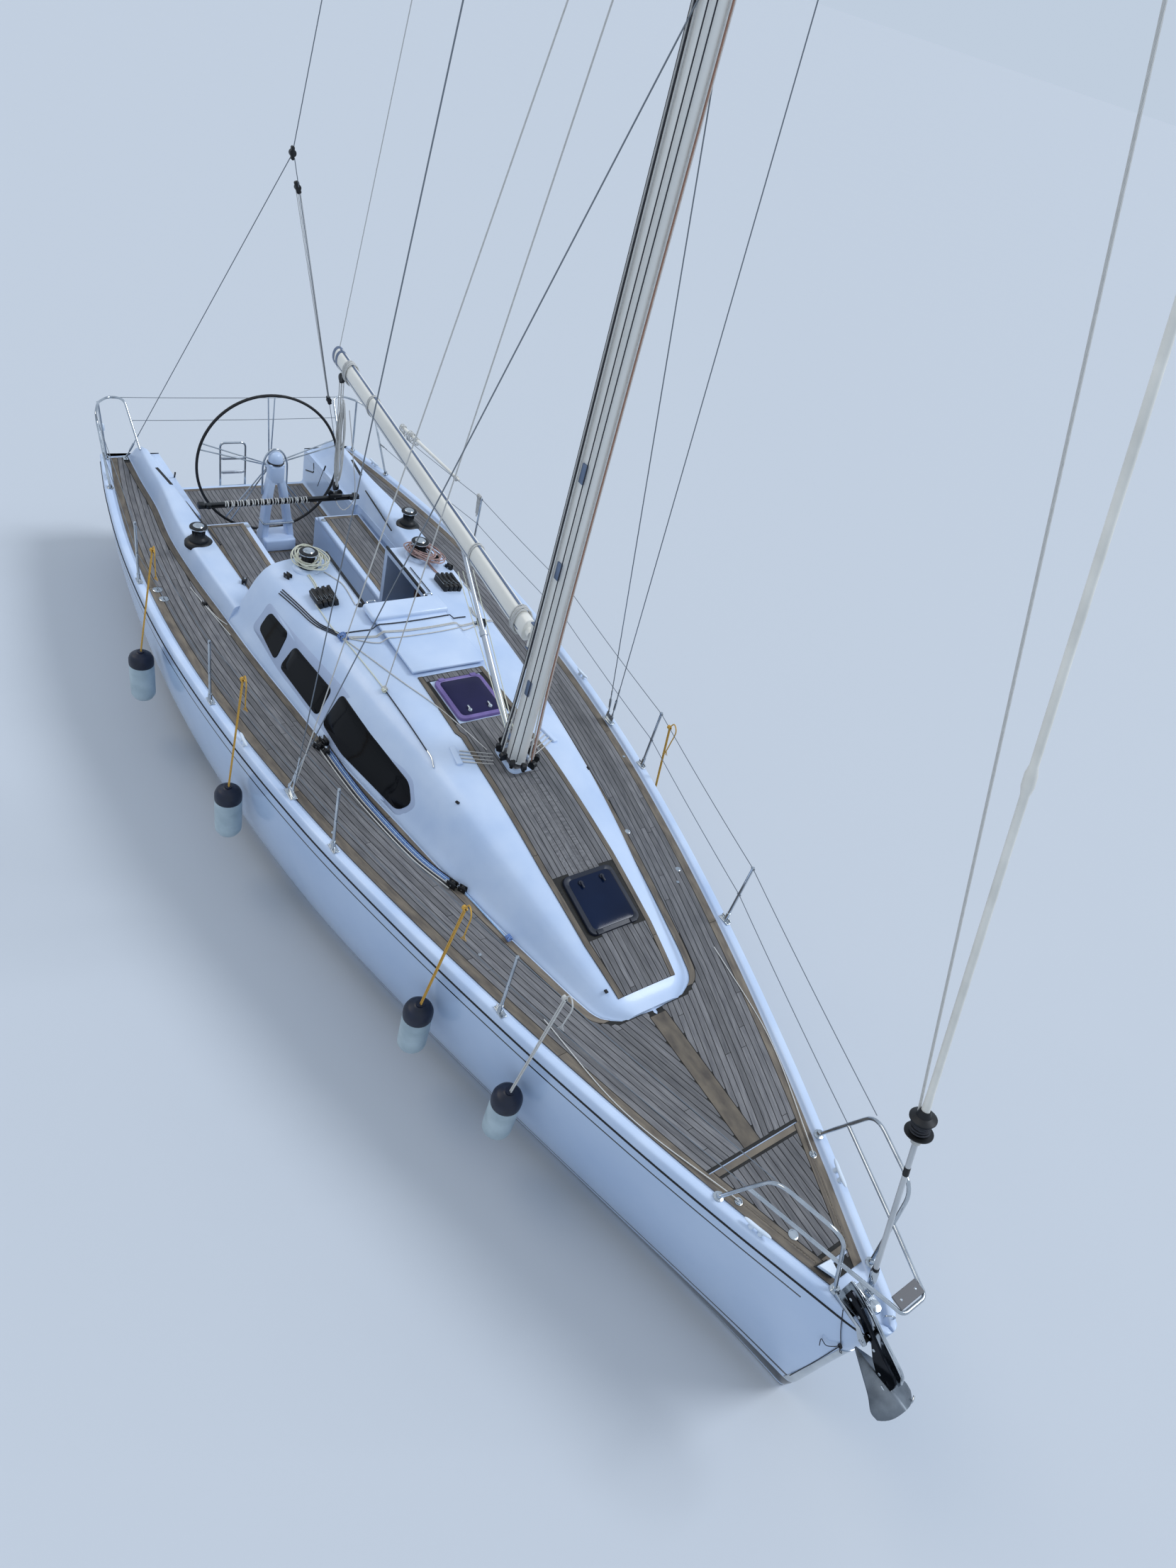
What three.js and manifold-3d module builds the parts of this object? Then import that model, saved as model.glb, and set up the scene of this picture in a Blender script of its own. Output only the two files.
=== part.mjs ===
// A cruising and racing sailing yacht of about 11 m, afloat, in millimetres: +X is the bow, +Y port, +Z up.
// The origin is amidships on the centreline, at the waterline.
import * as THREE from 'three';
import { mergeVertices } from 'three/addons/utils/BufferGeometryUtils.js';
import Module from 'manifold-3d';

const wasm = await Module();
wasm.setup();

// Driving dimensions
const GAP = 0.4;
const DRAFT = 2100;
const MAST_X = 980;
const MAST_FOOT_Z = 1885;
const MASTHEAD_Z = 16300;
const MAST_RAKE = 0.006;
const MAST_LENGTHWISE = 200;
const MAST_ACROSS = 130;
const GOOSENECK = new THREE.Vector3(800, 0, 2930);
const BOOM_LENGTH = 4790;
const BOOM_TO_PORT = THREE.MathUtils.degToRad(6.1);
const STEM_FITTING = new THREE.Vector3(5310, 0, 1440);
const FORESTAY_TOP_Z = 14600;
const WHEEL_X = -4375;
const WHEEL_Z = 1550;
const WHEEL_RADIUS = 797;
const PEDESTAL_X = -4200;
const RUDDER_X = -4700;
const STOCK = { radius: 24, top: 290 };
const LEG = { x: -1600, half: 45, long: 90, shaft: -830 };
const ENGINE = { aft: -1480, fore: -860, half: 230, low: -215, high: 330, bearer: 60 };
const BOW_TACKLE_Y = -151;
const SOLE_Z = 700;
const SEAT_Z = 1150;
const COAMING_TOP_Z = 1400;
const WELL_HALF = 400;
const SEAT_HALF = 920;
const WELL_AFT_X = -4000;
const BULKHEAD_X = -2080;
const RAIL_HEIGHT = 50;
const RAIL_WIDTH = 85;
const DECK_THICK = 45;
const TEAK = 8;
const CAMBER = 45;

// Hull stations, stern to stem. Columns: x, half-breadth at the rail, sheer height, height of the
// underside on the centreline, and where the two inner points of the section's curve lie: flank
// breadth, bilge depth and bottom breadth, as shares of the breadth and depth.
const STATIONS = [
  [-5500, 1480, 1112, 130, 0.98, 0.80, 0.62],
  [-4600, 1640, 1150, -70, 1.0, 0.80, 0.66],
  [-3400, 1785, 1193, -270, 1.0, 0.78, 0.70],
  [-2100, 1838, 1236, -420, 1.0, 0.78, 0.72],
  [-800, 1768, 1272, -490, 1.0, 0.78, 0.72],
  [600, 1574, 1303, -490, 1.0, 0.76, 0.72],
  [1800, 1312, 1325, -430, 0.98, 0.72, 0.72],
  [2900, 1015, 1340, -340, 0.95, 0.66, 0.72],
  [3900, 700, 1349, -230, 0.92, 0.60, 0.72],
  [4600, 452, 1354, -150, 0.90, 0.55, 0.70],
  [5100, 262, 1358, -90, 0.88, 0.50, 0.66],
  [5300, 186, 1360, -55, 0.86, 0.48, 0.64],
  [5390, 150, 1361, -20, 0.85, 0.46, 0.62],
  [5425, 132, 1361, 130, 0.85, 0.46, 0.62],
  [5470, 104, 1361, 800, 0.86, 0.45, 0.65],
  [5510, 62, 1361, 1210, 0.88, 0.45, 0.65],
];

// Coachroof stations, aft to forward. Columns: x, half-breadth at the deck, roof height.
const ROOF_STATIONS = [
  [-2090, 1225, 1872],
  [-1500, 1190, 1880],
  [-700, 1115, 1882],
  [100, 1025, 1880],
  [980, 880, 1850],
  [1500, 790, 1790],
  [2080, 665, 1690],
  [2570, 548, 1585],
  [2900, 462, 1505],
  [3060, 390, 1455],
  [3150, 240, 1400],
];
// Half of a roof section from the deck up: share of the breadth, share of the height.
const ROOF_SECTION = [
  [1.0, -0.3], [1.0, 0.0], [0.94, 0.16], [0.84, 0.52], [0.77, 0.74], [0.68, 0.90], [0.50, 0.975], [0.0, 1.0],
];

const COLOURS = {
  gelcoat: [0xeef2f5, 0.25, 0.0],
  teak: [0x7b6f64, 0.8, 0.0],
  acrylic: [0x101522, 0.12, 0.0],
  steel: [0xc6cbd0, 0.25, 0.9],
  spar: [0xd5d8da, 0.35, 0.8],
  black: [0x15171a, 0.5, 0.2],
  antifoul: [0x1a2233, 0.8, 0.0],
  iron: [0x30343a, 0.8, 0.2],
  bronze: [0xa98f5c, 0.35, 0.9],
  frame: [0x8a63b8, 0.5, 0.0],
  rope: [0xd9d5c8, 0.9, 0.0],
  fender: [0xcfd8dc, 0.5, 0.0],
  engine: [0x9aa3a8, 0.6, 0.3],
};

const yacht = new THREE.Group();
const v3 = (x, y, z) => new THREE.Vector3(x, y, z);

function bare(geometry) {
  const copy = geometry.clone();
  copy.deleteAttribute('normal');
  copy.deleteAttribute('uv');
  return mergeVertices(copy, 1e-3);
}

function solid(geometry) {
  const merged = bare(geometry);
  const mesh = new wasm.Mesh({
    numProp: 3,
    vertProperties: new Float32Array(merged.attributes.position.array),
    triVerts: new Uint32Array(merged.index.array),
  });
  return new wasm.Manifold(mesh);
}

function geometryOf(manifold) {
  const mesh = manifold.getMesh();
  const geometry = new THREE.BufferGeometry();
  geometry.setAttribute('position', new THREE.BufferAttribute(new Float32Array(mesh.vertProperties), 3));
  geometry.setIndex(new THREE.BufferAttribute(new Uint32Array(mesh.triVerts), 1));
  return geometry;
}

function piece(name, shape, colour) {
  const geometry = shape.isBufferGeometry ? bare(shape) : geometryOf(shape);
  const [color, roughness, metalness] = COLOURS[colour];
  const mesh = new THREE.Mesh(geometry, new THREE.MeshStandardMaterial({ color, roughness, metalness }));
  mesh.name = name;
  yacht.add(mesh);
  return mesh;
}

const join = (...parts) => parts.reduce((all, part) => all.add(part));

function blockGeometry(x0, x1, y0, y1, z0, z1) {
  const box = new THREE.BoxGeometry(x1 - x0, y1 - y0, z1 - z0);
  return box.translate((x0 + x1) / 2, (y0 + y1) / 2, (z0 + z1) / 2);
}

const block = (...limits) => solid(blockGeometry(...limits));

function rodGeometry(from, to, radius, sides = 8, endRadius = radius) {
  const span = to.clone().sub(from);
  const rod = new THREE.CylinderGeometry(endRadius, radius, span.length(), sides);
  rod.applyQuaternion(new THREE.Quaternion().setFromUnitVectors(v3(0, 1, 0), span.clone().normalize()));
  const middle = from.clone().add(to).multiplyScalar(0.5);
  return rod.translate(middle.x, middle.y, middle.z);
}

const rod = (...limits) => solid(rodGeometry(...limits));

// A tube of straight runs with a ball at each bend.
function framework(points, radius, sides = 6) {
  let all = rod(points[0], points[1], radius, sides);
  for (let i = 1; i < points.length - 1; i += 1) {
    const ball = new THREE.SphereGeometry(radius, 6, 3).translate(points[i].x, points[i].y, points[i].z);
    all = join(all, solid(ball), rod(points[i], points[i + 1], radius, sides));
  }
  return all;
}

// A closed body through rings of equal point count, each ring ordered the same way round.
function loft(rings) {
  const positions = [];
  const index = [];
  const count = rings[0].length;
  rings.forEach((ring) => ring.forEach((p) => positions.push(p.x, p.y, p.z)));
  for (let i = 0; i < rings.length - 1; i += 1) {
    for (let j = 0; j < count; j += 1) {
      const a = i * count + j;
      const b = i * count + ((j + 1) % count);
      index.push(a, b, a + count, b, b + count, a + count);
    }
  }
  [0, rings.length - 1].forEach((i) => {
    const centre = rings[i].reduce((sum, p) => sum.add(p), v3(0, 0, 0)).divideScalar(count);
    const hub = positions.length / 3;
    positions.push(centre.x, centre.y, centre.z);
    for (let j = 0; j < count; j += 1) {
      const a = i * count + j;
      const b = i * count + ((j + 1) % count);
      index.push(...(i === 0 ? [hub, b, a] : [hub, a, b]));
    }
  });
  const geometry = new THREE.BufferGeometry();
  geometry.setAttribute('position', new THREE.Float32BufferAttribute(positions, 3));
  geometry.setIndex(facingOut(positions, index));
  return geometry;
}

// The triangles turned round if they enclose a negative volume.
function facingOut(positions, index) {
  const corner = (k) => v3(positions[3 * k], positions[3 * k + 1], positions[3 * k + 2]);
  let volume = 0;
  for (let i = 0; i < index.length; i += 3) {
    volume += corner(index[i]).dot(corner(index[i + 1]).cross(corner(index[i + 2])));
  }
  return volume > 0 ? index : index.reverse();
}

// A table's column at x, on cubic pieces whose slope at a row is that of the chord past it.
function column(table, x, col) {
  const last = table.length - 1;
  const at = Math.min(Math.max(x, table[0][0]), table[last][0]);
  const next = table.findIndex((row) => row[0] > at);
  const i = (next < 0 ? last : next) - 1;
  const slope = (k) => {
    const [before, after] = [table[Math.max(k - 1, 0)], table[Math.min(k + 1, last)]];
    return (after[col] - before[col]) / (after[0] - before[0]);
  };
  const span = table[i + 1][0] - table[i][0];
  const t = (at - table[i][0]) / span;
  return (2 * t ** 3 - 3 * t ** 2 + 1) * table[i][col] + (t ** 3 - 2 * t ** 2 + t) * span * slope(i)
    + (3 * t ** 2 - 2 * t ** 3) * table[i + 1][col] + (t ** 3 - t ** 2) * span * slope(i + 1);
}

const halfBeam = (x) => column(STATIONS, x, 1);
const sheer = (x) => column(STATIONS, x, 2);
const keelLine = (x) => column(STATIONS, x, 3);
const deckEdge = (x) => halfBeam(x) - RAIL_WIDTH;

// Height of the deck: at the rail's foot it is the sheer, and it rises to the middle by the camber.
function deckZ(x, y) {
  const across = Math.min(Math.abs(y) / 1800, 1);
  return sheer(x) + CAMBER * (halfBeam(x) / 1800) * (1 - across ** 2);
}

// Half a hull section from the rail down to the keel line.
function hullCurve(x, topZ, inset = 0, lift = 0) {
  const beam = Math.max(halfBeam(x) - inset, 8);
  const low = keelLine(x) + lift;
  const [flank, bilge, bottom] = [4, 5, 6].map((col) => column(STATIONS, x, col));
  const high = sheer(x);
  const curve = new THREE.CubicBezierCurve(
    new THREE.Vector2(beam, high),
    new THREE.Vector2(beam * flank, high - (high - low) * bilge),
    new THREE.Vector2(beam * bottom, low),
    new THREE.Vector2(0, low),
  );
  const points = curve.getPoints(9);
  points.unshift(new THREE.Vector2(beam, topZ));
  return points;
}

function hullRing(x, topZ, inset, lift) {
  const half = hullCurve(x, topZ, inset, lift);
  const port = half.map((p) => v3(x, p.x, p.y));
  const starboard = half.slice(0, -1).reverse().map((p) => v3(x, -p.x, p.y));
  return [...port, ...starboard];
}

const stationXs = STATIONS.map((row) => row[0]);
const fineXs = stationXs.flatMap((x, i) => (i < 10 ? [x, (x + stationXs[i + 1]) / 2] : [x]));

function hullLoft(topOf, inset = 0, lift = 0, from = -Infinity, to = Infinity) {
  const xs = fineXs.filter((x) => x > from && x < to);
  if (from > -Infinity) xs.unshift(from);
  if (to < Infinity) xs.push(to);
  return loft(xs.map((x) => hullRing(x, topOf(x), inset, lift)));
}

// A slab that follows the deck's camber over the whole boat, between two heights above the deck, or
// from far below it or to far above it where a height is null.
const SLAB_YS = [2200, 1500, 1000, 500, 0, -500, -1000, -1500, -2200];
function deckSlab(below, above) {
  return solid(loft([-5900, ...fineXs, 5700].map((x) => {
    const top = SLAB_YS.map((y) => v3(x, y, above === null ? 2600 : deckZ(x, y) + above));
    const low = SLAB_YS.map((y) => v3(x, y, below === null ? -900 : deckZ(x, y) + below)).reverse();
    return [...low, ...top];
  })));
}

// A prism over an outline in plan, given as x, y pairs.
function prism(outline, low = -900, high = 2600) {
  const shape = new THREE.Shape(outline.map(([x, y]) => new THREE.Vector2(x, y)));
  const geometry = new THREE.ExtrudeGeometry(shape, { depth: high - low, bevelEnabled: false });
  return solid(geometry.translate(0, 0, low));
}

function both(outline) {
  return [...outline, ...outline.slice().reverse().map(([x, y]) => [x, -y])];
}

const roofHalf = (x) => column(ROOF_STATIONS, x, 1);
const roofZ = (x) => column(ROOF_STATIONS, x, 2);

function roofRing(x, inset, drop) {
  const breadth = Math.max(roofHalf(x) - inset, 20);
  const deck = deckZ(x, roofHalf(x));
  const height = roofZ(x) - drop - deck;
  const port = ROOF_SECTION.map(([b, h]) => v3(x, b * breadth, deck + h * height));
  const starboard = port.slice(0, -1).reverse().map((p) => v3(p.x, -p.y, p.z));
  return [...port, ...starboard];
}

function roofLoft(inset, drop, from, to) {
  const xs = [];
  ROOF_STATIONS.forEach(([x], i) => {
    xs.push(x);
    if (i < 8) xs.push((x + ROOF_STATIONS[i + 1][0]) / 2);
  });
  const inside = xs.filter((x) => x > from && x < to);
  return loft([from, ...inside, to].map((x) => roofRing(x, inset, drop)));
}

// Hull: one moulding up to the deck joint, hollow under the coachroof, with the cockpit wells sunk in it.
const hullTop = (x) => sheer(x) - DECK_THICK;
const helmWell = block(-5700, WELL_AFT_X, -860, 860, SOLE_Z, 2600);
const mainWell = block(WELL_AFT_X - 1, BULKHEAD_X + 30, -WELL_HALF, WELL_HALF, SOLE_Z, 2600);
const seatRecess = block(WELL_AFT_X - 1, BULKHEAD_X + 30, -SEAT_HALF, SEAT_HALF, SEAT_Z - 60, 2600);
const CABIN_AFT = BULKHEAD_X + 130;
const CABIN_FORE = 2400;
const cabin = solid(hullLoft((x) => sheer(x) + 400, 150, 200, CABIN_AFT, CABIN_FORE));
const stockBore = rod(v3(RUDDER_X, 0, -600), v3(RUDDER_X, 0, STOCK.top + 1), STOCK.radius + 0.7, 16);
const legBore = block(LEG.x - LEG.long - 1, LEG.x + LEG.long + 1, -LEG.half - 1, LEG.half + 1, -700, -200);
const COMPANION = { fore: -1150, half: 300, sill: 1000 };
const doorway = block(BULKHEAD_X, CABIN_AFT + 70, -COMPANION.half, COMPANION.half, COMPANION.sill, 2600);
const LADDER = { x: -5560, half: 150, tube: 13, hinge: 660, top: 1215 };
const ladderLug = (sign) => {
  const ys = [sign * (LADDER.half + 13 + GAP), sign * (LADDER.half + 28)].sort((a, b) => a - b);
  return block(LADDER.x - 20, -5490, ...ys, LADDER.hinge - 22, LADDER.hinge + 22);
};
// All that lies below, or above, the deck joint shifted by a height.
const jointSlab = (shift, far) => solid(loft([-5800, ...fineXs, 5600].map((x) => {
  const z = hullTop(x) + shift;
  return [v3(x, 2100, z), v3(x, 2100, far), v3(x, -2100, far), v3(x, -2100, z)];
})));
const wholeHull = solid(hullLoft((x) => sheer(x) + RAIL_HEIGHT));
let hull = join(wholeHull.subtract(jointSlab(0, 2600)), ladderLug(-1), ladderLug(1));
hull = hull.subtract(join(helmWell, mainWell, seatRecess)).subtract(cabin).subtract(stockBore).subtract(legBore)
  .subtract(doorway);
piece('hull', hull, 'gelcoat');

// Deck: a cambered plate with the raised rail round it, open over the cockpit and under the coachroof.
const railFootXs = [-5700, ...fineXs.filter((x) => x < 5380), 5440];
const insideRail = (inset) => prism(both(railFootXs.map((x) => [x, Math.max(deckEdge(x) - inset, 6)])));
const overDeck = deckSlab(0, null).intersect(insideRail(0));
const roofHoleXs = [-1900, -1400, -700, 100, 980, 1500, 2080, 2300];
const roofHole = prism(both(roofHoleXs.map((x) => [x, roofHalf(x) - 120])));
const sternGap = block(-5700, WELL_AFT_X, -860, 860, -900, 2600);
const deck = wholeHull.subtract(jointSlab(GAP, -900)).subtract(overDeck).subtract(roofHole).subtract(sternGap)
  .subtract(block(WELL_AFT_X - 10, BULKHEAD_X + 30, -SEAT_HALF, SEAT_HALF, -900, 2600)).subtract(doorway);
// Mooring cleats on the rail, two horns on two feet. Columns: x, distance in from the hull's side,
// degrees turned in towards the bow, length.
const CLEATS = [[4700, 50, 21, 190], [-350, 42, -2, 170], [-4950, 45, -6, 210]];
const CLEAT_RISE = 36;
function cleat([x, inset, turn, long], sign) {
  const centre = v3(x, sign * (halfBeam(x) - inset), deckTop(x) + CLEAT_RISE);
  const aim = v3(1, 0, 0).applyAxisAngle(v3(0, 0, 1), THREE.MathUtils.degToRad(-sign * turn));
  const at = (share) => centre.clone().addScaledVector(aim, share * long);
  const foot = (share) => rod(at(share).setZ(deckTop(x) - 10), at(share), 13, 8);
  return join(rod(at(-0.5), at(0.5), 13, 8), foot(-0.18), foot(0.18));
}
const cleats = CLEATS.flatMap((row) => [cleat(row, -1), cleat(row, 1)]);
piece('deck', join(deck, ...cleats), 'gelcoat');

// Coachroof: a shell with three windows in each side, the hatch and companionway openings, and the
// collar under the mast.
const deckAndBelow = deckSlab(null, 2 * GAP);
const roofOuter = solid(roofLoft(0, 0, BULKHEAD_X - 10, 3150));
const roofInner = solid(roofLoft(60, 45, BULKHEAD_X + 50, 2450));
const WINDOWS = [
  // name, then corners in side view, x and z
  ['aft', [[-1650, 1450], [-1640, 1620], [-1275, 1632], [-1235, 1395]]],
  ['middle', [[-1145, 1395], [-1120, 1612], [-455, 1630], [-435, 1390]]],
  ['fore', [[-345, 1450], [-340, 1675], [740, 1615], [870, 1510], [800, 1395], [30, 1365]]],
];
function windowPrism(corners, grow, from, to) {
  const middle = corners.reduce(([a, b], [x, z]) => [a + x / corners.length, b + z / corners.length], [0, 0]);
  const shape = new THREE.Shape(corners.map(([x, z]) => {
    const away = new THREE.Vector2(x - middle[0], z - middle[1]);
    away.setLength(away.length() + grow);
    return new THREE.Vector2(middle[0] + away.x, middle[1] + away.y);
  }));
  const geometry = new THREE.ExtrudeGeometry(shape, { depth: to - from, bevelEnabled: false });
  return solid(geometry.rotateX(Math.PI / 2).translate(0, to, 0));
}
const HATCH_FORE = { x0: 2085, x1: 2570, half: 225 };
const HATCH_MID = { x0: -40, x1: 470, half: 225 };
const SLIDE = { aft: -1140, fore: -170, half: 345, z: 1898, runner: 27 };
let roofShell = roofOuter.subtract(roofInner).subtract(deckAndBelow);
WINDOWS.forEach(([, corners]) => {
  const cutters = join(windowPrism(corners, 0, 300, 1500), windowPrism(corners, 0, -1500, -300));
  roofShell = roofShell.subtract(cutters);
});
const companionHole = block(
  BULKHEAD_X - 200, COMPANION.fore, -COMPANION.half, COMPANION.half, COMPANION.sill, 2600,
);
[HATCH_FORE, HATCH_MID].forEach(({ x0, x1, half }) => {
  roofShell = roofShell.subtract(block(x0 + 30, x1 - 30, -half + 30, half - 30, 1450, 2600));
});
roofShell = roofShell.subtract(companionHole);
const roofAbove = (lift) => solid(roofLoft(0, 0, BULKHEAD_X - 10, 3150).translate(0, 0, lift));
const teakRecess = prism(both([
  [-140, 310], [570, 325], [630, 300], [980, 318], [2000, 320], [2600, 300], [3040, 255],
]));
const collar = block(MAST_X - 175, MAST_X + 150, -120, 120, 1790, MAST_FOOT_Z - GAP);

// Window panes, each as thick as the coachroof's side and a hair smaller than its opening.
const roofSkin = roofOuter.subtract(solid(roofLoft(30, 25, BULKHEAD_X + 20, 2450)));
[['stbd', -1], ['port', 1]].forEach(([side, sign]) => {
  WINDOWS.forEach(([name, corners]) => {
    const cutter = sign > 0 ? windowPrism(corners, -2, 300, 1500) : windowPrism(corners, -2, -1500, -300);
    piece(`window_${name}_${side}`, cutter.intersect(roofSkin), 'acrylic');
  });
});

// Teak laid over a surface: a thin layer cut to an outline in plan.
const lowLayer = roofAbove(GAP);
const roofTeakLayer = roofAbove(TEAK).subtract(lowLayer);
const hatchRoom = join(
  block(HATCH_FORE.x0 - 8, HATCH_FORE.x1 + 8, -HATCH_FORE.half - 8, HATCH_FORE.half + 8, 1200, 2600),
  block(HATCH_MID.x0 - 8, HATCH_MID.x1 + 8, -HATCH_MID.half - 8, HATCH_MID.half + 8, 1200, 2600),
);
const collarRoom = block(MAST_X - 190, MAST_X + 170, -150, 150, 1200, 2600);
piece('teak_coachroof', teakRecess.intersect(roofTeakLayer).subtract(hatchRoom).subtract(collarRoom), 'teak');

const deckTeakLayer = deckSlab(GAP, TEAK).intersect(insideRail(12))
  .intersect(block(-5440, 5160, -2000, 2000, 0, 2600));
const houseXs = ROOF_STATIONS.map(([x]) => x);
const houseLine = (x) => (x < BULKHEAD_X ? coamingFoot(x) : roofHalf(x)) + 14;
function coamingFoot(x) {
  const table = [[-5500, 1185], [-4870, 1215], [-4250, 1225], [-3600, 1270], [-2900, 1275], [-2080, 1225]];
  const i = Math.min(table.findIndex((row) => row[0] >= x), table.length - 1);
  if (i <= 0) return table[0][1];
  const t = (x - table[i - 1][0]) / (table[i][0] - table[i - 1][0]);
  return table[i - 1][1] + t * (table[i][1] - table[i - 1][1]);
}
const sideXs = [-5440, -4870, -4250, -3600, -2900, ...houseXs];
const LOCKER = { x0: 4290, x1: 5060, gap: 6 };
const houseSide = sideXs.map((x) => [x, houseLine(x)]);
const houseOutline = prism([...houseSide, [3190, 0], ...houseSide.slice().reverse().map(([x, y]) => [x, -y])]);
const lockerEnd = (x, inset, away) => [x + away, deckEdge(x) - inset + Math.abs(away)];
const lockerPrism = (away) => prism(both([lockerEnd(LOCKER.x0, 64, -away), lockerEnd(LOCKER.x1, 49, away)]));
const lockerRoom = lockerPrism(LOCKER.gap);
const deckTeak = deckTeakLayer.subtract(houseOutline);
piece('teak_deck', deckTeak.subtract(lockerRoom).subtract(block(-5600, 3000, -30, 30, 0, 2600)), 'teak');
piece('anchor_locker_lid', lockerPrism(0).intersect(deckTeakLayer), 'teak');

// Cockpit: coamings, seats as locker lids, sole boards.
function coaming(sign) {
  const xs = [-5480, -5400, -5250, -5000, -4250, -3600, -2900, -2400, -2095];
  const rings = xs.map((x) => {
    const rise = Math.min(Math.max((x + 5490) / 420, 0.05), 1) ** 0.5;
    const low = deckZ(x, 1100) + GAP;
    const top = low + (COAMING_TOP_Z - low) * rise;
    const foot = coamingFoot(x);
    const inner = x < WELL_AFT_X ? 880 : SEAT_HALF + 8;
    return [
      [foot, low - 40], [foot, low + 6], [foot - 45, top - 30], [foot - 85, top],
      [inner + 40, top], [inner, top - 30], [inner, low - 40],
    ].map(([y, z]) => v3(x, sign * y, z));
  });
  return solid(loft(rings)).subtract(deckAndBelow);
}
const WINCHES = [
  ['primary_stbd', -3200, -1130, COAMING_TOP_Z], ['primary_port', -3200, 1130, COAMING_TOP_Z],
  ['roof_stbd', -1900, -560, roofZ(-1900) - 14], ['roof_port', -1900, 560, roofZ(-1900) - 14],
];
const winchPad = ([, x, y, z]) => rod(v3(x, y, z - 20), v3(x, y, z + 30), 95, 20);
const COAMINGS = [join(coaming(-1), winchPad(WINCHES[0])), join(coaming(1), winchPad(WINCHES[1]))];
const runners = [-1, 1].map((sign) => {
  const ys = [sign * SLIDE.half, sign * (SLIDE.half - SLIDE.runner)].sort((a, b) => a - b);
  return block(BULKHEAD_X + 20, SLIDE.fore, ...ys, 1850, SLIDE.z - GAP);
});
// Rope clutches, a row of levers on each side of the sliding hatch, as one block a side.
const CLUTCHES = { aft: -1500, fore: -1260, inner: 520, outer: 715, low: 1828, top: 1925 };
const clutchBlocks = [-1, 1].map((sign) => {
  const ys = [sign * CLUTCHES.inner, sign * CLUTCHES.outer].sort((a, b) => a - b);
  return block(CLUTCHES.aft, CLUTCHES.fore, ...ys, CLUTCHES.low, CLUTCHES.top);
});
const roofFittings = [collar, winchPad(WINCHES[2]), winchPad(WINCHES[3]), ...runners, ...clutchBlocks];
piece('coachroof', join(roofShell, ...roofFittings), 'gelcoat');
piece('coaming_stbd', COAMINGS[0], 'gelcoat');
piece('coaming_port', COAMINGS[1], 'gelcoat');
[['stbd', -1], ['port', 1]].forEach(([side, sign]) => {
  const ys = [sign * (WELL_HALF - 12), sign * (SEAT_HALF - 30)].sort((a, b) => a - b);
  const lid = block(-3925, -2180, ys[0], ys[1], SEAT_Z - 60 + GAP, SEAT_Z);
  piece(`seat_locker_lid_${side}`, lid, 'teak');
});
const soleBoards = join(
  block(WELL_AFT_X - 50, BULKHEAD_X + 20, -WELL_HALF + 15, WELL_HALF - 15, SOLE_Z + GAP, SOLE_Z + 12),
  block(-5440, WELL_AFT_X - 15, -845, 845, SOLE_Z + GAP, SOLE_Z + 12),
);
piece('teak_sole', soleBoards, 'teak');

// Hatches
function hatchLid(name, { x0, x1, half }, colour) {
  const lift = roofZ((x0 + x1) / 2);
  const slope = (roofZ(x1) - roofZ(x0)) / (x1 - x0);
  const lid = blockGeometry(x0, x1, -half, half, -14, 26);
  const middle = (x0 + x1) / 2;
  const turned = lid.translate(-middle, 0, 0).rotateY(-Math.atan(slope)).translate(middle, 0, lift + 3);
  piece(name, solid(turned).subtract(roofAbove(GAP)), colour);
}
hatchLid('hatch_fore_lid', HATCH_FORE, 'acrylic');
hatchLid('hatch_mid_lid', HATCH_MID, 'frame');
const slideLid = join(
  block(SLIDE.aft, SLIDE.fore, -SLIDE.half, SLIDE.half, SLIDE.z, SLIDE.z + 24),
  block(SLIDE.aft, SLIDE.aft + 240, -SLIDE.half - 30, SLIDE.half + 30, SLIDE.z, SLIDE.z + 67),
);
piece('companionway_hatch', slideLid, 'gelcoat');

// Underwater: keel fin with its bulb, rudder, saildrive leg, propeller, and the engine inside.
function foil(rootChord, thick) {
  // An aerofoil outline, nose forward, as shares of the chord: distance aft of the nose, half-thickness.
  const half = [[0, 0], [0.02, 0.35], [0.1, 0.75], [0.3, 1], [0.6, 0.72], [0.85, 0.28], [1, 0.04]];
  const side = half.map(([a, b]) => [-a * rootChord, (b * thick) / 2]);
  return [...side, ...side.slice(1).reverse().map(([x, y]) => [x, -y])];
}
function blade(levels) {
  const rings = levels.map(([z, nose, chord, thick]) => foil(chord, thick).map(([x, y]) => v3(nose + x, y, z)));
  return solid(loft(rings));
}
const KEEL_NOSE = 900;
const fin = blade([
  [-300, KEEL_NOSE, 1500, 190], [-700, KEEL_NOSE - 120, 1300, 180], [-1950, KEEL_NOSE - 330, 950, 150],
]);
const bulbProfile = [
  [0, 1050], [70, 980], [130, 800], [165, 500], [170, 200], [150, -200], [90, -620], [20, -850], [0, -870],
];
const bulb = solid(new THREE.LatheGeometry(bulbProfile.map(([r, y]) => new THREE.Vector2(r, y)).reverse(), 14)
  .rotateZ(-Math.PI / 2).translate(250, 0, -DRAFT + 172));
const hullBelow = solid(hullLoft((x) => sheer(x) + RAIL_HEIGHT, -GAP, -GAP));
piece('keel', join(fin, bulb).subtract(hullBelow), 'iron');

const rudderStock = rod(v3(RUDDER_X, 0, -700), v3(RUDDER_X, 0, STOCK.top), STOCK.radius, 16);
const rudderBlade = blade([
  [-120, RUDDER_X + 120, 470, 90], [-900, RUDDER_X + 110, 430, 80], [-1800, RUDDER_X + 90, 330, 60],
]);
piece('rudder', join(rudderBlade, rudderStock), 'gelcoat');

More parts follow.
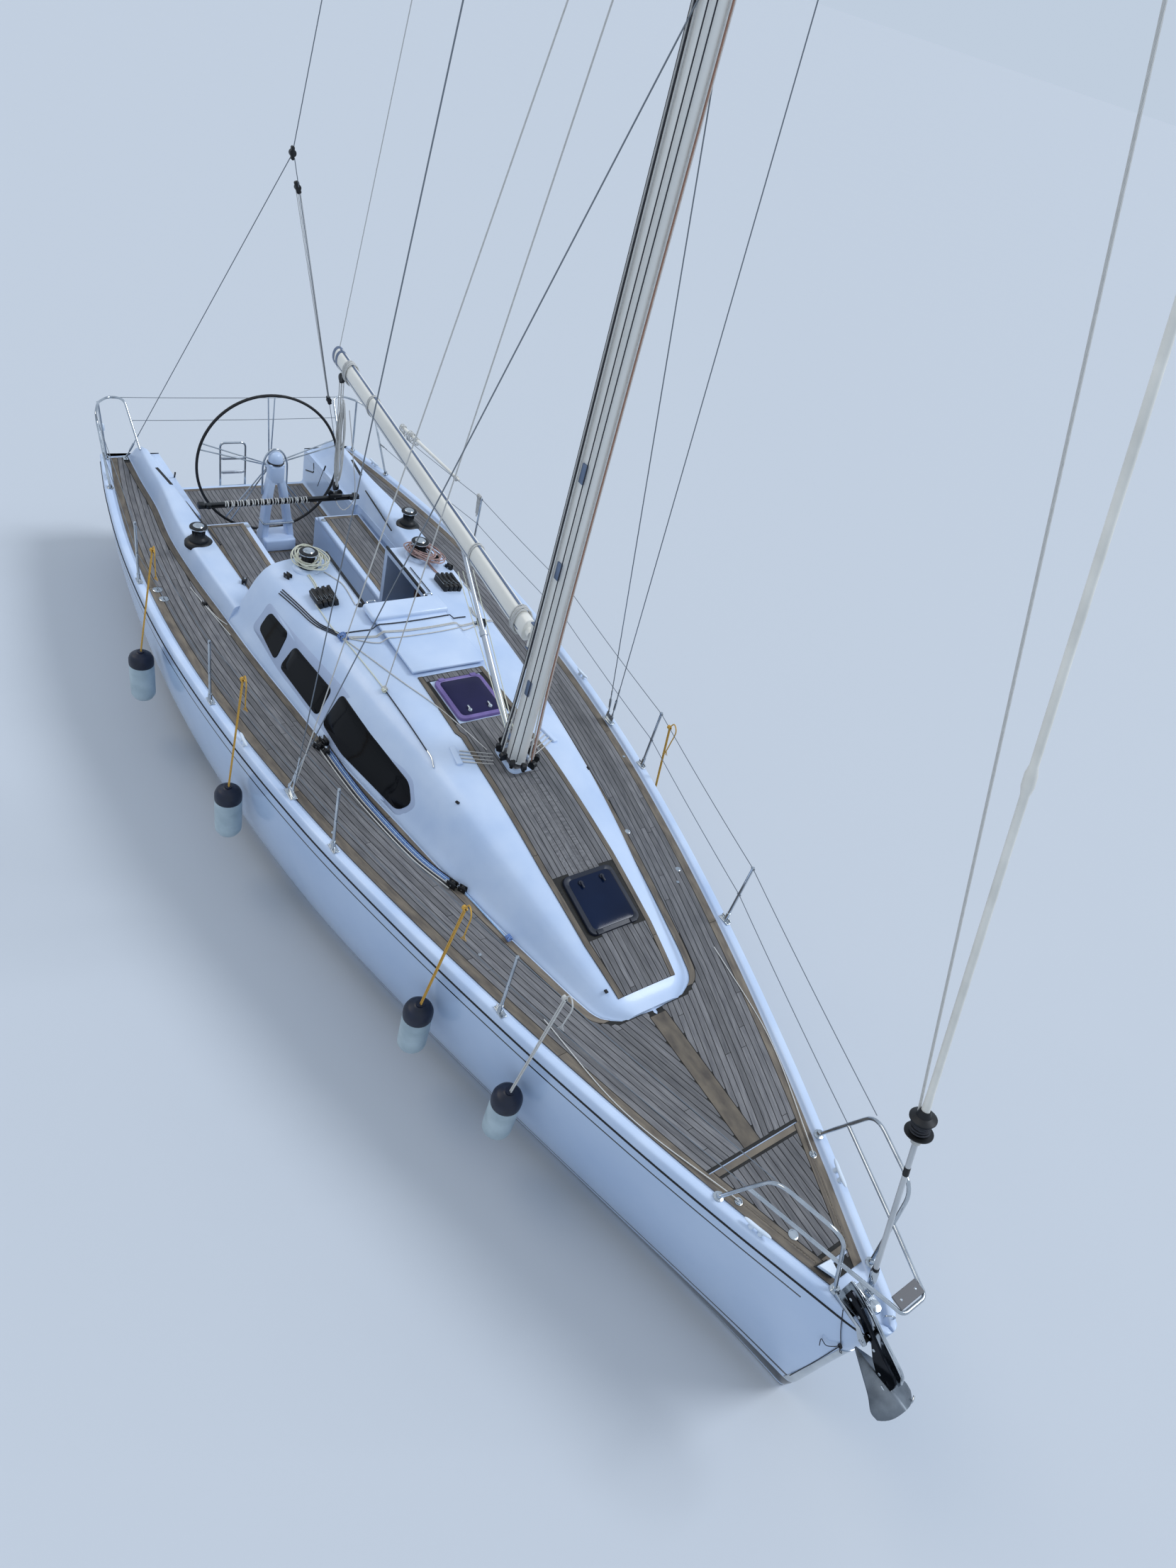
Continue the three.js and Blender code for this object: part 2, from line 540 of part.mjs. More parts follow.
const leg = join(
  block(LEG.x - LEG.long, LEG.x + LEG.long, -LEG.half, LEG.half, -560, -100),
  block(LEG.x - LEG.long, ENGINE.aft - GAP, -LEG.half, LEG.half, -200, -100),
  blade([[-475, LEG.x + 120, 260, 90], [-900, LEG.x + 90, 195, 70]]),
  rod(v3(LEG.x - 120, 0, LEG.shaft), v3(LEG.x + 130, 0, LEG.shaft), 45, 12),
);
piece('saildrive_leg', leg, 'iron');
const PROP_X = LEG.x - 120 - 2 * GAP;
function propeller() {
  let all = rod(v3(PROP_X - 90, 0, LEG.shaft), v3(PROP_X, 0, LEG.shaft), 38, 12);
  [0, 1, 2].forEach((i) => {
    const wing = new THREE.BoxGeometry(8, 90, 165);
    wing.rotateZ(THREE.MathUtils.degToRad(35)).translate(0, 0, 110);
    wing.rotateX((i * 2 * Math.PI) / 3).translate(PROP_X - 45, 0, LEG.shaft);
    all = join(all, solid(wing));
  });
  return all;
}
piece('propeller', propeller(), 'bronze');
const cabinFloor = solid(hullLoft((x) => sheer(x), 150 + GAP, 200 + GAP, CABIN_AFT, CABIN_FORE));
const bearers = join(
  block(ENGINE.aft, ENGINE.fore, -ENGINE.half, -ENGINE.half + ENGINE.bearer, -400, ENGINE.low),
  block(ENGINE.aft, ENGINE.fore, ENGINE.half - ENGINE.bearer, ENGINE.half, -400, ENGINE.low),
).intersect(cabinFloor);
const engineBlock = block(ENGINE.aft, ENGINE.fore, -ENGINE.half, ENGINE.half, ENGINE.low, ENGINE.high);
piece('engine', join(engineBlock, bearers), 'engine');

// Mast with its two pairs of swept spreaders
const mastAt = (z) => MAST_X - (z - MAST_FOOT_Z) * MAST_RAKE;
function mastTube() {
  const shape = new THREE.Shape();
  shape.absellipse(0, 0, MAST_LENGTHWISE / 2, MAST_ACROSS / 2, 0, Math.PI * 2);
  const tall = MASTHEAD_Z - MAST_FOOT_Z;
  const tube = new THREE.ExtrudeGeometry(shape, { depth: tall + 20, curveSegments: 10, bevelEnabled: false });
  const tilted = tube.translate(0, 0, -20).rotateY(-Math.atan(MAST_RAKE)).translate(MAST_X, 0, MAST_FOOT_Z);
  return solid(tilted).subtract(block(0, 2000, -500, 500, 1000, MAST_FOOT_Z));
}
const SPREADERS = [{ z: 6900, half: 1000, aft: 380 }, { z: 11000, half: 780, aft: 300 }];
const spreaderTip = ({ z, half, aft }, sign) => v3(mastAt(z) - aft, sign * half, z + 40);
let mast = mastTube();
SPREADERS.forEach((level) => [1, -1].forEach((sign) => {
  mast = join(mast, rod(v3(mastAt(level.z), 0, level.z), spreaderTip(level, sign), 32, 8, 20));
}));
const headX = mastAt(MASTHEAD_Z);
mast = join(mast, block(headX - 260, headX + 130, -40, 40, MASTHEAD_Z - 90, MASTHEAD_Z + 10));
const mastFace = (z) => mastAt(z) - MAST_LENGTHWISE / 2;
const VANG_FOOT_Z = 2010;
const tangX = mastAt(FORESTAY_TOP_Z);
const jaw = (z0, z1) => block(GOOSENECK.x - 22, mastFace(z0) + 12, -22, 22, z0, z1);
mast = join(
  mast,
  jaw(GOOSENECK.z + 100 + GAP, GOOSENECK.z + 112),
  jaw(GOOSENECK.z - 112, GOOSENECK.z - 100 - GAP),
  jaw(VANG_FOOT_Z - 40, VANG_FOOT_Z - 25),
  block(tangX + 80, tangX + 135, -14, 14, FORESTAY_TOP_Z - 10, FORESTAY_TOP_Z + 40),
);
piece('mast', mast, 'spar');

// Standing rigging: wires from the chainplates over the spreader tips, the backstay on its bridle.
const WIRE = 6;
const CHAINPLATE = v3(326, 1545, 1330);
function shrouds(sign) {
  const foot = v3(CHAINPLATE.x, sign * CHAINPLATE.y, CHAINPLATE.z + 90);
  const beside = (z) => v3(mastAt(z), sign * (MAST_ACROSS / 2 + WIRE + GAP), z);
  const tipLow = spreaderTip(SPREADERS[0], sign).add(v3(0, sign * (WIRE + 8), 0));
  const tipHigh = spreaderTip(SPREADERS[1], sign).add(v3(0, sign * (WIRE + 8), 0));
  const cap = framework([foot, tipLow, tipHigh, beside(14900)], WIRE, 6);
  const lower = framework([foot, beside(6700)], WIRE, 6);
  const upper = framework([tipLow, beside(10800)], WIRE, 6);
  const plate = block(foot.x - 30, foot.x + 30, foot.y - 9, foot.y + 9, deckTop(foot.x) + 2 * GAP, foot.z + 20);
  return join(cap, lower, upper, plate);
}
function deckTop(x) {
  return sheer(x) + RAIL_HEIGHT;
}
piece('shrouds_stbd', shrouds(-1), 'steel');
piece('shrouds_port', shrouds(1), 'steel');
const BRIDLE = v3(-4060, 0, 4650);
const backFoot = (sign) => v3(-5410, sign * 1243, deckZ(-5410, 1243));
const backstay = join(
  rod(v3(mastAt(MASTHEAD_Z) - 260 - WIRE - GAP, 0, MASTHEAD_Z - 40), BRIDLE, WIRE, 8),
  rod(BRIDLE, backFoot(1), WIRE, 8),
  rod(BRIDLE, backFoot(-1), WIRE, 8),
  block(BRIDLE.x - 22, BRIDLE.x + 22, -22, 22, BRIDLE.z - 45, BRIDLE.z + 45),
);
const aboveTeak = (x) => deckZ(x, 1243) + TEAK + GAP;
piece('backstay', backstay.subtract(block(-5600, -5200, -1500, 1500, 900, aboveTeak(-5410))), 'steel');

const stayTop = v3(mastAt(FORESTAY_TOP_Z) + MAST_LENGTHWISE / 2 + 25, 0, FORESTAY_TOP_Z);
const stayLine = stayTop.clone().sub(STEM_FITTING).normalize();
const alongStay = (distance) => STEM_FITTING.clone().addScaledVector(stayLine, distance);
const DRUM_AT = 1290;
piece('forestay_strut', join(
  rod(alongStay(-20), alongStay(DRUM_AT - GAP), 16, 10),
  block(5230, 5400, -22, 22, deckZ(5300, 0) + GAP, 1440),
), 'steel');
piece('furler', join(
  rod(alongStay(DRUM_AT), alongStay(DRUM_AT + 150), 78, 16),
  rod(alongStay(DRUM_AT + 140), alongStay(stayTop.distanceTo(STEM_FITTING) - 16 - GAP), 17, 8),
), 'spar');

// Boom with its vang strut, and the mainsheet
const boomAim = v3(-Math.cos(BOOM_TO_PORT), Math.sin(BOOM_TO_PORT), 0.004);
const alongBoom = (distance, lift = 0) => (
  GOOSENECK.clone().addScaledVector(boomAim, distance).add(v3(0, 0, lift)));
function boomTube(grow) {
  const shape = new THREE.Shape();
  shape.absellipse(0, 0, 92 + grow, 60 + grow, 0, Math.PI * 2);
  const settings = { depth: BOOM_LENGTH, curveSegments: 8, bevelEnabled: false };
  const geometry = new THREE.ExtrudeGeometry(shape, settings);
  geometry.rotateY(-Math.PI / 2).rotateZ(-BOOM_TO_PORT);
  const start = alongBoom(0);
  return solid(geometry.translate(start.x, start.y, start.z));
}
const knuckle = (low, high, radius) => rod(v3(GOOSENECK.x, 0, low), v3(GOOSENECK.x, 0, high), radius, 16);
piece('boom', join(boomTube(0), knuckle(GOOSENECK.z - 100, GOOSENECK.z + 100, 20)), 'spar');
const vangFoot = v3(GOOSENECK.x, 0, VANG_FOOT_Z);
const vang = join(
  rod(vangFoot, alongBoom(1330, -80), 24, 10).subtract(boomTube(GAP)),
  knuckle(VANG_FOOT_Z - 25 + GAP, VANG_FOOT_Z + 10, 20),
);
piece('vang', vang, 'spar');
const SHEET_AT = 4630;
// The traveller's track crosses the well between the coamings' inner faces, with its car to port.
const TRACK = { x: -3985, low: 1310, top: 1360, carTop: 1424, carY: 610 };
const between = (x, z) => block(x - 32, x + 32, -SEAT_HALF, SEAT_HALF, z, z + 50);
const track = join(
  between(TRACK.x, TRACK.low)
    .subtract(COAMINGS[0].translate([0, GAP, 0])).subtract(COAMINGS[1].translate([0, -GAP, 0])),
  block(TRACK.x - 45, TRACK.x + 45, TRACK.carY - 70, TRACK.carY + 70, TRACK.top - 8, TRACK.carTop),
);
piece('traveller', track, 'black');
const sheetTop = alongBoom(SHEET_AT, -98);
const sheetFoot = v3(TRACK.x, TRACK.carY, TRACK.carTop + GAP);
piece('mainsheet', join(
  rod(sheetTop, sheetFoot, 16, 8),
  rod(sheetTop.clone().add(v3(0, 0, -95)), sheetTop.clone().add(v3(0, 0, 20)), 40, 10),
  rod(sheetFoot, sheetFoot.clone().add(v3(0, 0, 90)), 40, 10),
).subtract(boomTube(GAP)).subtract(block(-4100, -3800, 400, 800, 1300, TRACK.carTop + GAP)), 'rope');

// Steering: pedestal with its compass, wheel
// Columns: height, half-breadth, half-depth and x of the pedestal's column.
const PEDESTAL_LEVELS = [[SOLE_Z + 150, 190, 70, -4120], [1500, 75, 60, -4190], [1690, 85, 70, PEDESTAL_X]];
const GUARD = { x: PEDESTAL_X - 15, half: 135, foot: 1300, bend: 1600, shoulder: 1750, top: 1815, tube: 11 };
const guardPoint = (share, z) => v3(GUARD.x, share * GUARD.half, z);
const guardHoop = framework([
  v3(PEDESTAL_X, -60, GUARD.foot - 30), guardPoint(-1, GUARD.foot), guardPoint(-1, GUARD.bend),
  guardPoint(-0.6, GUARD.shoulder), guardPoint(0, GUARD.top), guardPoint(0.6, GUARD.shoulder),
  guardPoint(1, GUARD.bend), guardPoint(1, GUARD.foot), v3(PEDESTAL_X, 60, GUARD.foot - 30),
], GUARD.tube);
const SHAFT = { radius: 28, aft: WHEEL_X - 40, fore: -4222, hub: 55 };
const shaftRod = (from, to, radius) => rod(v3(from, 0, WHEEL_Z), v3(to, 0, WHEEL_Z), radius, 16);
const pedestal = join(
  block(-4260, -3960, -180, 180, SOLE_Z + 12 + GAP, SOLE_Z + 160),
  solid(loft(PEDESTAL_LEVELS.map(([z, wide, deep, x]) => (
    [v3(x - deep, -wide, z), v3(x + deep, -wide, z), v3(x + deep, wide, z), v3(x - deep, wide, z)])))),
  solid(new THREE.SphereGeometry(85, 14, 8).translate(PEDESTAL_X, 0, 1710)),
  guardHoop,
);
piece('pedestal', pedestal.subtract(shaftRod(-4300, SHAFT.fore + 2, SHAFT.radius + 0.7)), 'gelcoat');
const SPOKES = 5;
function wheel() {
  const rim = new THREE.TorusGeometry(WHEEL_RADIUS - 14, 14, 6, 32).rotateY(Math.PI / 2);
  let all = solid(rim.translate(WHEEL_X, 0, WHEEL_Z));
  const reach = WHEEL_RADIUS - 16;
  for (let i = 0; i < SPOKES; i += 1) {
    const turn = Math.PI / 2 + (i * 2 * Math.PI) / SPOKES;
    const end = v3(WHEEL_X, Math.cos(turn) * reach, WHEEL_Z + Math.sin(turn) * reach);
    all = join(all, rod(v3(WHEEL_X, 0, WHEEL_Z), end, 9, 8));
  }
  return join(all, shaftRod(SHAFT.aft, SHAFT.fore, SHAFT.radius), shaftRod(SHAFT.aft, WHEEL_X + 40, SHAFT.hub));
}
piece('wheel', wheel(), 'black');

// Winches: four drums on their bases
WINCHES.forEach(([name, x, y, z]) => {
  const profile = [
    [0, 0], [92, 0], [88, 26], [62, 42], [56, 90], [70, 118], [84, 134], [84, 150], [60, 160], [0, 160],
  ];
  const drum = new THREE.LatheGeometry(profile.map(([r, h]) => new THREE.Vector2(r, h)), 20)
    .rotateX(Math.PI / 2).translate(x, y, z + 30 + GAP);
  piece(`winch_${name}`, solid(drum), 'black');
});

// Bow: pulpit, roller, anchor, stem plate
const RAIL_TUBE = 13;
function pulpit(radius) {
  const aft = v3(4430, 450, deckTop(4430) + GAP);
  const kneeTop = v3(4620, 440, 1995);
  const fore = v3(5195, 160, deckTop(5195) + GAP);
  const bend = v3(5055, 295, 1995);
  const middleAft = v3(4530, 442, 1720);
  const nose = [v3(5150, 225, 1725), v3(5420, 125, 1725), v3(5490, 70, 1725)];
  const side = (sign) => {
    const at = (p) => v3(p.x, sign * p.y, p.z);
    return join(
      framework([at(aft), at(middleAft), at(kneeTop), at(bend), at(fore)], radius),
      framework([at(middleAft), ...nose.map(at)], radius),
    );
  };
  const front = rod(nose[2], v3(nose[2].x, -nose[2].y, nose[2].z), radius, 8);
  return join(side(1), side(-1), front, block(5405, 5485, -110, 110, 1730, 1745));
}
const underRail = solid(hullLoft((x) => sheer(x) + RAIL_HEIGHT + GAP));
piece('pulpit', pulpit(RAIL_TUBE).subtract(underRail), 'steel');

// The roller's channel lies on the starboard rail beside the stay, and its port cheek runs down past the
// stem. Side plates are outlines in x and z, carried across from one y to the other.
const sidePlate = (outline, from, to) => windowPrism(outline, 0, from, to);
const RAIL_TOP = deckTop(5300) + GAP;
const ROLLER = { x: 5480, z: 1367.6, radius: 24, low: BOW_TACKLE_Y - 31, high: BOW_TACKLE_Y + 27 };
const portCheek = [
  [5215, RAIL_TOP], [5474, RAIL_TOP], [5482, 1340], [5560, 1322], [5758, 1288], [5762, 1310], [5729, 1365],
  [5636, 1404], [5540, 1438], [5415, 1495], [5306, 1526], [5222, 1534],
];
const starboardCheek = [
  [5215, RAIL_TOP], [5400, RAIL_TOP], [5462, 1345], [5500, 1345], [5506, 1388], [5420, 1434], [5220, 1440],
];
const roller = join(
  block(5215, 5360, ROLLER.low - 8, ROLLER.high + 20, RAIL_TOP, RAIL_TOP + 5),
  sidePlate(portCheek, ROLLER.high + 12, ROLLER.high + 20),
  sidePlate(starboardCheek, ROLLER.low - 8, ROLLER.low),
  rod(v3(ROLLER.x, ROLLER.low, ROLLER.z), v3(ROLLER.x, ROLLER.high, ROLLER.z), ROLLER.radius, 14),
  rod(v3(ROLLER.x, ROLLER.low - 4, ROLLER.z), v3(ROLLER.x, ROLLER.high + 16, ROLLER.z), 8, 8),
);
piece('bow_roller', roller.subtract(underRail), 'steel');
// The anchor's shank, a plate that bends down over the roller, and its blade, a low ridge with two wings.
const shank = [
  [5250, 1464], [5360, 1430], [5424, 1415], [5458, 1392], [5512, 1392], [5574, 1311], [5650, 1244],
  [5742, 1250], [5748, 1330], [5709, 1370], [5603, 1402], [5488, 1456], [5359, 1514], [5262, 1540],
];
// Columns: x, half-breadth, height of the ridge, how far the wing's tip lies below it.
const BLADE = [
  [5478, 4, 1228, 1], [5600, 62, 1246, 20], [5720, 112, 1266, 45], [5800, 152, 1276, 68], [5862, 148, 1280, 70],
];
const BLADE_THICK = 11;
const anchorBlade = loft(BLADE.map(([x, half, ridge, drop]) => [
  v3(x, BOW_TACKLE_Y, ridge), v3(x, BOW_TACKLE_Y - half, ridge - drop),
  v3(x, BOW_TACKLE_Y - half, ridge - drop - BLADE_THICK), v3(x, BOW_TACKLE_Y, ridge - BLADE_THICK),
  v3(x, BOW_TACKLE_Y + half, ridge - drop - BLADE_THICK), v3(x, BOW_TACKLE_Y + half, ridge - drop),
]));
piece('anchor', join(sidePlate(shank, BOW_TACKLE_Y - 9, BOW_TACKLE_Y + 9), solid(anchorBlade)), 'steel');
const hullOuter = solid(hullLoft((x) => sheer(x) + RAIL_HEIGHT));
const stemShell = hullOuter.translate([7, 0, 0]).subtract(hullOuter.translate([GAP, 0, 0]));
piece('stem_plate', stemShell.intersect(block(5385, 5600, -60, 60, 170, 1020)), 'steel');

// Stern: pushpits, ladder
function pushpit(sign, radius) {
  const at = (x, y, z) => v3(x, sign * y, z);
  const outerFore = at(-4690, 1575, deckTop(-4690) + GAP);
  const outerAft = at(-5380, 1440, deckTop(-5380) + GAP);
  const innerFoot = at(-5130, 1150, COAMING_TOP_Z - 60);
  const top = [at(-5150, 1560, 1780), at(-5430, 1470, 1780), at(-5560, 1330, 1780), at(-5510, 1190, 1780)];
  return join(
    framework([outerFore, ...top, innerFoot], radius),
    framework([outerAft, at(-5440, 1468, 1780)], radius),
  );
}
const coamings = join(COAMINGS[0], COAMINGS[1]);
piece('pushpit_stbd', pushpit(-1, RAIL_TUBE).subtract(underRail).subtract(coamings), 'steel');
piece('pushpit_port', pushpit(1, RAIL_TUBE).subtract(underRail).subtract(coamings), 'steel');
const ladderAt = (y, z) => v3(LADDER.x, y, z);
const step = (z) => rod(ladderAt(-LADDER.half, z), ladderAt(LADDER.half, z), LADDER.tube, 6);
const ladderFrame = framework([
  ladderAt(-LADDER.half, LADDER.hinge), ladderAt(-LADDER.half, LADDER.top),
  ladderAt(LADDER.half, LADDER.top), ladderAt(LADDER.half, LADDER.hinge),
], LADDER.tube);
const pinEnd = LADDER.half + LADDER.tube;
const hingePin = rod(ladderAt(-pinEnd, LADDER.hinge), ladderAt(pinEnd, LADDER.hinge), LADDER.tube, 12);
piece('swim_ladder', join(ladderFrame, hingePin, step(LADDER.hinge + 180), step(LADDER.hinge + 360)), 'steel');

// Stanchions with the two lifelines they carry, one body a side
const STANCHION_XS = [-2840, -930, 974, 2730];
const STANCHION_INSET = 28;
const WIRE_HEIGHTS = [310, 610];
// Where a lifeline meets the tubes at the stern and at the bow, x, y, z, the lower one first.
const WIRE_ENDS = [
  { aft: [-4912, 1568, 1480], fore: [4530, 442, 1720] },
  { aft: [-5150, 1560, 1780], fore: [4620, 440, 1995] },
];
const overRail = (x, sign, height) => v3(x, sign * (halfBeam(x) - STANCHION_INSET), deckTop(x) + height);
function lifeline(sign, level, radius) {
  const ends = WIRE_ENDS[level];
  const end = ([x, y, z]) => v3(x, sign * y, z);
  const held = STANCHION_XS.map((x) => overRail(x, sign, WIRE_HEIGHTS[level]));
  return framework([end(ends.aft), ...held, end(ends.fore)], radius, 4);
}
function guardRail(sign) {
  const posts = STANCHION_XS.map((x) => rod(overRail(x, sign, GAP), overRail(x, sign, WIRE_HEIGHTS[1]), 12, 6));
  return join(...posts, lifeline(sign, 0, 4), lifeline(sign, 1, 4))
    .subtract(pulpit(RAIL_TUBE + GAP)).subtract(pushpit(sign, RAIL_TUBE + GAP));
}
piece('guard_rail_stbd', guardRail(-1), 'steel');
piece('guard_rail_port', guardRail(1), 'steel');

// Fenders on their lanyards, tied to the upper lifeline. Columns: x, side, top of the fender.
const FENDERS = [[-2190, -1, 960], [-230, -1, 1010], [2250, -1, 1010], [3110, -1, 1010], [1150, 1, 960]];
const FENDER_PROFILE = [[0, -560], [60, -550], [108, -500], [110, -80], [70, -20], [0, 0]];
function wireAt(x, sign) {
  const last = WIRE_ENDS[1].fore;
  const held = STANCHION_XS.map((at) => overRail(at, sign, WIRE_HEIGHTS[1]));
  held.push(v3(last[0], sign * last[1], last[2]));
  const i = held.findIndex((p) => p.x > x);
  return held[i - 1].clone().lerp(held[i], (x - held[i - 1].x) / (held[i].x - held[i - 1].x));
}
FENDERS.forEach(([x, sign, top], i) => {
  const away = (halfBeam(x) + 135) * sign;
  const body = new THREE.LatheGeometry(FENDER_PROFILE.map(([r, h]) => new THREE.Vector2(r, h)), 14)
    .rotateX(Math.PI / 2).translate(x, away, top);
  const lanyard = rod(v3(x, away, top - 15), wireAt(x, sign), 6, 6).subtract(lifeline(sign, 1, 4 + GAP));
  piece(`fender_${i + 1}`, join(solid(body), lanyard), 'fender');
});

export default yacht;
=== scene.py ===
"""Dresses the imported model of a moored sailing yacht: every surface, wire, rope and fitting, in
metres.

The frame is the yacht's own: +X to the bow, +Y to port, +Z up, with the waterline at z = 0.
"""
from __future__ import annotations

import logging
import math
from dataclasses import dataclass, field
from enum import Enum, IntEnum
from typing import Callable, Sequence

import bmesh
import bpy
import numpy as np
from mathutils import Euler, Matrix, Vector

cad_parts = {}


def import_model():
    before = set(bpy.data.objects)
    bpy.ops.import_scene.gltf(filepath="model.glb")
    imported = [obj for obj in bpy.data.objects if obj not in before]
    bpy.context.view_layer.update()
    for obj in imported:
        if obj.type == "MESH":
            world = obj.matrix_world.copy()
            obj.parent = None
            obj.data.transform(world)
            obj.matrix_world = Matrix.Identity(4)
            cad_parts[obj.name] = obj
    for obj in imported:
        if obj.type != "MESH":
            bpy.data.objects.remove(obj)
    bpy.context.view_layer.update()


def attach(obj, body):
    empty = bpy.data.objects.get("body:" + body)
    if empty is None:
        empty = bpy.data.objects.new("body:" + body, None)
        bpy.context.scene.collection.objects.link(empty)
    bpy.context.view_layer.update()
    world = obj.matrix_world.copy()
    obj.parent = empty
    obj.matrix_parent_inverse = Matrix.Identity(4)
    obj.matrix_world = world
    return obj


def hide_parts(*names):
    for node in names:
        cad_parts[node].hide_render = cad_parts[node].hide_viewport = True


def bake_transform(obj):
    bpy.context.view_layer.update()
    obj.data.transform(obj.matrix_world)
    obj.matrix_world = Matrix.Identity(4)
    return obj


LOG = logging.getLogger("yacht")
Array = np.ndarray
STARBOARD, PORT = -1, 1
SIDES = {"stbd": STARBOARD, "port": PORT}
HULL = "hull_body"


def hermite(xs: Sequence[float], ys: Array, at: Array) -> Array:
    """A smooth curve through points: cubic pieces whose slope at a point is that of the chord past
    it.

    Args:
        xs: Where the points are, rising.
        ys: Their values, one row a point.
        at: Where the curve is wanted.

    Returns:
        The curve's values, one row for each place in `at`.
    """
    xs, ys, at = np.asarray(xs, float), np.asarray(ys, float), np.asarray(at, float)
    slope = np.empty_like(ys)
    run = (xs[2:] - xs[:-2]).reshape((-1,) + (1,) * (ys.ndim - 1))
    slope[1:-1] = (ys[2:] - ys[:-2]) / run
    slope[0] = (ys[1] - ys[0]) / (xs[1] - xs[0])
    slope[-1] = (ys[-1] - ys[-2]) / (xs[-1] - xs[-2])
    i = np.clip(np.searchsorted(xs, at, side="right") - 1, 0, len(xs) - 2)
    h = xs[i + 1] - xs[i]
    t = np.clip((at - xs[i]) / h, 0, 1)
    shape = t.shape + (1,) * (ys.ndim - 1)
    t, h = t.reshape(shape), h.reshape(shape)
    return ((2 * t**3 - 3 * t**2 + 1) * ys[i] + (t**3 - 2 * t**2 + t) * h * slope[i]
            + (3 * t**2 - 2 * t**3) * ys[i + 1] + (t**3 - t**2) * h * slope[i + 1])


def smooth(points: Sequence[Sequence[float]], count: int) -> Array:
    """A smooth line through points in space, sampled evenly by chord length.

    Args:
        points: Points in space, in order.
        count: Points on the curve.

    Returns:
        The curve's points.
    """
    p = np.asarray(points, float)
    s = np.r_[0, np.cumsum(np.linalg.norm(np.diff(p, axis=0), axis=1))]
    return hermite(s, p, np.linspace(0, s[-1], count))


def straight(a: Sequence[float], b: Sequence[float], count: int = 2, sag: float = 0.0) -> Array:
    """A line from a to b that hangs down by `sag` at its middle, as a parabola.

    Args:
        a: The start.
        b: The end.
        count: Points on the line.
        sag: How far its middle hangs down.

    Returns:
        The line's points.
    """
    t = np.linspace(0, 1, count)[:, None]
    line = np.asarray(a, float) * (1 - t) + np.asarray(b, float) * t
    line[:, 2] -= 4 * sag * (t * (1 - t))[:, 0]
    return line


def rounded_path(corners: Sequence[Sequence[float]], radius: float, steps: int = 5) -> Array:
    """Straight runs between corners, each inner corner turned on a quadratic curve that starts
    `radius` before it and ends as far past it.

    Args:
        corners: Its corners, in order.
        radius: Where each turn starts.
        steps: Points on each turn.

    Returns:
        The path's points.
    """
    c = np.asarray(corners, float)
    t = np.linspace(0, 1, steps)[:, None]
    parts = [c[:1]]
    for a, b, d in zip(c[:-2], c[1:-1], c[2:]):
        back, on = a - b, d - b
        reach = min(radius, 0.45 * np.linalg.norm(back), 0.45 * np.linalg.norm(on))
        p = b + back / np.linalg.norm(back) * reach
        q = b + on / np.linalg.norm(on) * reach
        parts.append((1 - t) ** 2 * p + 2 * t * (1 - t) * b + t**2 * q)
    return np.vstack(parts + [c[-1:]])


def unit(v: Array) -> Array:
    """The rows of v at length one."""
    return v / np.maximum(np.linalg.norm(v, axis=-1, keepdims=True), 1e-12)


def around(count: int) -> Array:
    """So many angles, evenly round a circle."""
    return np.linspace(0, 2 * np.pi, count, endpoint=False)


def winding(turns: float, count: int) -> Array:
    """An angle that grows by whole turns, in so many steps."""
    return np.linspace(0, 2 * np.pi * turns, count)


def tube_grid(path: Array, radius: float | Array, sides: int, up: Sequence[float], closed: bool,
              flat: float = 1.0) -> Array:
    """Rings round a path: each point plus the radius times (cos a along the level side, sin a along
    the part of `up` that is square to the path), with the second one times `flat`.

    Args:
        path: Points along the middle.
        radius: One value, or one a point.
        sides: Points on a ring.
        up: Sets the rings' turn.
        closed: Whether the path joins up.
        flat: Share of the radius on the second side.

    Returns:
        Rings by sides by three.
    """
    if closed:
        tangent = np.roll(path, -1, 0) - np.roll(path, 1, 0)
    else:
        tangent = np.gradient(path, axis=0)
    tangent = unit(tangent)
    ref = np.broadcast_to(np.asarray(up, float), tangent.shape)
    rise = ref - (ref * tangent).sum(1, keepdims=True) * tangent
    weak = np.linalg.norm(rise, axis=1) < 0.08
    if weak.any():
        spare = np.broadcast_to(np.array([0.31, 0.95, 0.05]), tangent.shape)
        rise = np.where(weak[:, None], spare - (spare * tangent).sum(1, keepdims=True) * tangent,
                        rise)
    rise = unit(rise)
    level = np.cross(tangent, rise)
    a = 2 * np.pi * np.arange(sides) / sides
    r = np.broadcast_to(np.asarray(radius, float), (len(path),))[:, None, None]
    return path[:, None] + r * (np.cos(a)[:, None] * level[:, None] + flat
                                * np.sin(a)[:, None] * rise[:, None])


class Axis(IntEnum):
    """The axis that a slab is carried along."""

    X = 0
    Y = 1
    Z = 2


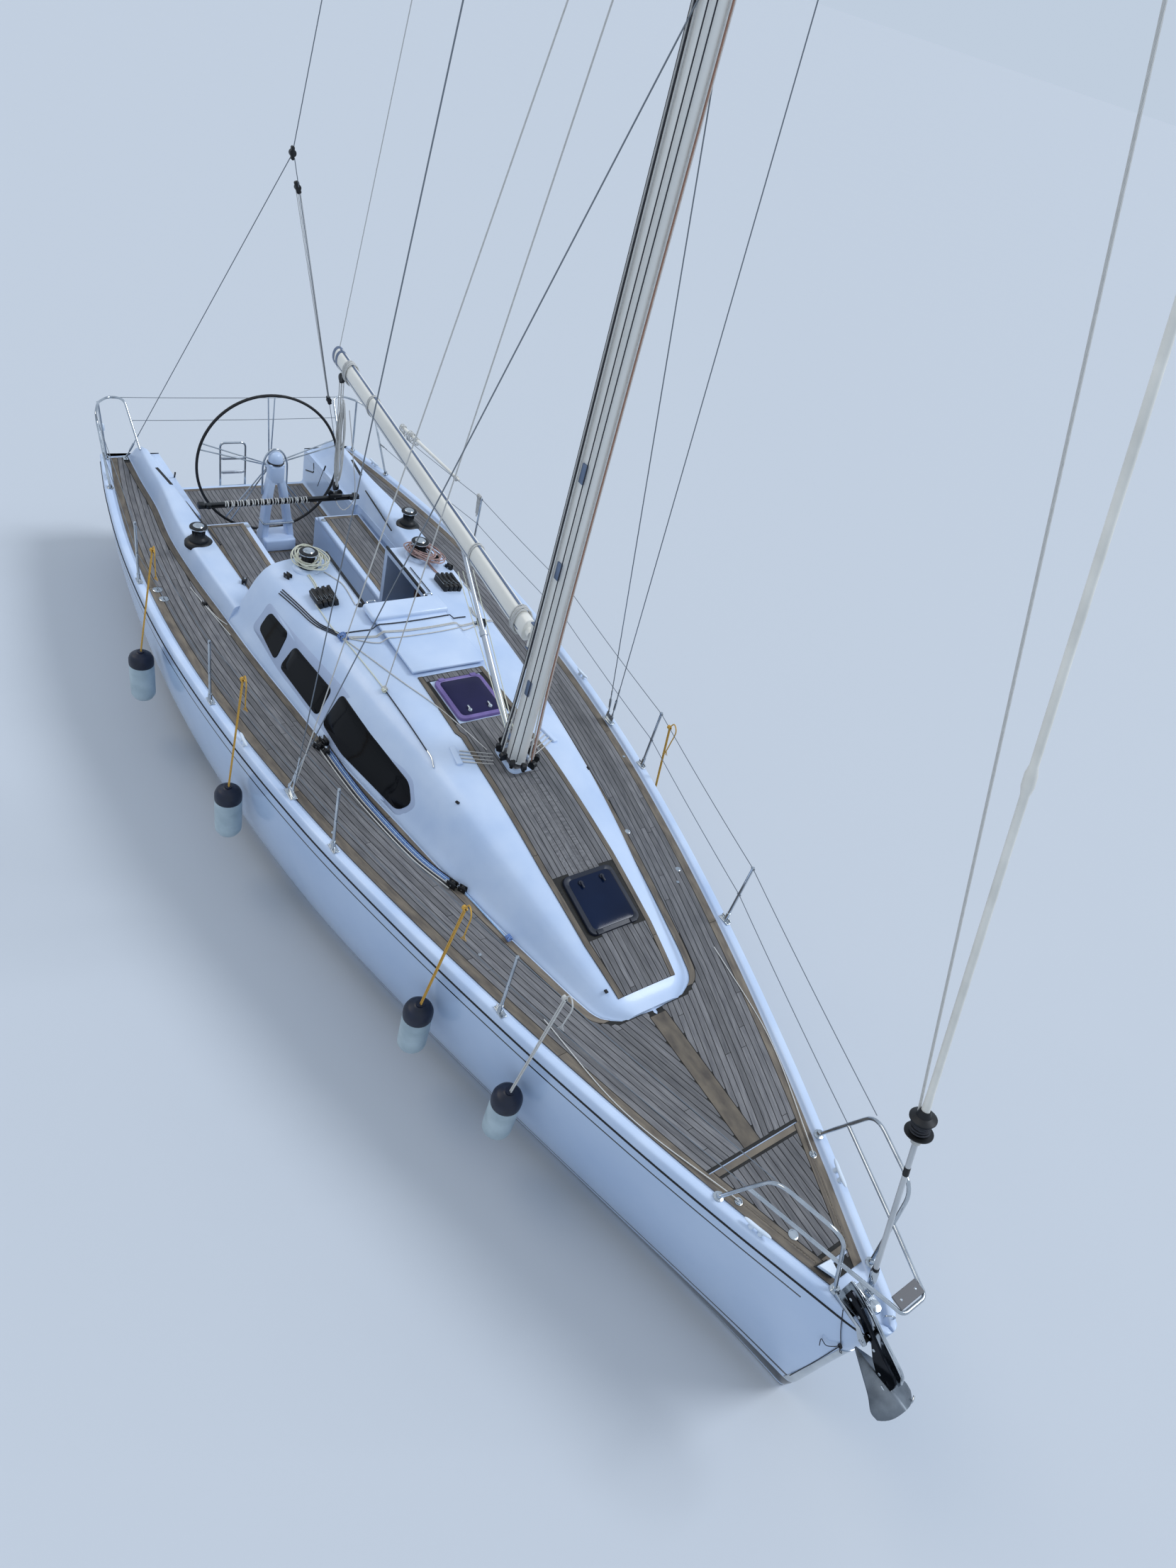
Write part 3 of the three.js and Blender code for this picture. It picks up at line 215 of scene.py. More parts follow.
class Shape:
    """Collects closed surfaces as arrays and turns them into one Blender piece."""

    def __init__(self) -> None:
        """Starts with no surface."""
        self.points: list[Array] = []
        self.faces: list[list[int]] = []
        self.uvs: list[Array] = []
        self.tones: list[Array] = []
        self.count = 0

    def _take(self, points: Array, faces: Array, uv: Array, tone: float) -> None:
        """Keeps one surface's arrays.

        Args:
            points: The surface's points.
            faces: Rows of point numbers.
            uv: The pattern's place at each corner.
            tone: As for `grid`.
        """
        self.points.append(points.reshape(-1, 3))
        self.faces += (faces + self.count).tolist()
        self.uvs.append(uv.reshape(-1, 2))
        self.tones.append(np.full(len(points.reshape(-1, 3)), tone))
        self.count += len(points.reshape(-1, 3))

    def grid(self, points: Array, wrap_u: bool = False, wrap_v: bool = False, caps: bool = False,
             uv: Array | None = None, tone: float = 0.5) -> "Shape":
        """Adds a surface on a grid of points.

        Args:
            points: The surface, rows by columns by three.
            wrap_u: Whether the last row joins the first.
            wrap_v: Whether the last column joins the first.
            caps: Whether the first and last rows are closed by a fan.
            uv: The pattern's place at each grid point, one row or column more where it wraps.
            tone: How light the stretch is among its like, 0 to 1.

        Returns:
            This shape, so that calls can follow each other.
        """
        nu, nv = points.shape[:2]
        i, j = np.meshgrid(np.arange(nu - 1 + wrap_u), np.arange(nv - 1 + wrap_v), indexing="ij")
        if uv is None:
            along = np.linalg.norm(np.diff(points[:, 0], axis=0), axis=1)
            along = np.r_[0, np.cumsum(along), 0][: nu + wrap_u]
            uv = np.stack(np.meshgrid(along, np.linspace(0, 1, nv + wrap_v), indexing="ij"), -1)
        i, j = i.ravel(), j.ravel()
        i2, j2 = (i + 1) % nu, (j + 1) % nv
        faces = np.stack([i * nv + j, i2 * nv + j, i2 * nv + j2, i * nv + j2], 1)
        corners = np.stack([uv[i, j], uv[i + 1, j], uv[i + 1, j + 1], uv[i, j + 1]], 1)
        self._take(points, faces, corners, tone)
        if caps:
            for row in (0, nu - 1):
                ring = points[row]
                fan = np.vstack([ring, ring.mean(0)])
                k = np.arange(nv)
                faces = np.stack([k, (k + 1) % nv, np.full(nv, nv)], 1)
                self._take(fan, faces, np.broadcast_to(uv[row, 0], (nv, 3, 2)), tone)
        return self

    def tube(self, path: Array, radius: float | Array, sides: int = 8,
             up: Sequence[float] = (0, 0, 1), closed: bool = False, flat: float = 1.0,
             tone: float = 0.5) -> "Shape":
        """Adds a round or flattened tube along a path; the pattern runs in metres along it.

        Args:
            path: Points along the middle.
            radius: One value, or one a point.
            sides: Points on a ring.
            up: Sets the rings' turn.
            closed: Whether the path joins up.
            flat: Share of the radius on the second side.
            tone: As for `grid`.

        Returns:
            This shape.
        """
        rings = tube_grid(np.asarray(path, float), radius, sides, up, closed, flat)
        return self.grid(rings, wrap_u=closed, wrap_v=True, caps=not closed, tone=tone)

    def rod(self, a: Sequence[float], b: Sequence[float], radius: float,
            sides: int = 10) -> "Shape":
        """Adds a straight round bar from a to b."""
        return self.tube(straight(a, b), radius, sides)

    def box(self, centre: Sequence[float], size: Sequence[float], edge: float = 0.004,
            turn: Sequence[float] = (0, 0, 0), steps: int = 3) -> "Shape":
        """Adds a block with rounded edges: over a sphere of directions n, the corner of the smaller
        block that n points to, plus `edge` times n.

        Args:
            centre: The block's middle.
            size: Its three lengths.
            edge: The radius of its edges.
            turn: Rotation about x, y and z in degrees.
            steps: Faces in each rounded quarter.

        Returns:
            This shape.
        """
        quarter = (np.arange(steps) + 0.5) / steps * np.pi / 2
        lat = np.r_[-np.pi / 2 + 1e-3, quarter - np.pi / 2, quarter, np.pi / 2 - 1e-3]
        lon = np.concatenate([quarter + k * np.pi / 2 for k in range(4)])
        la, lo = np.meshgrid(lat, lon, indexing="ij")
        n = np.stack([np.cos(la) * np.cos(lo), np.cos(la) * np.sin(lo), np.sin(la)], -1)
        half = np.maximum(np.asarray(size, float) / 2 - edge, 1e-5)
        p = np.sign(n) * half + edge * n
        matrix = np.array(Euler([math.radians(t) for t in turn]).to_matrix())
        return self.grid(p @ matrix.T + np.asarray(centre, float), wrap_v=True, caps=True)

    def lathe(self, profile: Sequence[Sequence[float]], centre: Sequence[float], sides: int = 20,
              axis: Sequence[float] = (0, 0, 1)) -> "Shape":
        """Adds a turned body: each (radius, height) of the profile is a ring about the axis.

        Args:
            profile: Radius and height, from one end to the other.
            centre: Where height 0 lies.
            sides: Points on a ring.
            axis: The body's axis.

        Returns:
            This shape.
        """
        p = np.asarray(profile, float)
        z = unit(np.asarray(axis, float))
        x = unit(np.cross(z, [0.0, 1.0, 0.0] if abs(z[1]) < 0.9 else [1.0, 0.0, 0.0]))
        y = np.cross(z, x)
        a = 2 * np.pi * np.arange(sides) / sides
        ring = np.cos(a)[:, None] * x + np.sin(a)[:, None] * y
        rings = np.maximum(p[:, :1, None], 1e-5) * ring[None] + p[:, 1:2, None] * z
        return self.grid(rings + np.asarray(centre, float), wrap_v=True, caps=True)

    def disc(self, radius: float, half: float, centre: Sequence[float], sides: int = 18,
             axis: Sequence[float] = (0, 0, 1)) -> "Shape":
        """Adds a plain round disc, `half` thick to either side of its centre."""
        return self.lathe([(0, -half), (radius, -half), (radius, half), (0, half)], centre, sides,
                          axis)

    def plate(self, outline: Array, low: Callable, high: Callable) -> "Shape":
        """Adds a slab over a star-shaped outline in plan.

        Args:
            outline: Points in plan, in order round the slab.
            low: Height of the underside at x, y.
            high: Height of the top at x, y.

        Returns:
            This shape.
        """
        o = np.asarray(outline, float)
        middle = o.mean(0)
        rings = [np.c_[o, low(o[:, 0], o[:, 1])]]
        for share in (1.0, 0.66, 0.33):
            q = middle + (o - middle) * share
            rings.append(np.c_[q, high(q[:, 0], q[:, 1])])
        pts = np.stack(rings)
        uv = pts[:, :, :2]
        uv = np.concatenate([uv, uv[:, :1]], 1)
        return self.grid(pts, wrap_v=True, caps=True, uv=uv)

    def slab(self, outline: Sequence[Sequence[float]], low: float, high: float, axis: Axis,
             edge: float = 0.002) -> "Shape":
        """Adds a flat piece: a convex outline carried along an axis, a little smaller at both
        faces.

        Args:
            outline: Corners on the other two axes, in their order x, y, z.
            low: Where it starts on the axis.
            high: Where it ends.
            edge: How much smaller its faces are than its middle.

        Returns:
            This shape.
        """
        o = np.asarray(outline, float)
        away = unit(o - o.mean(0)) * edge
        rings = []
        for at, shrink in ((low, 1), (low + edge, 0), (high - edge, 0), (high, 1)):
            rings.append(np.insert(o - away * shrink, int(axis), at, axis=1))
        return self.grid(np.array(rings), wrap_v=True, caps=True)

    def ribbon(self, low: Sequence[Sequence[float]], high: Sequence[Sequence[float]], y0: float,
               y1: float, edge: float = 0.0015) -> "Shape":
        """Adds an upright plate between a lower and an upper line of x, z points, from y0 to y1
        across.

        Both lines are read at the same places along x, and the plate's long edges are cut off by
        `edge`.

        Args:
            low: The lower line.
            high: The upper line.
            y0: One face.
            y1: The other face.
            edge: How much of the edges is cut off.

        Returns:
            This shape.
        """
        low, high = np.asarray(low, float), np.asarray(high, float)
        a, b = max(low[0, 0], high[0, 0]), min(low[-1, 0], high[-1, 0])
        xs = np.unique(np.clip(np.r_[low[:, 0], high[:, 0], np.linspace(a, b, 40)], a, b))
        down, up = np.interp(xs, low[:, 0], low[:, 1]), np.interp(xs, high[:, 0], high[:, 1])
        up = np.maximum(up, down + 2.5 * edge)
        corners = [(down + edge, y0), (up - edge, y0), (up, y0 + edge), (up, y1 - edge),
                   (up - edge, y1), (down + edge, y1), (down, y1 - edge), (down, y0 + edge)]
        points = np.stack([np.stack([xs, np.full(len(xs), y), z], 1) for z, y in corners], 1)
        return self.grid(points, wrap_v=True, caps=True)

    def build(self, name: str, finish: "Finish", body: str, slot: str,
              crease: float = 38.0) -> bpy.types.Object:
        """Makes the Blender object, sets its finish and lets it ride on a body.

        Args:
            name: The piece's name.
            finish: What its surface is made of.
            body: The CAD body that it moves with.
            slot: Not used.
            crease: Edges sharper than this many degrees stay crisp.

        Returns:
            The object.
        """
        mesh = bpy.data.meshes.new(name)
        points = np.vstack(self.points)
        mesh.from_pydata(points, [], self.faces)
        layer = mesh.uv_layers.new(name="Pattern")
        layer.data.foreach_set("uv", np.vstack(self.uvs).astype(np.float32).ravel())
        tone = mesh.attributes.new("tone", "FLOAT", "POINT")
        tone.data.foreach_set("value", np.concatenate(self.tones).astype(np.float32))
        work = bmesh.new()
        work.from_mesh(mesh)
        bmesh.ops.remove_doubles(work, verts=work.verts, dist=1e-5)
        bmesh.ops.dissolve_degenerate(work, edges=work.edges, dist=1e-6)
        bmesh.ops.recalc_face_normals(work, faces=work.faces)
        work.to_mesh(mesh)
        work.free()
        mesh.polygons.foreach_set("use_smooth", np.ones(len(mesh.polygons), bool))
        mesh.set_sharp_from_angle(angle=math.radians(crease))
        mesh.materials.append(finish.material())
        piece = bpy.data.objects.new(name, mesh)
        bpy.context.scene.collection.objects.link(piece)
        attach(piece, body)
        LOG.info("%s: %d faces on %s", name, len(mesh.polygons), body)
        return piece


def linear(hex_colour: str) -> tuple[float, float, float, float]:
    """Turns an sRGB hex colour into linear light."""
    value = [int(hex_colour[k:k + 2], 16) / 255 for k in (1, 3, 5)]
    return (*[v / 12.92 if v <= 0.04045 else ((v + 0.055) / 1.055) ** 2.4 for v in value], 1.0)


def add_node(tree: bpy.types.NodeTree, kind: str, inputs: dict | None = None,
             **settings) -> bpy.types.Node:
    """Adds a node. `settings` are its properties; `inputs` are its sockets, each a value or an
    output.

    Args:
        tree: The material's nodes.
        kind: Blender's name for the node.
        inputs: Its sockets.
        settings: Its properties.

    Returns:
        The node.
    """
    node = tree.nodes.new(kind)
    for name, value in settings.items():
        setattr(node, name, value)
    for name, value in (inputs or {}).items():
        if isinstance(value, bpy.types.NodeSocket):
            tree.links.new(value, node.inputs[name])
        else:
            node.inputs[name].default_value = value
    return node


class Pattern(Enum):
    """Where a pattern's coordinates come from."""

    PLACE = "Object"
    ALONG = "UV"


@dataclass(frozen=True)
class Finish:
    """A surface: two colours mixed by a noise, with its gloss and a fine bump."""

    name: str
    light: str
    dark: str
    roughness: float = 0.4
    metallic: float = 0.0
    coat: float = 0.0
    pattern: Pattern = Pattern.PLACE
    stretch: tuple[float, float, float] = (1.0, 1.0, 1.0)
    scale: float = 3.0
    detail: float = 6.0
    contrast: tuple[float, float] = (0.35, 0.7)
    bump: float = 0.05
    bump_scale: float = 220.0
    rough_swing: float = 0.1
    ior: float = 1.5

    def material(self) -> bpy.types.Material:
        """The Blender material, made once.

        Returns:
            The material.
        """
        found = bpy.data.materials.get(self.name)
        if found:
            return found
        made = bpy.data.materials.new(self.name)
        made.use_nodes = True
        tree = made.node_tree
        tree.nodes.clear()
        shader = add_node(tree, "ShaderNodeBsdfPrincipled", {
            "Metallic": self.metallic, "Coat Weight": self.coat, "Coat Roughness": 0.08,
            "IOR": self.ior})
        output = add_node(tree, "ShaderNodeOutputMaterial")
        tree.links.new(shader.outputs[0], output.inputs[0])
        self.dress(tree, shader)
        return made

    def coordinates(self, tree: bpy.types.NodeTree) -> bpy.types.NodeSocket:
        """The pattern's coordinates, stretched along the grain.

        Args:
            tree: The material's nodes.

        Returns:
            The coordinates.
        """
        source = add_node(tree, "ShaderNodeTexCoord")
        mapped = add_node(tree, "ShaderNodeMapping", {
            "Vector": source.outputs[self.pattern.value], "Scale": self.stretch})
        return mapped.outputs[0]

    def noise(self, tree: bpy.types.NodeTree, scale: float, detail: float) -> bpy.types.NodeSocket:
        """A cloudy value at so many clouds a metre."""
        return add_node(tree, "ShaderNodeTexNoise", {
            "Vector": self.coordinates(tree), "Scale": scale, "Detail": detail}).outputs["Fac"]

    def colour(self, tree: bpy.types.NodeTree) -> bpy.types.NodeSocket:
        """The mixed colour.

        Args:
            tree: The material's nodes.

        Returns:
            The colour.
        """
        low, high = self.contrast
        share = add_node(tree, "ShaderNodeMapRange", {
            "Value": self.noise(tree, self.scale, self.detail), "From Min": low, "From Max": high})
        return add_node(tree, "ShaderNodeMix", {
            "Factor": share.outputs[0], 6: linear(self.light), 7: linear(self.dark)},
            data_type="RGBA").outputs[2]

    def dress(self, tree: bpy.types.NodeTree, shader: bpy.types.Node) -> None:
        """Links colour, roughness and bump to the shader.

        Args:
            tree: The material's nodes.
            shader: The surface's shader.
        """
        tree.links.new(self.colour(tree), shader.inputs["Base Color"])
        rough = add_node(tree, "ShaderNodeMapRange", {
            "Value": self.noise(tree, self.scale * 2.3, 4.0),
            "To Min": max(self.roughness - self.rough_swing, 0.02),
            "To Max": self.roughness + self.rough_swing})
        tree.links.new(rough.outputs[0], shader.inputs["Roughness"])
        if self.bump:
            lumps = add_node(tree, "ShaderNodeBump", {
                "Height": self.noise(tree, self.bump_scale, 3.0), "Strength": self.bump,
                "Distance": 0.002})
            tree.links.new(lumps.outputs[0], shader.inputs["Normal"])


@dataclass(frozen=True)
class Timber(Finish):
    """Weathered planks: fine grain drawn along each plank, and planks of differing tone."""

    def colour(self, tree: bpy.types.NodeTree) -> bpy.types.NodeSocket:
        """Grain colour, made lighter or darker by the plank's own tone.

        Args:
            tree: The material's nodes.

        Returns:
            The colour.
        """
        grain = super().colour(tree)
        tone = add_node(tree, "ShaderNodeAttribute", attribute_name="tone")
        share = add_node(tree, "ShaderNodeMapRange", {
            "Value": tone.outputs["Fac"], "To Min": 0.72, "To Max": 1.28})
        return add_node(tree, "ShaderNodeMix", {
            "Factor": 1.0, 6: grain, 7: share.outputs[0]}, data_type="RGBA",
                        blend_type="MULTIPLY").outputs[2]


@dataclass(frozen=True)
class Braid(Finish):
    """Rope: slanted strands round it, and a fleck of a second colour every few strands."""

    fleck: str = "#ffffff"
    fleck_share: float = 0.3

    def colour(self, tree: bpy.types.NodeTree) -> bpy.types.NodeSocket:
        """Base colour with flecks in a slanted check, strands about 8 mm long.

        Args:
            tree: The material's nodes.

        Returns:
            The colour.
        """
        base = super().colour(tree)
        check = add_node(tree, "ShaderNodeTexWave", {
            "Vector": self.coordinates(tree), "Scale": 9.0, "Distortion": 1.5, "Detail": 1.0},
            wave_type="BANDS", bands_direction="DIAGONAL")
        share = add_node(tree, "ShaderNodeMapRange", {
            "Value": check.outputs["Fac"], "From Min": 1 - self.fleck_share,
            "From Max": 1.05 - self.fleck_share})
        return add_node(tree, "ShaderNodeMix", {
            "Factor": share.outputs[0], 6: base, 7: linear(self.fleck)},
                        data_type="RGBA").outputs[2]


# White gelcoat tinted pale blue: the blue tint is painted sky shade.
DECKCOAT = Finish("gelcoat_satin", "#cad9ef", "#b8cbe7", 0.36, coat=0.15, scale=2.2, bump=0.05,
                  bump_scale=90)
TEAK = Timber("teak_weathered", "#7a797a", "#525256", 0.8, pattern=Pattern.ALONG,
              stretch=(1.2, 38.0, 1.0), scale=5.0, detail=8.0, bump=0.35, bump_scale=22.0,
              contrast=(0.3, 0.75))
MARGIN = Timber("teak_margin_brown", "#7b7163", "#57504a", 0.8, pattern=Pattern.ALONG,
                stretch=(1.2, 30.0, 1.0), scale=5.0, detail=8.0, bump=0.3, bump_scale=22.0)
CAULK = Finish("seam_caulk_black", "#16140f", "#0d0c0b", 0.7, scale=30.0)
ACRYLIC = Finish("acrylic_smoked", "#050608", "#0a0b10", 0.10, scale=1.5, bump=0.0,
                 rough_swing=0.03, ior=1.25)
ACRYLIC_NAVY = Finish("acrylic_navy", "#0d1c38", "#0a152c", 0.14, scale=1.8, bump=0.0,
                      rough_swing=0.05, ior=1.3)
ACRYLIC_PLUM = Finish("acrylic_plum", "#232049", "#1a1839", 0.14, scale=1.8, bump=0.0,
                      rough_swing=0.05, ior=1.3)
MAUVE = Finish("hatch_frame_mauve", "#7d6ca6", "#6a5993", 0.45, scale=6.0)
STEEL = Finish("stainless_polished", "#cfd4d8", "#a9b0b7", 0.16, metallic=1.0, scale=7.0, bump=0.03)
MIRROR = Finish("stainless_mirror", "#d3d7da", "#a9b0b6", 0.08, metallic=1.0, scale=5.0, bump=0.02,
                bump_scale=30.0, rough_swing=0.04)
DARK_STEEL = Finish("stainless_dark_polish", "#23262b", "#121418", 0.14, metallic=1.0, scale=6.0,
                    bump=0.02, bump_scale=30.0, rough_swing=0.05)
BLADE_STEEL = Finish("anchor_blade_steel", "#8d949b", "#4d545c", 0.28, metallic=0.9, scale=5.0,
                     contrast=(0.35, 0.7))
# Darker blue-grey gelcoat for the window panel: painted shade of a recess on a white side.
PANEL_PAINTED_SHADE = Finish("gelcoat_panel_painted_shade", "#afbdd6", "#a3b2cd", 0.42, scale=2.2, bump=0.03,
                    bump_scale=90)
STRUT_GREY = Finish("alloy_strut_grey", "#cbcdcf", "#b0b4b8", 0.4, metallic=0.2, scale=2.0)
# White nylon tinted faintly blue: the tint is painted sky shade.
VINYL_WHITE = Finish("nylon_white", "#dfe9f5", "#cbd8e6", 0.4, scale=9.0, bump=0.05)
ALLOY = Finish("alloy_anodised", "#cfd3d8", "#aeb4bd", 0.38, metallic=0.75, scale=1.4,
               stretch=(3.0, 3.0, 0.35), bump=0.05, contrast=(0.3, 0.8))
WHITE_SPAR = Finish("spar_lacquer_white", "#eeebe2", "#d8d6ce", 0.35, coat=0.2, scale=1.6,
                    stretch=(0.5, 3.0, 3.0))
MAST_PALE = Finish("spar_pale", "#f6f4ee", "#e2e0da", 0.4, scale=1.5,
                   stretch=(3.0, 3.0, 0.3), contrast=(0.3, 0.8))
SPAR_GREY = Finish("spar_track_grey", "#6f7f99", "#566580", 0.4, metallic=0.3, scale=3.0)
BLACK = Finish("alloy_black", "#17181b", "#0c0d0f", 0.42, metallic=0.2, scale=12.0)
RUBBER = Finish("rubber_black", "#131315", "#0b0b0c", 0.7, scale=14.0, bump=0.15)
LEATHER = Finish("wheel_cover_leather", "#161517", "#0c0b0d", 0.6, scale=60.0, bump=0.4,
                 bump_scale=400.0)
ANTIFOUL = Finish("antifouling_navy", "#16203a", "#0f1730", 0.75, scale=4.0, bump=0.15,
                  bump_scale=120.0)
IRON = Finish("keel_cast_faired", "#182238", "#101828", 0.8, scale=5.0, bump=0.25, bump_scale=90.0)
BRONZE = Finish("bronze_dull", "#a98a54", "#7d6338", 0.35, metallic=1.0, scale=9.0)
LEG = Finish("leg_paint_grey", "#42464b", "#34383c", 0.5, scale=6.0)
ENAMEL = Finish("engine_enamel", "#8e979c", "#7a8388", 0.5, scale=5.0)
FENDER = Finish("vinyl_pale", "#b9c9cf", "#98aab2", 0.42, scale=5.0, bump=0.1, bump_scale=40.0)
FENDER_END = Finish("vinyl_navy", "#0f1830", "#0a1122", 0.4, scale=9.0)
CABIN_WOOD = Timber("cabin_mahogany", "#6d3f1d", "#4c2a12", 0.45, coat=0.3, pattern=Pattern.ALONG,
                    stretch=(1.0, 20.0, 1.0), scale=4.0, detail=6.0)
ROPE_WHITE = Braid("rope_white", "#dfdedb", "#bab9b6", 0.8, pattern=Pattern.ALONG, scale=40.0,
                   bump=0.2, fleck="#8b8a80", fleck_share=0.12)
ROPE_BLUE = Braid("rope_blue", "#1f5fae", "#164787", 0.8, pattern=Pattern.ALONG, scale=40.0,
                  fleck="#cfe0f2",
                  fleck_share=0.12)
ROPE_PALE = Braid("rope_pale_blue", "#86b4e2", "#6c9ccf", 0.8, pattern=Pattern.ALONG, scale=40.0,
                  fleck="#e8f2fb", fleck_share=0.2)
ROPE_GREEN = Braid("rope_green_fleck", "#d2d3c2", "#a6a891", 0.8, pattern=Pattern.ALONG, scale=40.0,
                   fleck="#f0eedd", fleck_share=0.4)
ROPE_RED = Braid("rope_red_fleck", "#d3c4bb", "#a8958b", 0.8, pattern=Pattern.ALONG, scale=40.0,
                 fleck="#7d2733", fleck_share=0.4)
ROPE_RUST = Braid("rope_rust", "#8f6455", "#6b463b", 0.8, pattern=Pattern.ALONG, scale=40.0,
                  fleck="#c9a58f")
ROPE_BLACK = Braid("rope_black", "#191a1f", "#0f1014", 0.8, pattern=Pattern.ALONG, scale=40.0,
                   fleck="#5b5d66",
                   fleck_share=0.12)
ROPE_YELLOW = Braid("rope_yellow", "#c4912f", "#9a6c1c", 0.8, pattern=Pattern.ALONG, scale=40.0,
                    fleck="#e9c46a", fleck_share=0.2)
WIRE = Finish("wire_stainless", "#8d939a", "#5f656c", 0.35, metallic=0.8, pattern=Pattern.ALONG,
              scale=60.0)


class Col(IntEnum):
    """Columns of the hull's station table."""

    X = 0
    HALF = 1
    SHEER = 2
    KEEL = 3
    FLANK = 4
    BILGE = 5
    BOTTOM = 6


@dataclass
class HullForm:
    """The hull's lines: a table of stations and the curves between them."""

    stations: Array = field(default_factory=lambda: np.array([
        # x, half-breadth, sheer, keel line, then the section curve's flank, bilge and bottom shares
        [-5.500, 1.480, 1.112, 0.130, 0.98, 0.80, 0.62],
        [-4.600, 1.640, 1.150, -0.070, 1.0, 0.80, 0.66],
        [-3.400, 1.785, 1.193, -0.270, 1.0, 0.78, 0.70],
        [-2.100, 1.838, 1.236, -0.420, 1.0, 0.78, 0.72],
        [-0.800, 1.768, 1.272, -0.490, 1.0, 0.78, 0.72],
        [0.600, 1.574, 1.303, -0.490, 1.0, 0.76, 0.72],
        [1.800, 1.312, 1.325, -0.430, 0.98, 0.72, 0.72],
        [2.900, 1.015, 1.340, -0.340, 0.95, 0.66, 0.72],
        [3.900, 0.700, 1.349, -0.230, 0.92, 0.60, 0.72],
        [4.600, 0.452, 1.354, -0.150, 0.90, 0.55, 0.70],
        [5.100, 0.262, 1.358, -0.090, 0.88, 0.50, 0.66],
        [5.300, 0.186, 1.360, -0.055, 0.86, 0.48, 0.64],
        [5.390, 0.150, 1.361, -0.020, 0.85, 0.46, 0.62],
        [5.425, 0.132, 1.361, 0.130, 0.85, 0.46, 0.62],
        [5.470, 0.104, 1.361, 0.800, 0.86, 0.45, 0.65],
        [5.510, 0.062, 1.361, 1.210, 0.88, 0.45, 0.65],
    ]))
    rail_width: float = 0.085
    rail_height: float = 0.050
    camber: float = 0.045
    camber_half: float = 1.8

    def at(self, column: Col, x: Array) -> Array:
        """A column's value at each x."""
        return hermite(self.stations[:, Col.X], self.stations[:, column], np.asarray(x, float))

    def half(self, x: Array) -> Array:
        """Half-breadth at the rail."""
        return self.at(Col.HALF, x)

    def sheer(self, x: Array) -> Array:
        """Height of the deck's edge."""
        return self.at(Col.SHEER, x)

    def deck_edge(self, x: Array) -> Array:
        """Half-breadth at the rail's inner foot."""
        return self.half(x) - self.rail_width

    def deck_z(self, x: Array, y: Array) -> Array:
        """The deck's height: the sheer plus a parabola that falls from the middle to the rail."""
        across = np.minimum(np.abs(y) / self.camber_half, 1)
        return self.sheer(x) + self.camber * self.half(x) / self.camber_half * (1 - across**2)

    def rail_top(self, x: Array) -> Array:
        """Height of the rail's top."""
        return self.sheer(x) + self.rail_height

    def section(self, x: Array, count: int, drop: float = 0.0) -> Array:
        """Half sections: a cubic Bezier from the rail to the keel line.

        Args:
            x: The sections' places.
            count: Points on each curve.
            drop: How far below the sheer they start.

        Returns:
            Points, one row a section, from the top down to the centreline.
        """
        half, high, low = self.half(x), self.sheer(x), self.at(Col.KEEL, x)
        depth = high - low
        start = (drop / (3 * depth * self.at(Col.BILGE, x)))[:, None]
        t = start + (1 - start) * np.linspace(0, 1, count)[None]
        corner = [(half, high),
                  (half * self.at(Col.FLANK, x), high - depth * self.at(Col.BILGE, x)),
                  (half * self.at(Col.BOTTOM, x), low), (half * 0, low)]
        weight = [(1 - t) ** 3, 3 * t * (1 - t) ** 2, 3 * t**2 * (1 - t), t**3]
        y = sum(w * c[0][:, None] for w, c in zip(weight, corner))
        z = sum(w * c[1][:, None] for w, c in zip(weight, corner))
        return np.stack([np.broadcast_to(x[:, None], y.shape), y, z], -1)


FORM = HullForm()
# The planks' face over the deck, and the coachroof's ends and the anchor locker's, along x.
TEAK_TOP = 0.0098
ROOF_AFT, ROOF_FORE = -2.09, 3.15
LOCKER_AFT, LOCKER_FORE = 4.29, 5.06
WELL_AFT, BULKHEAD = -4.0, -2.08
DOOR_HALF, DOOR_SILL = 0.30, 1.0


def fillet(corners: Array, radius: float, steps: int = 4, closed: bool = False) -> Array:
    """Rounds the corners of many outlines at once.

    Each corner b between a and c becomes a quadratic curve from b + u·r to b + v·r by way of b,
    with u and v towards a and c and r at most 0.45 of either side.

    Args:
        corners: Outlines by corners by coordinates.
        radius: How far from the corner the rounding starts.
        steps: Points on each rounding.
        closed: Whether the last corner joins the first.

    Returns:
        The rounded outlines.
    """
    before, after = np.roll(corners, 1, 1), np.roll(corners, -1, 1)
    t = np.linspace(0, 1, steps)[None, None, :, None]
    u, v = before - corners, after - corners
    reach = np.minimum(radius,
                       0.45 * np.minimum(np.linalg.norm(u, axis=2), np.linalg.norm(v, axis=2)))
    p = (corners + unit(u) * reach[..., None])[:, :, None]
    q = (corners + unit(v) * reach[..., None])[:, :, None]
    bent = (1 - t) ** 2 * p + 2 * t * (1 - t) * corners[:, :, None] + t**2 * q
    if not closed:
        bent[:, 0], bent[:, -1] = corners[:, :1], corners[:, -1:]
    return bent.reshape(len(corners), -1, corners.shape[2])


def mirrored_ring(half: Array) -> Array:
    """A whole section from its port half, which runs from one edge to a point on the centreline."""
    other = half[:, -2::-1] * np.array([1.0, -1.0, 1.0])
    return np.concatenate([half, other], 1)


def table(rows: Sequence[Sequence[float]], x: Array) -> Array:
    """Smoothly between the rows of a table, whose first column is x.

    Args:
        rows: The table.
        x: Where it is read.

    Returns:
        The other columns' values there.
    """
    rows = np.asarray(rows, float)
    at = np.clip(x, rows[0, 0], rows[-1, 0])
    out = hermite(rows[:, 0], rows[:, 1:], at)
    return out[..., 0] if rows.shape[1] == 2 else out


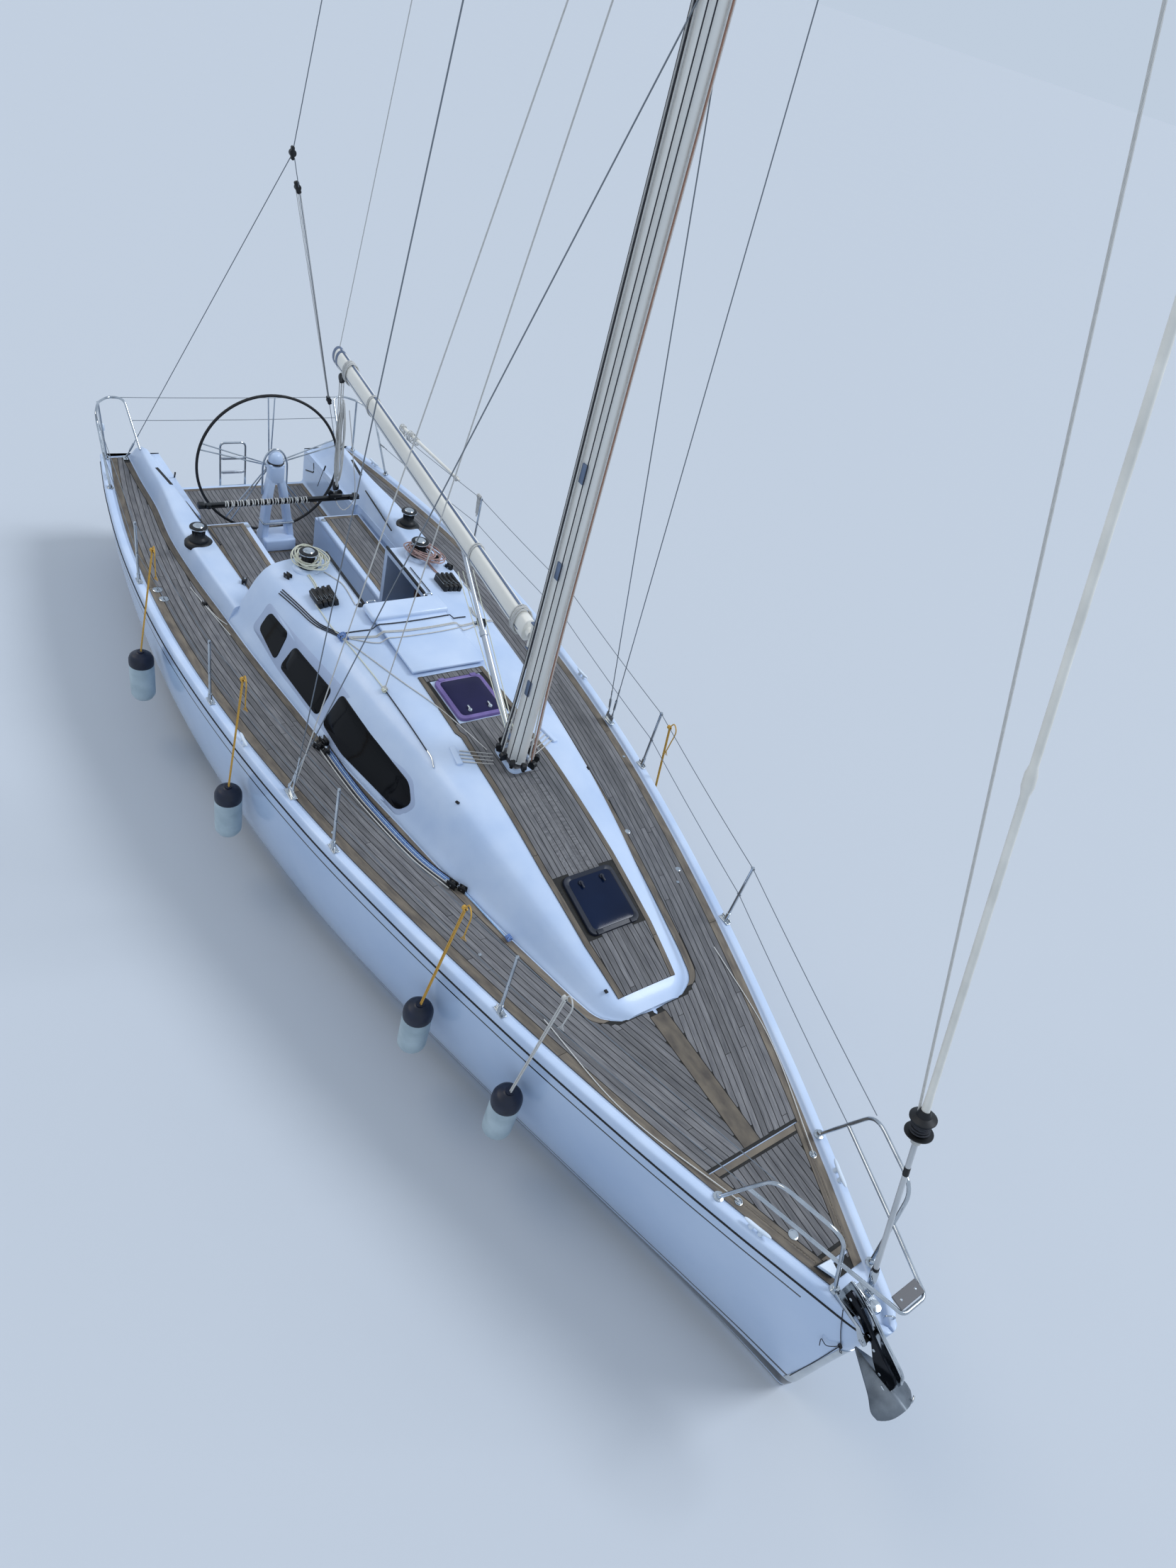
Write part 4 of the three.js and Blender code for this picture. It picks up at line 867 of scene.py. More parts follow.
ROOF_STATIONS = [
    # x, half-breadth at the deck, roof height
    [-2.09, 1.225, 1.872], [-1.5, 1.190, 1.880], [-0.7, 1.115, 1.882], [0.1, 1.025, 1.880],
    [0.98, 0.880, 1.850], [1.5, 0.790, 1.790], [2.08, 0.665, 1.690], [2.57, 0.548, 1.585],
    [2.9, 0.462, 1.505], [3.06, 0.390, 1.455], [3.15, 0.240, 1.400],
]
# Half of a roof section from the deck up: shares of the breadth and of the height.
ROOF_SECTION = np.array([[1.0, -0.3], [1.0, 0.0], [0.94, 0.16], [0.84, 0.52], [0.77, 0.74],
                         [0.68, 0.90], [0.50, 0.975], [0.0, 1.0]])
COAMING_FOOT = [[-5.5, 1.185], [-4.87, 1.215], [-4.25, 1.225], [-3.6, 1.275], [-2.9, 1.27],
                [-2.09, 1.225]]
COAMING_EDGE = [[-5.5, 1.07], [-5.03, 1.062], [-4.27, 1.015], [-3.97, 0.998], [-2.55, 0.94],
                [-2.0, 0.93]]
SOLE_Z, SEAT_Z, COAMING_Z, WELL_HALF, SEAT_HALF = 0.70, 1.15, 1.40, 0.40, 0.92


def roof_half(x: Array) -> Array:
    """Half-breadth of the coachroof where it meets the deck."""
    return table(ROOF_STATIONS, x)[..., 0]


def roof_top(x: Array) -> Array:
    """Height of the coachroof on the centreline."""
    return table(ROOF_STATIONS, x)[..., 1]


def roof_section(x: Array, count: int = 34, inset: float = 0.0, drop: float = 0.0) -> Array:
    """Half sections of the coachroof, foot to ridge, through the shares in the table above.

    Args:
        x: The sections' places.
        count: Points on each.
        inset: How much narrower.
        drop: How much lower.

    Returns:
        Points, one row a section.
    """
    chord = np.r_[0, np.cumsum(np.linalg.norm(np.diff(ROOF_SECTION, axis=0), axis=1))]
    share = hermite(chord, ROOF_SECTION, np.linspace(0, chord[-1], count))
    half = np.maximum(roof_half(x) - inset, 0.02)[:, None]
    deck = FORM.deck_z(x, roof_half(x))[:, None]
    high = roof_top(x)[:, None] - drop
    y, z = share[:, 0] * half, deck + share[:, 1] * (high - deck)
    return np.stack([np.broadcast_to(x[:, None], y.shape), y, z], -1)


def roof_z(x: Array, y: Array) -> Array:
    """Height of the coachroof over a point in plan, read off its section by straight steps."""
    x, y = np.atleast_1d(np.asarray(x, float)), np.abs(np.atleast_1d(np.asarray(y, float)))
    rows = roof_section(x, 60)
    return np.array([np.interp(b, r[::-1, 1], r[::-1, 2]) for r, b in zip(rows, y)])


def roof_side(x: Array, z: Array) -> Array:
    """Half-breadth of the coachroof's side at a height."""
    rows = roof_section(x, 60)
    return np.array([np.interp(h, r[:, 2], r[:, 1]) for r, h in zip(rows, z)])


def house_line(x: Array) -> Array:
    """Half-breadth of whatever stands inboard of the side deck."""
    x = np.asarray(x, float)
    front = np.where(x > ROOF_FORE, 0.0, roof_half(x))
    return np.where(x < ROOF_AFT, table(COAMING_FOOT, x), front)


def on_deck(x: float, y: float, lift: float = 0.0) -> tuple[float, float, float]:
    """A point on the deck."""
    return x, y, float(FORM.deck_z(np.array(x), np.array(y))) + lift


def on_roof(x: float, y: float, lift: float = 0.0) -> tuple[float, float, float]:
    """A point on the coachroof."""
    return x, y, float(roof_z(x, y)[0]) + lift


def on_rail(x: float, sign: int, inset: float = 0.028, lift: float = 0.0) -> tuple[float, float,
                                                                                   float]:
    """A point on top of the rail."""
    return x, sign * (float(FORM.half(np.array(x)))
                      - inset), float(FORM.rail_top(np.array(x))) + lift


def carve(piece: bpy.types.Object, cutters: Sequence[Shape], crease: float) -> None:
    """Cuts closed shapes out of a piece and keeps the result as its plain mesh.

    Args:
        piece: The piece, closed.
        cutters: What is taken out of it.
        crease: Edges sharper than this stay crisp.
    """
    for k, shape in enumerate(cutters):
        cutter = shape.build(f"cutter_{k}", CAULK, HULL, "deck_gelcoat")
        step = piece.modifiers.new("cut", "BOOLEAN")
        step.operation, step.solver, step.object = "DIFFERENCE", "MANIFOLD", cutter
    graph = bpy.context.evaluated_depsgraph_get()
    cut = bpy.data.meshes.new_from_object(piece.evaluated_get(graph), depsgraph=graph)
    used = [step.object for step in piece.modifiers]
    piece.modifiers.clear()
    cut.name = piece.name
    cut.materials.clear()
    cut.materials.append(piece.data.materials[0])
    piece.data = cut
    for cutter in used:
        bpy.data.objects.remove(cutter)
    cut.polygons.foreach_set("use_smooth", np.ones(len(cut.polygons), bool))
    cut.set_sharp_from_angle(angle=math.radians(crease))
    LOG.info("%s: %d faces after cutting", piece.name, len(cut.polygons))


def well(x0: float, x1: float, half: float, low: float, high: float, radius: float = 0.05) -> Shape:
    """A trough to cut out: a rectangle across with rounded lower corners, carried from x0 to x1.

    Args:
        x0: Its after end.
        x1: Its forward end.
        half: Half its width.
        low: Its floor.
        high: Its top.
        radius: Its corners.

    Returns:
        The closed trough.
    """
    ring = np.array([[[0, -half, high], [0, -half, low], [0, half, low], [0, half, high]]], float)
    ring = fillet(ring, radius, 6)
    rings = np.repeat(ring, 2, 0)
    rings[0, :, 0], rings[1, :, 0] = x0, x1
    return Shape().grid(rings, wrap_v=True, caps=True)


@dataclass
class Hull:
    """The hull moulding and the deck moulding with its raised rail."""

    joint: float = 0.045
    stem_round: float = 0.035
    liner_half: float = 0.86

    def stations(self) -> Array:
        """Where sections are taken: closer together at the stem."""
        return np.concatenate([np.linspace(-5.5, 5.05, 120), np.linspace(5.08, 5.505, 26)])

    def nose(self, rows: Array) -> Array:
        """Adds the rounded stem: the last section shrinks as the cosine while it moves on as the
        sine.

        Args:
            rows: The sections, aft to fore.

        Returns:
            The sections with the tip's.
        """
        a = np.linspace(0.25, 1.45, 6)[:, None, None]
        last = rows[-1][None]
        tip = last * np.array([1.0, 0.0, 1.0]) + last * np.array([0.0, 1.0, 0.0]) * np.cos(a)
        tip = tip + np.array([self.stem_round, 0, 0]) * np.sin(a)
        return np.concatenate([rows, tip])

    def skin(self) -> Shape:
        """The hull up to the deck joint, its pattern holding x and the height against the sheer.

        Returns:
            The closed hull.
        """
        x = self.stations()
        rows = FORM.section(x, 44, self.joint)
        ring = self.nose(mirrored_ring(rows))
        uv = np.stack([ring[..., 0], ring[..., 2] - FORM.sheer(np.minimum(ring[..., 0], 5.51))], -1)
        uv = np.concatenate([uv, uv[:, :1]], 1)
        return Shape().grid(ring, wrap_v=True, caps=True, uv=uv)

    def deck(self) -> Shape:
        """Deck and rail: a fixed rail profile on the sheer, then the camber to the centreline.

        Returns:
            The closed deck moulding.
        """
        x = self.stations()
        half, sheer = FORM.half(x)[:, None], FORM.sheer(x)[:, None]
        foot = FORM.deck_z(x, FORM.deck_edge(x))[:, None] - sheer
        zero = np.zeros_like(half)
        corners = np.stack([
            np.stack([zero, zero - self.joint], -1),
            np.stack([zero + 0.004, zero + FORM.rail_height], -1),
            np.stack([zero - FORM.rail_width + 0.018, zero + FORM.rail_height - 0.002], -1),
            np.stack([zero - FORM.rail_width, foot], -1),
            np.stack([zero - FORM.rail_width - 0.09, foot], -1),
        ], 2)[:, 0]
        rail = fillet(corners, 0.03, 5)
        y = half + rail[..., 0]
        z = sheer + rail[..., 1]
        floor = 0.004 + 0.0004 * np.arange(y.shape[1])[::-1]
        y = np.maximum(y, floor)
        inner = y[:, -1:] * np.linspace(1, 0, 14)[None, 1:]
        inner_z = FORM.deck_z(x[:, None], inner)
        y, z = np.concatenate([y, inner], 1), np.concatenate([z, inner_z], 1)
        port = np.stack([np.broadcast_to(x[:, None], y.shape), y, z], -1)
        return Shape().grid(self.nose(mirrored_ring(port)), wrap_v=True, caps=True)

    def build(self) -> None:
        """Builds the hull with its wells, the deck, and the dark joint line below the rail."""
        cabin_x = np.linspace(-1.93, 2.38, 30)
        inner = FORM.section(cabin_x, 24) * np.array([1, 0.9, 1]) + np.array([0, 0, 0.2])
        inner[:, :1, 2] = 2.0
        hull = self.skin().build("hull_moulding", TOPSIDES, HULL, "hull_gelcoat", 35)
        cuts = [well(-5.7, WELL_AFT, self.liner_half, SOLE_Z, 2.6),
                well(WELL_AFT - 0.02, BULKHEAD + 0.03, WELL_HALF, SOLE_Z, 2.6),
                well(WELL_AFT - 0.02, BULKHEAD + 0.03, SEAT_HALF, SEAT_Z - 0.06, 2.6, 0.02),
                Shape().grid(mirrored_ring(inner), wrap_v=True, caps=True),
                well(BULKHEAD - 0.2, BULKHEAD + 0.23, DOOR_HALF, DOOR_SILL, 2.6, 0.01)]
        carve(hull, cuts, 35)
        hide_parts("hull")
        deck = self.deck().build("deck_moulding", DECKCOAT, HULL, "deck_gelcoat", 40)
        hole_x = np.linspace(-1.95, 2.3, 20)
        under = np.stack([hole_x, roof_half(hole_x) - 0.12], -1)
        ring = np.vstack([under, under[::-1] * [1, -1]])
        hole = Shape().plate(ring, lambda x, y: x * 0 + 0.5, lambda x, y: x * 0 + 2.4)
        carve(deck, [well(-5.7, WELL_AFT, self.liner_half, 0.6, 2.6, 0.01),
                     well(WELL_AFT - 0.02, BULKHEAD + 0.03, SEAT_HALF, 0.6, 2.6, 0.01), hole,
                     well(BULKHEAD - 0.2, BULKHEAD + 0.23, DOOR_HALF, 0.6, 2.6, 0.01)], 40)
        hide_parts("deck")
        self.joint_line()

    def joint_line(self) -> None:
        """A flattened black moulding along the deck joint, on both sides."""
        x = np.linspace(-5.49, 5.49, 150)
        lines = Shape()
        for sign in SIDES.values():
            path = np.stack([x, sign * (FORM.half(x) + 0.001), FORM.sheer(x) - self.joint], -1)
            lines.tube(path, 0.007, 6, flat=1.4)
        lines.build("deck_joint_line", RUBBER, HULL, "black_alloy")


@dataclass(frozen=True)
class Striped(Finish):
    """Gelcoat with painted bands: on the height against the sheer, or on the height above the
    water."""

    # Each band: whether it follows the sheer, its middle, half its width, its colour.
    bands: tuple[tuple[bool, float, float, str], ...] = ()
    cove_end: float = 5.11

    def colour(self, tree: bpy.types.NodeTree) -> bpy.types.NodeSocket:
        """The base colour with each band painted over it.

        Args:
            tree: The material's nodes.

        Returns:
            The colour.
        """
        now = super().colour(tree)
        source = add_node(tree, "ShaderNodeTexCoord")
        water = add_node(tree, "ShaderNodeSeparateXYZ",
                         {"Vector": source.outputs["Object"]}).outputs["Z"]
        sheer = add_node(tree, "ShaderNodeSeparateXYZ",
                         {"Vector": source.outputs["UV"]}).outputs["Y"]
        along = add_node(tree, "ShaderNodeSeparateXYZ",
                         {"Vector": source.outputs["Object"]}).outputs["X"]
        short = add_node(tree, "ShaderNodeMath", {0: along, 1: self.cove_end},
                         operation="LESS_THAN").outputs[0]
        for follows, middle, half, paint in self.bands:
            inside = add_node(tree, "ShaderNodeMath", {
                0: sheer if follows else water, 1: middle, 2: half}, operation="COMPARE").outputs[0]
            if follows:
                inside = add_node(tree, "ShaderNodeMath", {0: inside, 1: short},
                                  operation="MULTIPLY").outputs[0]
            now = add_node(tree, "ShaderNodeMix", {
                "Factor": inside, 6: now, 7: linear(paint)}, data_type="RGBA").outputs[2]
        return now


# White hull gelcoat tinted pale blue: the tint is painted sky shade; the bands are real paint.
TOPSIDES = Striped("gelcoat_topsides", "#c2d3eb", "#afc4e2", 0.2, coat=0.4, scale=0.8, bump=0.02,
                   bump_scale=50, bands=(
                       (True, -0.155, 0.008, "#1b1d24"), (False, -1.0, 1.008, "#141c30"),
                       (False, 0.115, 0.065, "#0f1118"), (False, 0.248, 0.013, "#0f1118")))


@dataclass
class Teak:
    """Laid teak: black caulk below, planks on it, browner margin boards round them."""

    pitch: float = 0.050
    seam: float = 0.006
    lift: float = TEAK_TOP
    bed: float = 0.0062
    margin: float = 0.075
    king_aft: float = 3.19
    king_half: float = 0.075
    seed: int = 7
    planks: Shape = field(default_factory=Shape)
    margins: Shape = field(default_factory=Shape)

    def __post_init__(self) -> None:
        """Starts the planks' random draws."""
        self.random = np.random.default_rng(self.seed)

    def strip(self, x: Array, y0: Array, y1: Array, surface: Callable, into: Shape) -> None:
        """One board: four corners across (down, up, up, down) carried along x between y0 and y1.

        Args:
            x: Places along the board.
            y0: One edge.
            y1: The other edge.
            surface: Height under the board at x, y.
            into: The shape that takes it.
        """
        wide = np.abs(y1 - y0)
        fine = wide > 0.004
        if fine.sum() < 2:
            return
        first, last = np.argmax(fine), len(fine) - np.argmax(fine[::-1])
        x, y0, y1 = x[first:last], y0[first:last], y1[first:last]
        y = np.stack([y0, y0, y1, y1], 1)
        lift = np.array([self.bed - 0.004, self.lift, self.lift, self.bed - 0.004])
        z = surface(np.repeat(x[:, None], 4, 1), y) + lift
        points = np.stack([np.repeat(x[:, None], 4, 1), y, z], -1)
        start = self.random.uniform(0, 40)
        across = np.linspace(0, 0.05, 5) + self.random.uniform(0, 9)
        uv = np.stack(np.meshgrid(x + start, across, indexing="ij"), -1)
        into.grid(points, wrap_v=True, caps=True, uv=uv, tone=self.random.uniform(0.1, 0.9))

    def boards(self, x: Array, y0: Array, y1: Array, surface: Callable,
               margin: Shape | None = None) -> None:
        """Cuts a run of board into lengths of two to three metres, with a seam between.

        Args:
            x: Places along the run.
            y0: One edge.
            y1: The other edge.
            surface: Height under it at x, y.
            margin: Takes it in place of the planks.
        """
        into = self.planks if margin is None else margin
        if len(x) < 4:
            return
        cuts = [x[0]]
        while cuts[-1] < x[-1]:
            cuts.append(cuts[-1] + self.random.uniform(1.8, 3.2))
        for a, b in zip(cuts[:-1], cuts[1:]):
            ends = np.clip([a, b - self.seam * 0.6], x[0], x[-1])
            if ends[1] - ends[0] > 0.02:
                at = np.unique(np.r_[ends, ends.mean(), x[(x > ends[0]) & (x < ends[1])]])
                self.strip(at, np.interp(at, x, y0), np.interp(at, x, y1), surface, into)

    def side_decks(self) -> None:
        """Planks sprung along the rail, cut off by the house inboard and by the king plank
        forward."""
        x = np.linspace(-5.44, 5.16, 520)
        edge, house = FORM.deck_edge(x) - 0.014, house_line(x) + 0.016
        inner = np.where(x > self.king_aft, 0.0, house)
        nib = np.where(x > self.king_aft, self.king_half, 0.0)
        locker = (x > LOCKER_AFT) & (x < LOCKER_FORE)
        for sign in SIDES.values():
            self.boards(x, sign * (edge - self.margin + self.seam), sign * edge, FORM.deck_z,
                        self.margins)
            low = inner + nib
            keep = (x < 3.1) & (x > -5.3)
            self.boards(x[keep], sign * low[keep], sign * (low + 0.055)[keep], FORM.deck_z,
                        self.margins)
            low = low + np.where(x < ROOF_FORE, 0.061, 0.0)
            for k in range(40):
                outer = edge - self.margin - k * self.pitch
                y0 = np.maximum(outer - self.pitch + self.seam, low)
                y1 = np.where(outer - y0 < 0.006, y0, outer)
                if ((y1 - y0)[~locker] > 0.012).sum() > 3:
                    for part in (x < 4.28, x > 5.07):
                        self.boards(x[part], sign * y0[part], sign * y1[part], FORM.deck_z)
        fore = (x > self.king_aft) & (x < 4.28)
        self.boards(x[fore], 0 * x[fore] - 0.069, 0 * x[fore] + 0.069, FORM.deck_z, self.margins)
        bed = Shape()
        for sign in SIDES.values():
            base = FORM.deck_z(x[:, None], np.stack([inner, inner, edge, edge], 1))
            points = np.stack([np.repeat(x[:, None], 4, 1),
                               sign * np.stack([inner, inner, edge, edge], 1),
                               base + np.array([0.0, self.bed, self.bed, 0.0])], -1)
            for part in (x < 4.285, x > 5.065):
                bed.grid(points[part], wrap_v=True, caps=True)
        bed.build("deck_caulk", CAULK, HULL, "teak", 20)
        planks = self.planks.build("deck_planks", TEAK, HULL, "teak", 20)
        self.margins.build("deck_margin_boards", MARGIN, HULL, "teak", 20)
        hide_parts("teak_deck")

    def locker(self) -> None:
        """The anchor locker's lid: planks as on the deck, with a frame of margin boards."""
        x = np.linspace(LOCKER_AFT, LOCKER_FORE, 40)
        edge = FORM.deck_edge(x) - 0.062
        bed = Shape()
        base = FORM.deck_z(x[:, None], np.stack([-edge, -edge, edge, edge], 1))
        points = np.stack([np.repeat(x[:, None], 4, 1), np.stack([-edge, -edge, edge, edge], 1),
                           base + np.array([0.0004, self.bed, self.bed, 0.0004])], -1)
        bed.grid(points, wrap_v=True, caps=True)
        planks, margins = Shape(), Shape()
        inside = (x > 4.335) & (x < 5.02)
        for sign in SIDES.values():
            self.strip(x, sign * (edge - 0.05), sign * edge, FORM.deck_z, margins)
            for k in range(9):
                y0 = 0.003 + k * self.pitch + 0 * x
                y1 = np.maximum(np.minimum(y0 + self.pitch - self.seam, edge - 0.056), y0)
                self.strip(x[inside], sign * y0[inside], sign * y1[inside], FORM.deck_z, planks)
        for a, b in ((4.292, 4.33), (5.025, 5.058)):
            ends = np.linspace(a, b, 4)
            width = FORM.deck_edge(ends) - 0.062 - 0.056
            self.strip(ends, -width, width, FORM.deck_z, margins)
        bed.build("locker_lid_caulk", CAULK, "anchor_lid_body", "teak", 20)
        lid = planks.build("locker_lid_planks", TEAK, "anchor_lid_body", "teak", 20)
        margins.build("locker_lid_margins", MARGIN, "anchor_lid_body", "teak", 20)
        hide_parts("anchor_locker_lid")

    def panel(self, name: str, body: str, x: tuple[float, float], y: tuple[float, float], z: float,
              replaced: Sequence[str] = ()) -> None:
        """A flat laid panel of planks along x with a margin board all round, on a caulk bed.

        Args:
            name: Name of the panel's pieces.
            body: The body that they move with.
            x: From and to.
            y: From and to.
            z: Height of the bed's underside.
            replaced: CAD nodes that the planks stand for.
        """
        self.planks, self.margins = Shape(), Shape()
        ground = lambda a, b: a * 0 + z
        frame = 0.045
        ends = np.linspace(x[0], x[1], 30)
        for a in (y[0], y[1] - frame):
            self.strip(ends, a + 0 * ends, a + frame + 0 * ends, ground, self.margins)
        for a in (x[0], x[1] - frame):
            cross = np.linspace(a, a + frame, 4)
            self.strip(cross, y[0] + frame + 0.005 + 0 * cross, y[1] - frame - 0.005 + 0 * cross,
                       ground, self.margins)
        run = np.linspace(x[0] + frame + 0.005, x[1] - frame - 0.005, 40)
        low, high = y[0] + frame + self.seam, y[1] - frame - self.seam
        count = max(1, round((high - low) / self.pitch))
        step = (high - low + self.seam) / count
        for k in range(count):
            a = low + k * step
            self.boards(run, a + 0 * run, a + step - self.seam + 0 * run, ground)
        middle = ((x[0] + x[1]) / 2, (y[0] + y[1]) / 2, z + self.bed / 2)
        Shape().box(middle, (x[1] - x[0] - 0.004, y[1] - y[0] - 0.004, self.bed), 0.001).build(
            f"{name}_caulk", CAULK, body, "teak")
        planks = self.planks.build(f"{name}_planks", TEAK, body, "teak", 20)
        self.margins.build(f"{name}_margins", MARGIN, body, "teak", 20)
        if replaced:
            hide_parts(*replaced)


@dataclass
class Coachroof:
    """The coachroof's shell with its windows, their panels and the teak recess."""

    # Corners of the windows in side view, x and z.
    windows: tuple = (
        ("aft", ((-1.65, 1.45), (-1.64, 1.62), (-1.275, 1.632), (-1.235, 1.395))),
        ("middle", ((-1.145, 1.395), (-1.12, 1.612), (-0.455, 1.63), (-0.435, 1.39))),
        ("fore", ((-0.345, 1.392), (-0.34, 1.675), (0.74, 1.615), (0.87, 1.51), (0.80, 1.395),
                  (0.03, 1.365))),
    )
    # The flat panel that the windows sit in; its darker blue-grey colour is painted shade, as in a
    # shallow recess.
    panel: tuple = ((-1.755, 1.40), (-1.735, 1.664), (-1.20, 1.672), (-0.36, 1.712), (0.76, 1.652),
                    (0.925, 1.515), (0.84, 1.366), (0.03, 1.338), (-1.20, 1.366))
    teak_edge: tuple = ((-0.14, 0.31), (0.57, 0.325), (0.63, 0.30), (0.98, 0.318), (2.0, 0.32),
                        (2.6, 0.30), (3.04, 0.255))

    def outline(self, corners: Sequence[Sequence[float]], grow: float = 0.0) -> Array:
        """A window's rounded outline in side view, grown away from its middle.

        Args:
            corners: Its corners, x and z.
            grow: How far it is grown.

        Returns:
            Points round the window.
        """
        ring = np.array([corners], float)
        middle = ring.mean(1, keepdims=True)
        ring = ring + unit(ring - middle) * grow
        return fillet(ring, 0.055, 7, closed=True)[0]

    def pane(self, outline: Array, sign: int, proud: float, thick: float) -> Shape:
        """A pane that follows the side: rings shrink to the middle, each point set out from the
        side.

        Args:
            outline: The pane's edge in side view.
            sign: Which side.
            proud: How far the face stands out of the side.
            thick: How far its back lies in.

        Returns:
            The closed pane.
        """
        middle = outline.mean(0)
        rings = []
        for share, out in ((0.98, -thick), (1.0, -thick), (1.0, proud - 0.003), (0.988, proud),
                           (0.66, proud), (0.33, proud), (0.02, proud)):
            at = middle + (outline - middle) * share
            y = roof_side(at[:, 0], at[:, 1]) + out
            rings.append(np.stack([at[:, 0], sign * y, at[:, 1]], -1))
        return Shape().grid(np.stack(rings), wrap_v=True, caps=True)

    def build(self) -> None:
        """Builds the shell, cuts its openings, and lays panes, panels and teak on it."""
        x = np.concatenate([[-2.09, -2.088, -2.083, -2.074], np.linspace(-2.06, 3.149, 110)])
        shrink = np.concatenate([[0.018, 0.009, 0.003, 0.001], np.zeros(110)])
        rows = np.stack([roof_section(np.array([a]), 34, s, s * 0.7)[0] for a, s in zip(x, shrink)])
        shell = Shape().grid(mirrored_ring(rows), wrap_v=True, caps=True)
        roof = shell.build("coachroof_moulding", DECKCOAT, HULL, "deck_gelcoat", 40)
        inside = roof_section(np.linspace(-2.03, 2.45, 30), 16, 0.06, 0.045)
        cuts = [Shape().grid(mirrored_ring(inside), wrap_v=True, caps=True),
                well(-2.3, -1.15, DOOR_HALF, DOOR_SILL - 0.1, 2.6, 0.02)]
        for x0, x1 in ((2.115, 2.54), (-0.01, 0.44)):
            cuts.append(Shape().box(((x0 + x1) / 2, 0, 2.0), (x1 - x0, 0.39, 1.1), 0.04))
        for _, corners in self.windows:
            ring = self.outline(corners, -0.012)
            for sign in SIDES.values():
                ends = [np.stack([ring[:, 0], np.full(len(ring), sign * y), ring[:, 1]], -1)
                        for y in (0.6, 1.5)]
                cuts.append(Shape().grid(np.stack(ends), wrap_v=True, caps=True))
        carve(roof, cuts, 40)
        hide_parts("coachroof")
        for side, sign in SIDES.items():
            for name, corners in self.windows:
                pane = self.pane(self.outline(corners), sign, 0.009, 0.020)
                glass = pane.build(f"window_{name}_{side}_pane", ACRYLIC, HULL, "dark_acrylic")
                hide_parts(f"window_{name}_{side}")
            # The panel's darker blue-grey finish is painted shade.
            band = self.pane(self.outline(self.panel), sign, 0.0022, 0.004)
            band.build(f"window_panel_{side}", PANEL_PAINTED_SHADE, HULL, "deck_gelcoat", 50)
        self.teak()

    def teak(self) -> None:
        """The recess on the roof: planks along x inside a stepped margin, open round the
        hatches."""
        laid = Teak(seed=11, pitch=0.047)
        ground = lambda a, b: roof_z(a.ravel(), b.ravel()).reshape(a.shape)
        x = np.linspace(-0.135, 3.02, 300)
        edge = np.interp(x, [p[0] for p in self.teak_edge], [p[1] for p in self.teak_edge])
        rooms = ((-0.055, 0.485, 0.24), (2.07, 2.585, 0.24), (0.80, 1.14, 0.14))
        for sign in SIDES.values():
            laid.boards(x, sign * (edge - 0.04), sign * edge, ground, laid.margins)
            for k in range(7):
                y0 = 0.0015 + k * laid.pitch + 0 * x
                y1 = np.maximum(np.minimum(y0 + laid.pitch - laid.seam, edge - 0.046), y0)
                start = -0.135
                for x0, x1, half in rooms + ((3.1, 3.2, 9.0),):
                    blocked = y0[0] < half
                    if not blocked:
                        continue
                    part = (x > start) & (x < x0)
                    laid.boards(x[part], sign * y0[part], sign * y1[part], ground)
                    start = x1
        bed = Shape()
        for sign in SIDES.values():
            start = -0.135
            for x0, x1, half in rooms + ((3.02, 3.2, 9.0),):
                part = (x >= start) & (x <= x0)
                if part.sum() < 2:
                    start = x1
                    continue
                cols = edge[part][:, None] * np.array([0, 0, 0.33, 0.66, 1, 1, 0.5])
                xx = np.repeat(x[part][:, None], 7, 1)
                up = np.array([0, 1, 1, 1, 1, 0, 0]) * laid.bed
                pts = np.stack([xx, sign * cols, ground(xx, cols) + up], -1)
                bed.grid(pts, wrap_v=True, caps=True)
                if x0 < 3:
                    beside = (x > x0 - 0.012) & (x < x1 + 0.012)
                    low = np.full(beside.sum(), half)
                    cols = np.stack([low, low, edge[beside], edge[beside]], 1)
                    xx = np.repeat(x[beside][:, None], 4, 1)
                    pts = np.stack([xx, sign * cols,
                                    ground(xx, cols) + np.array([0, 1, 1, 0]) * laid.bed], -1)
                    bed.grid(pts, wrap_v=True, caps=True)
                start = x1
        bed.build("roof_caulk", CAULK, HULL, "teak", 20)
        planks = laid.planks.build("roof_planks", TEAK, HULL, "teak", 20)
        laid.margins.build("roof_margins", MARGIN, HULL, "teak", 20)
        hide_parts("teak_coachroof")


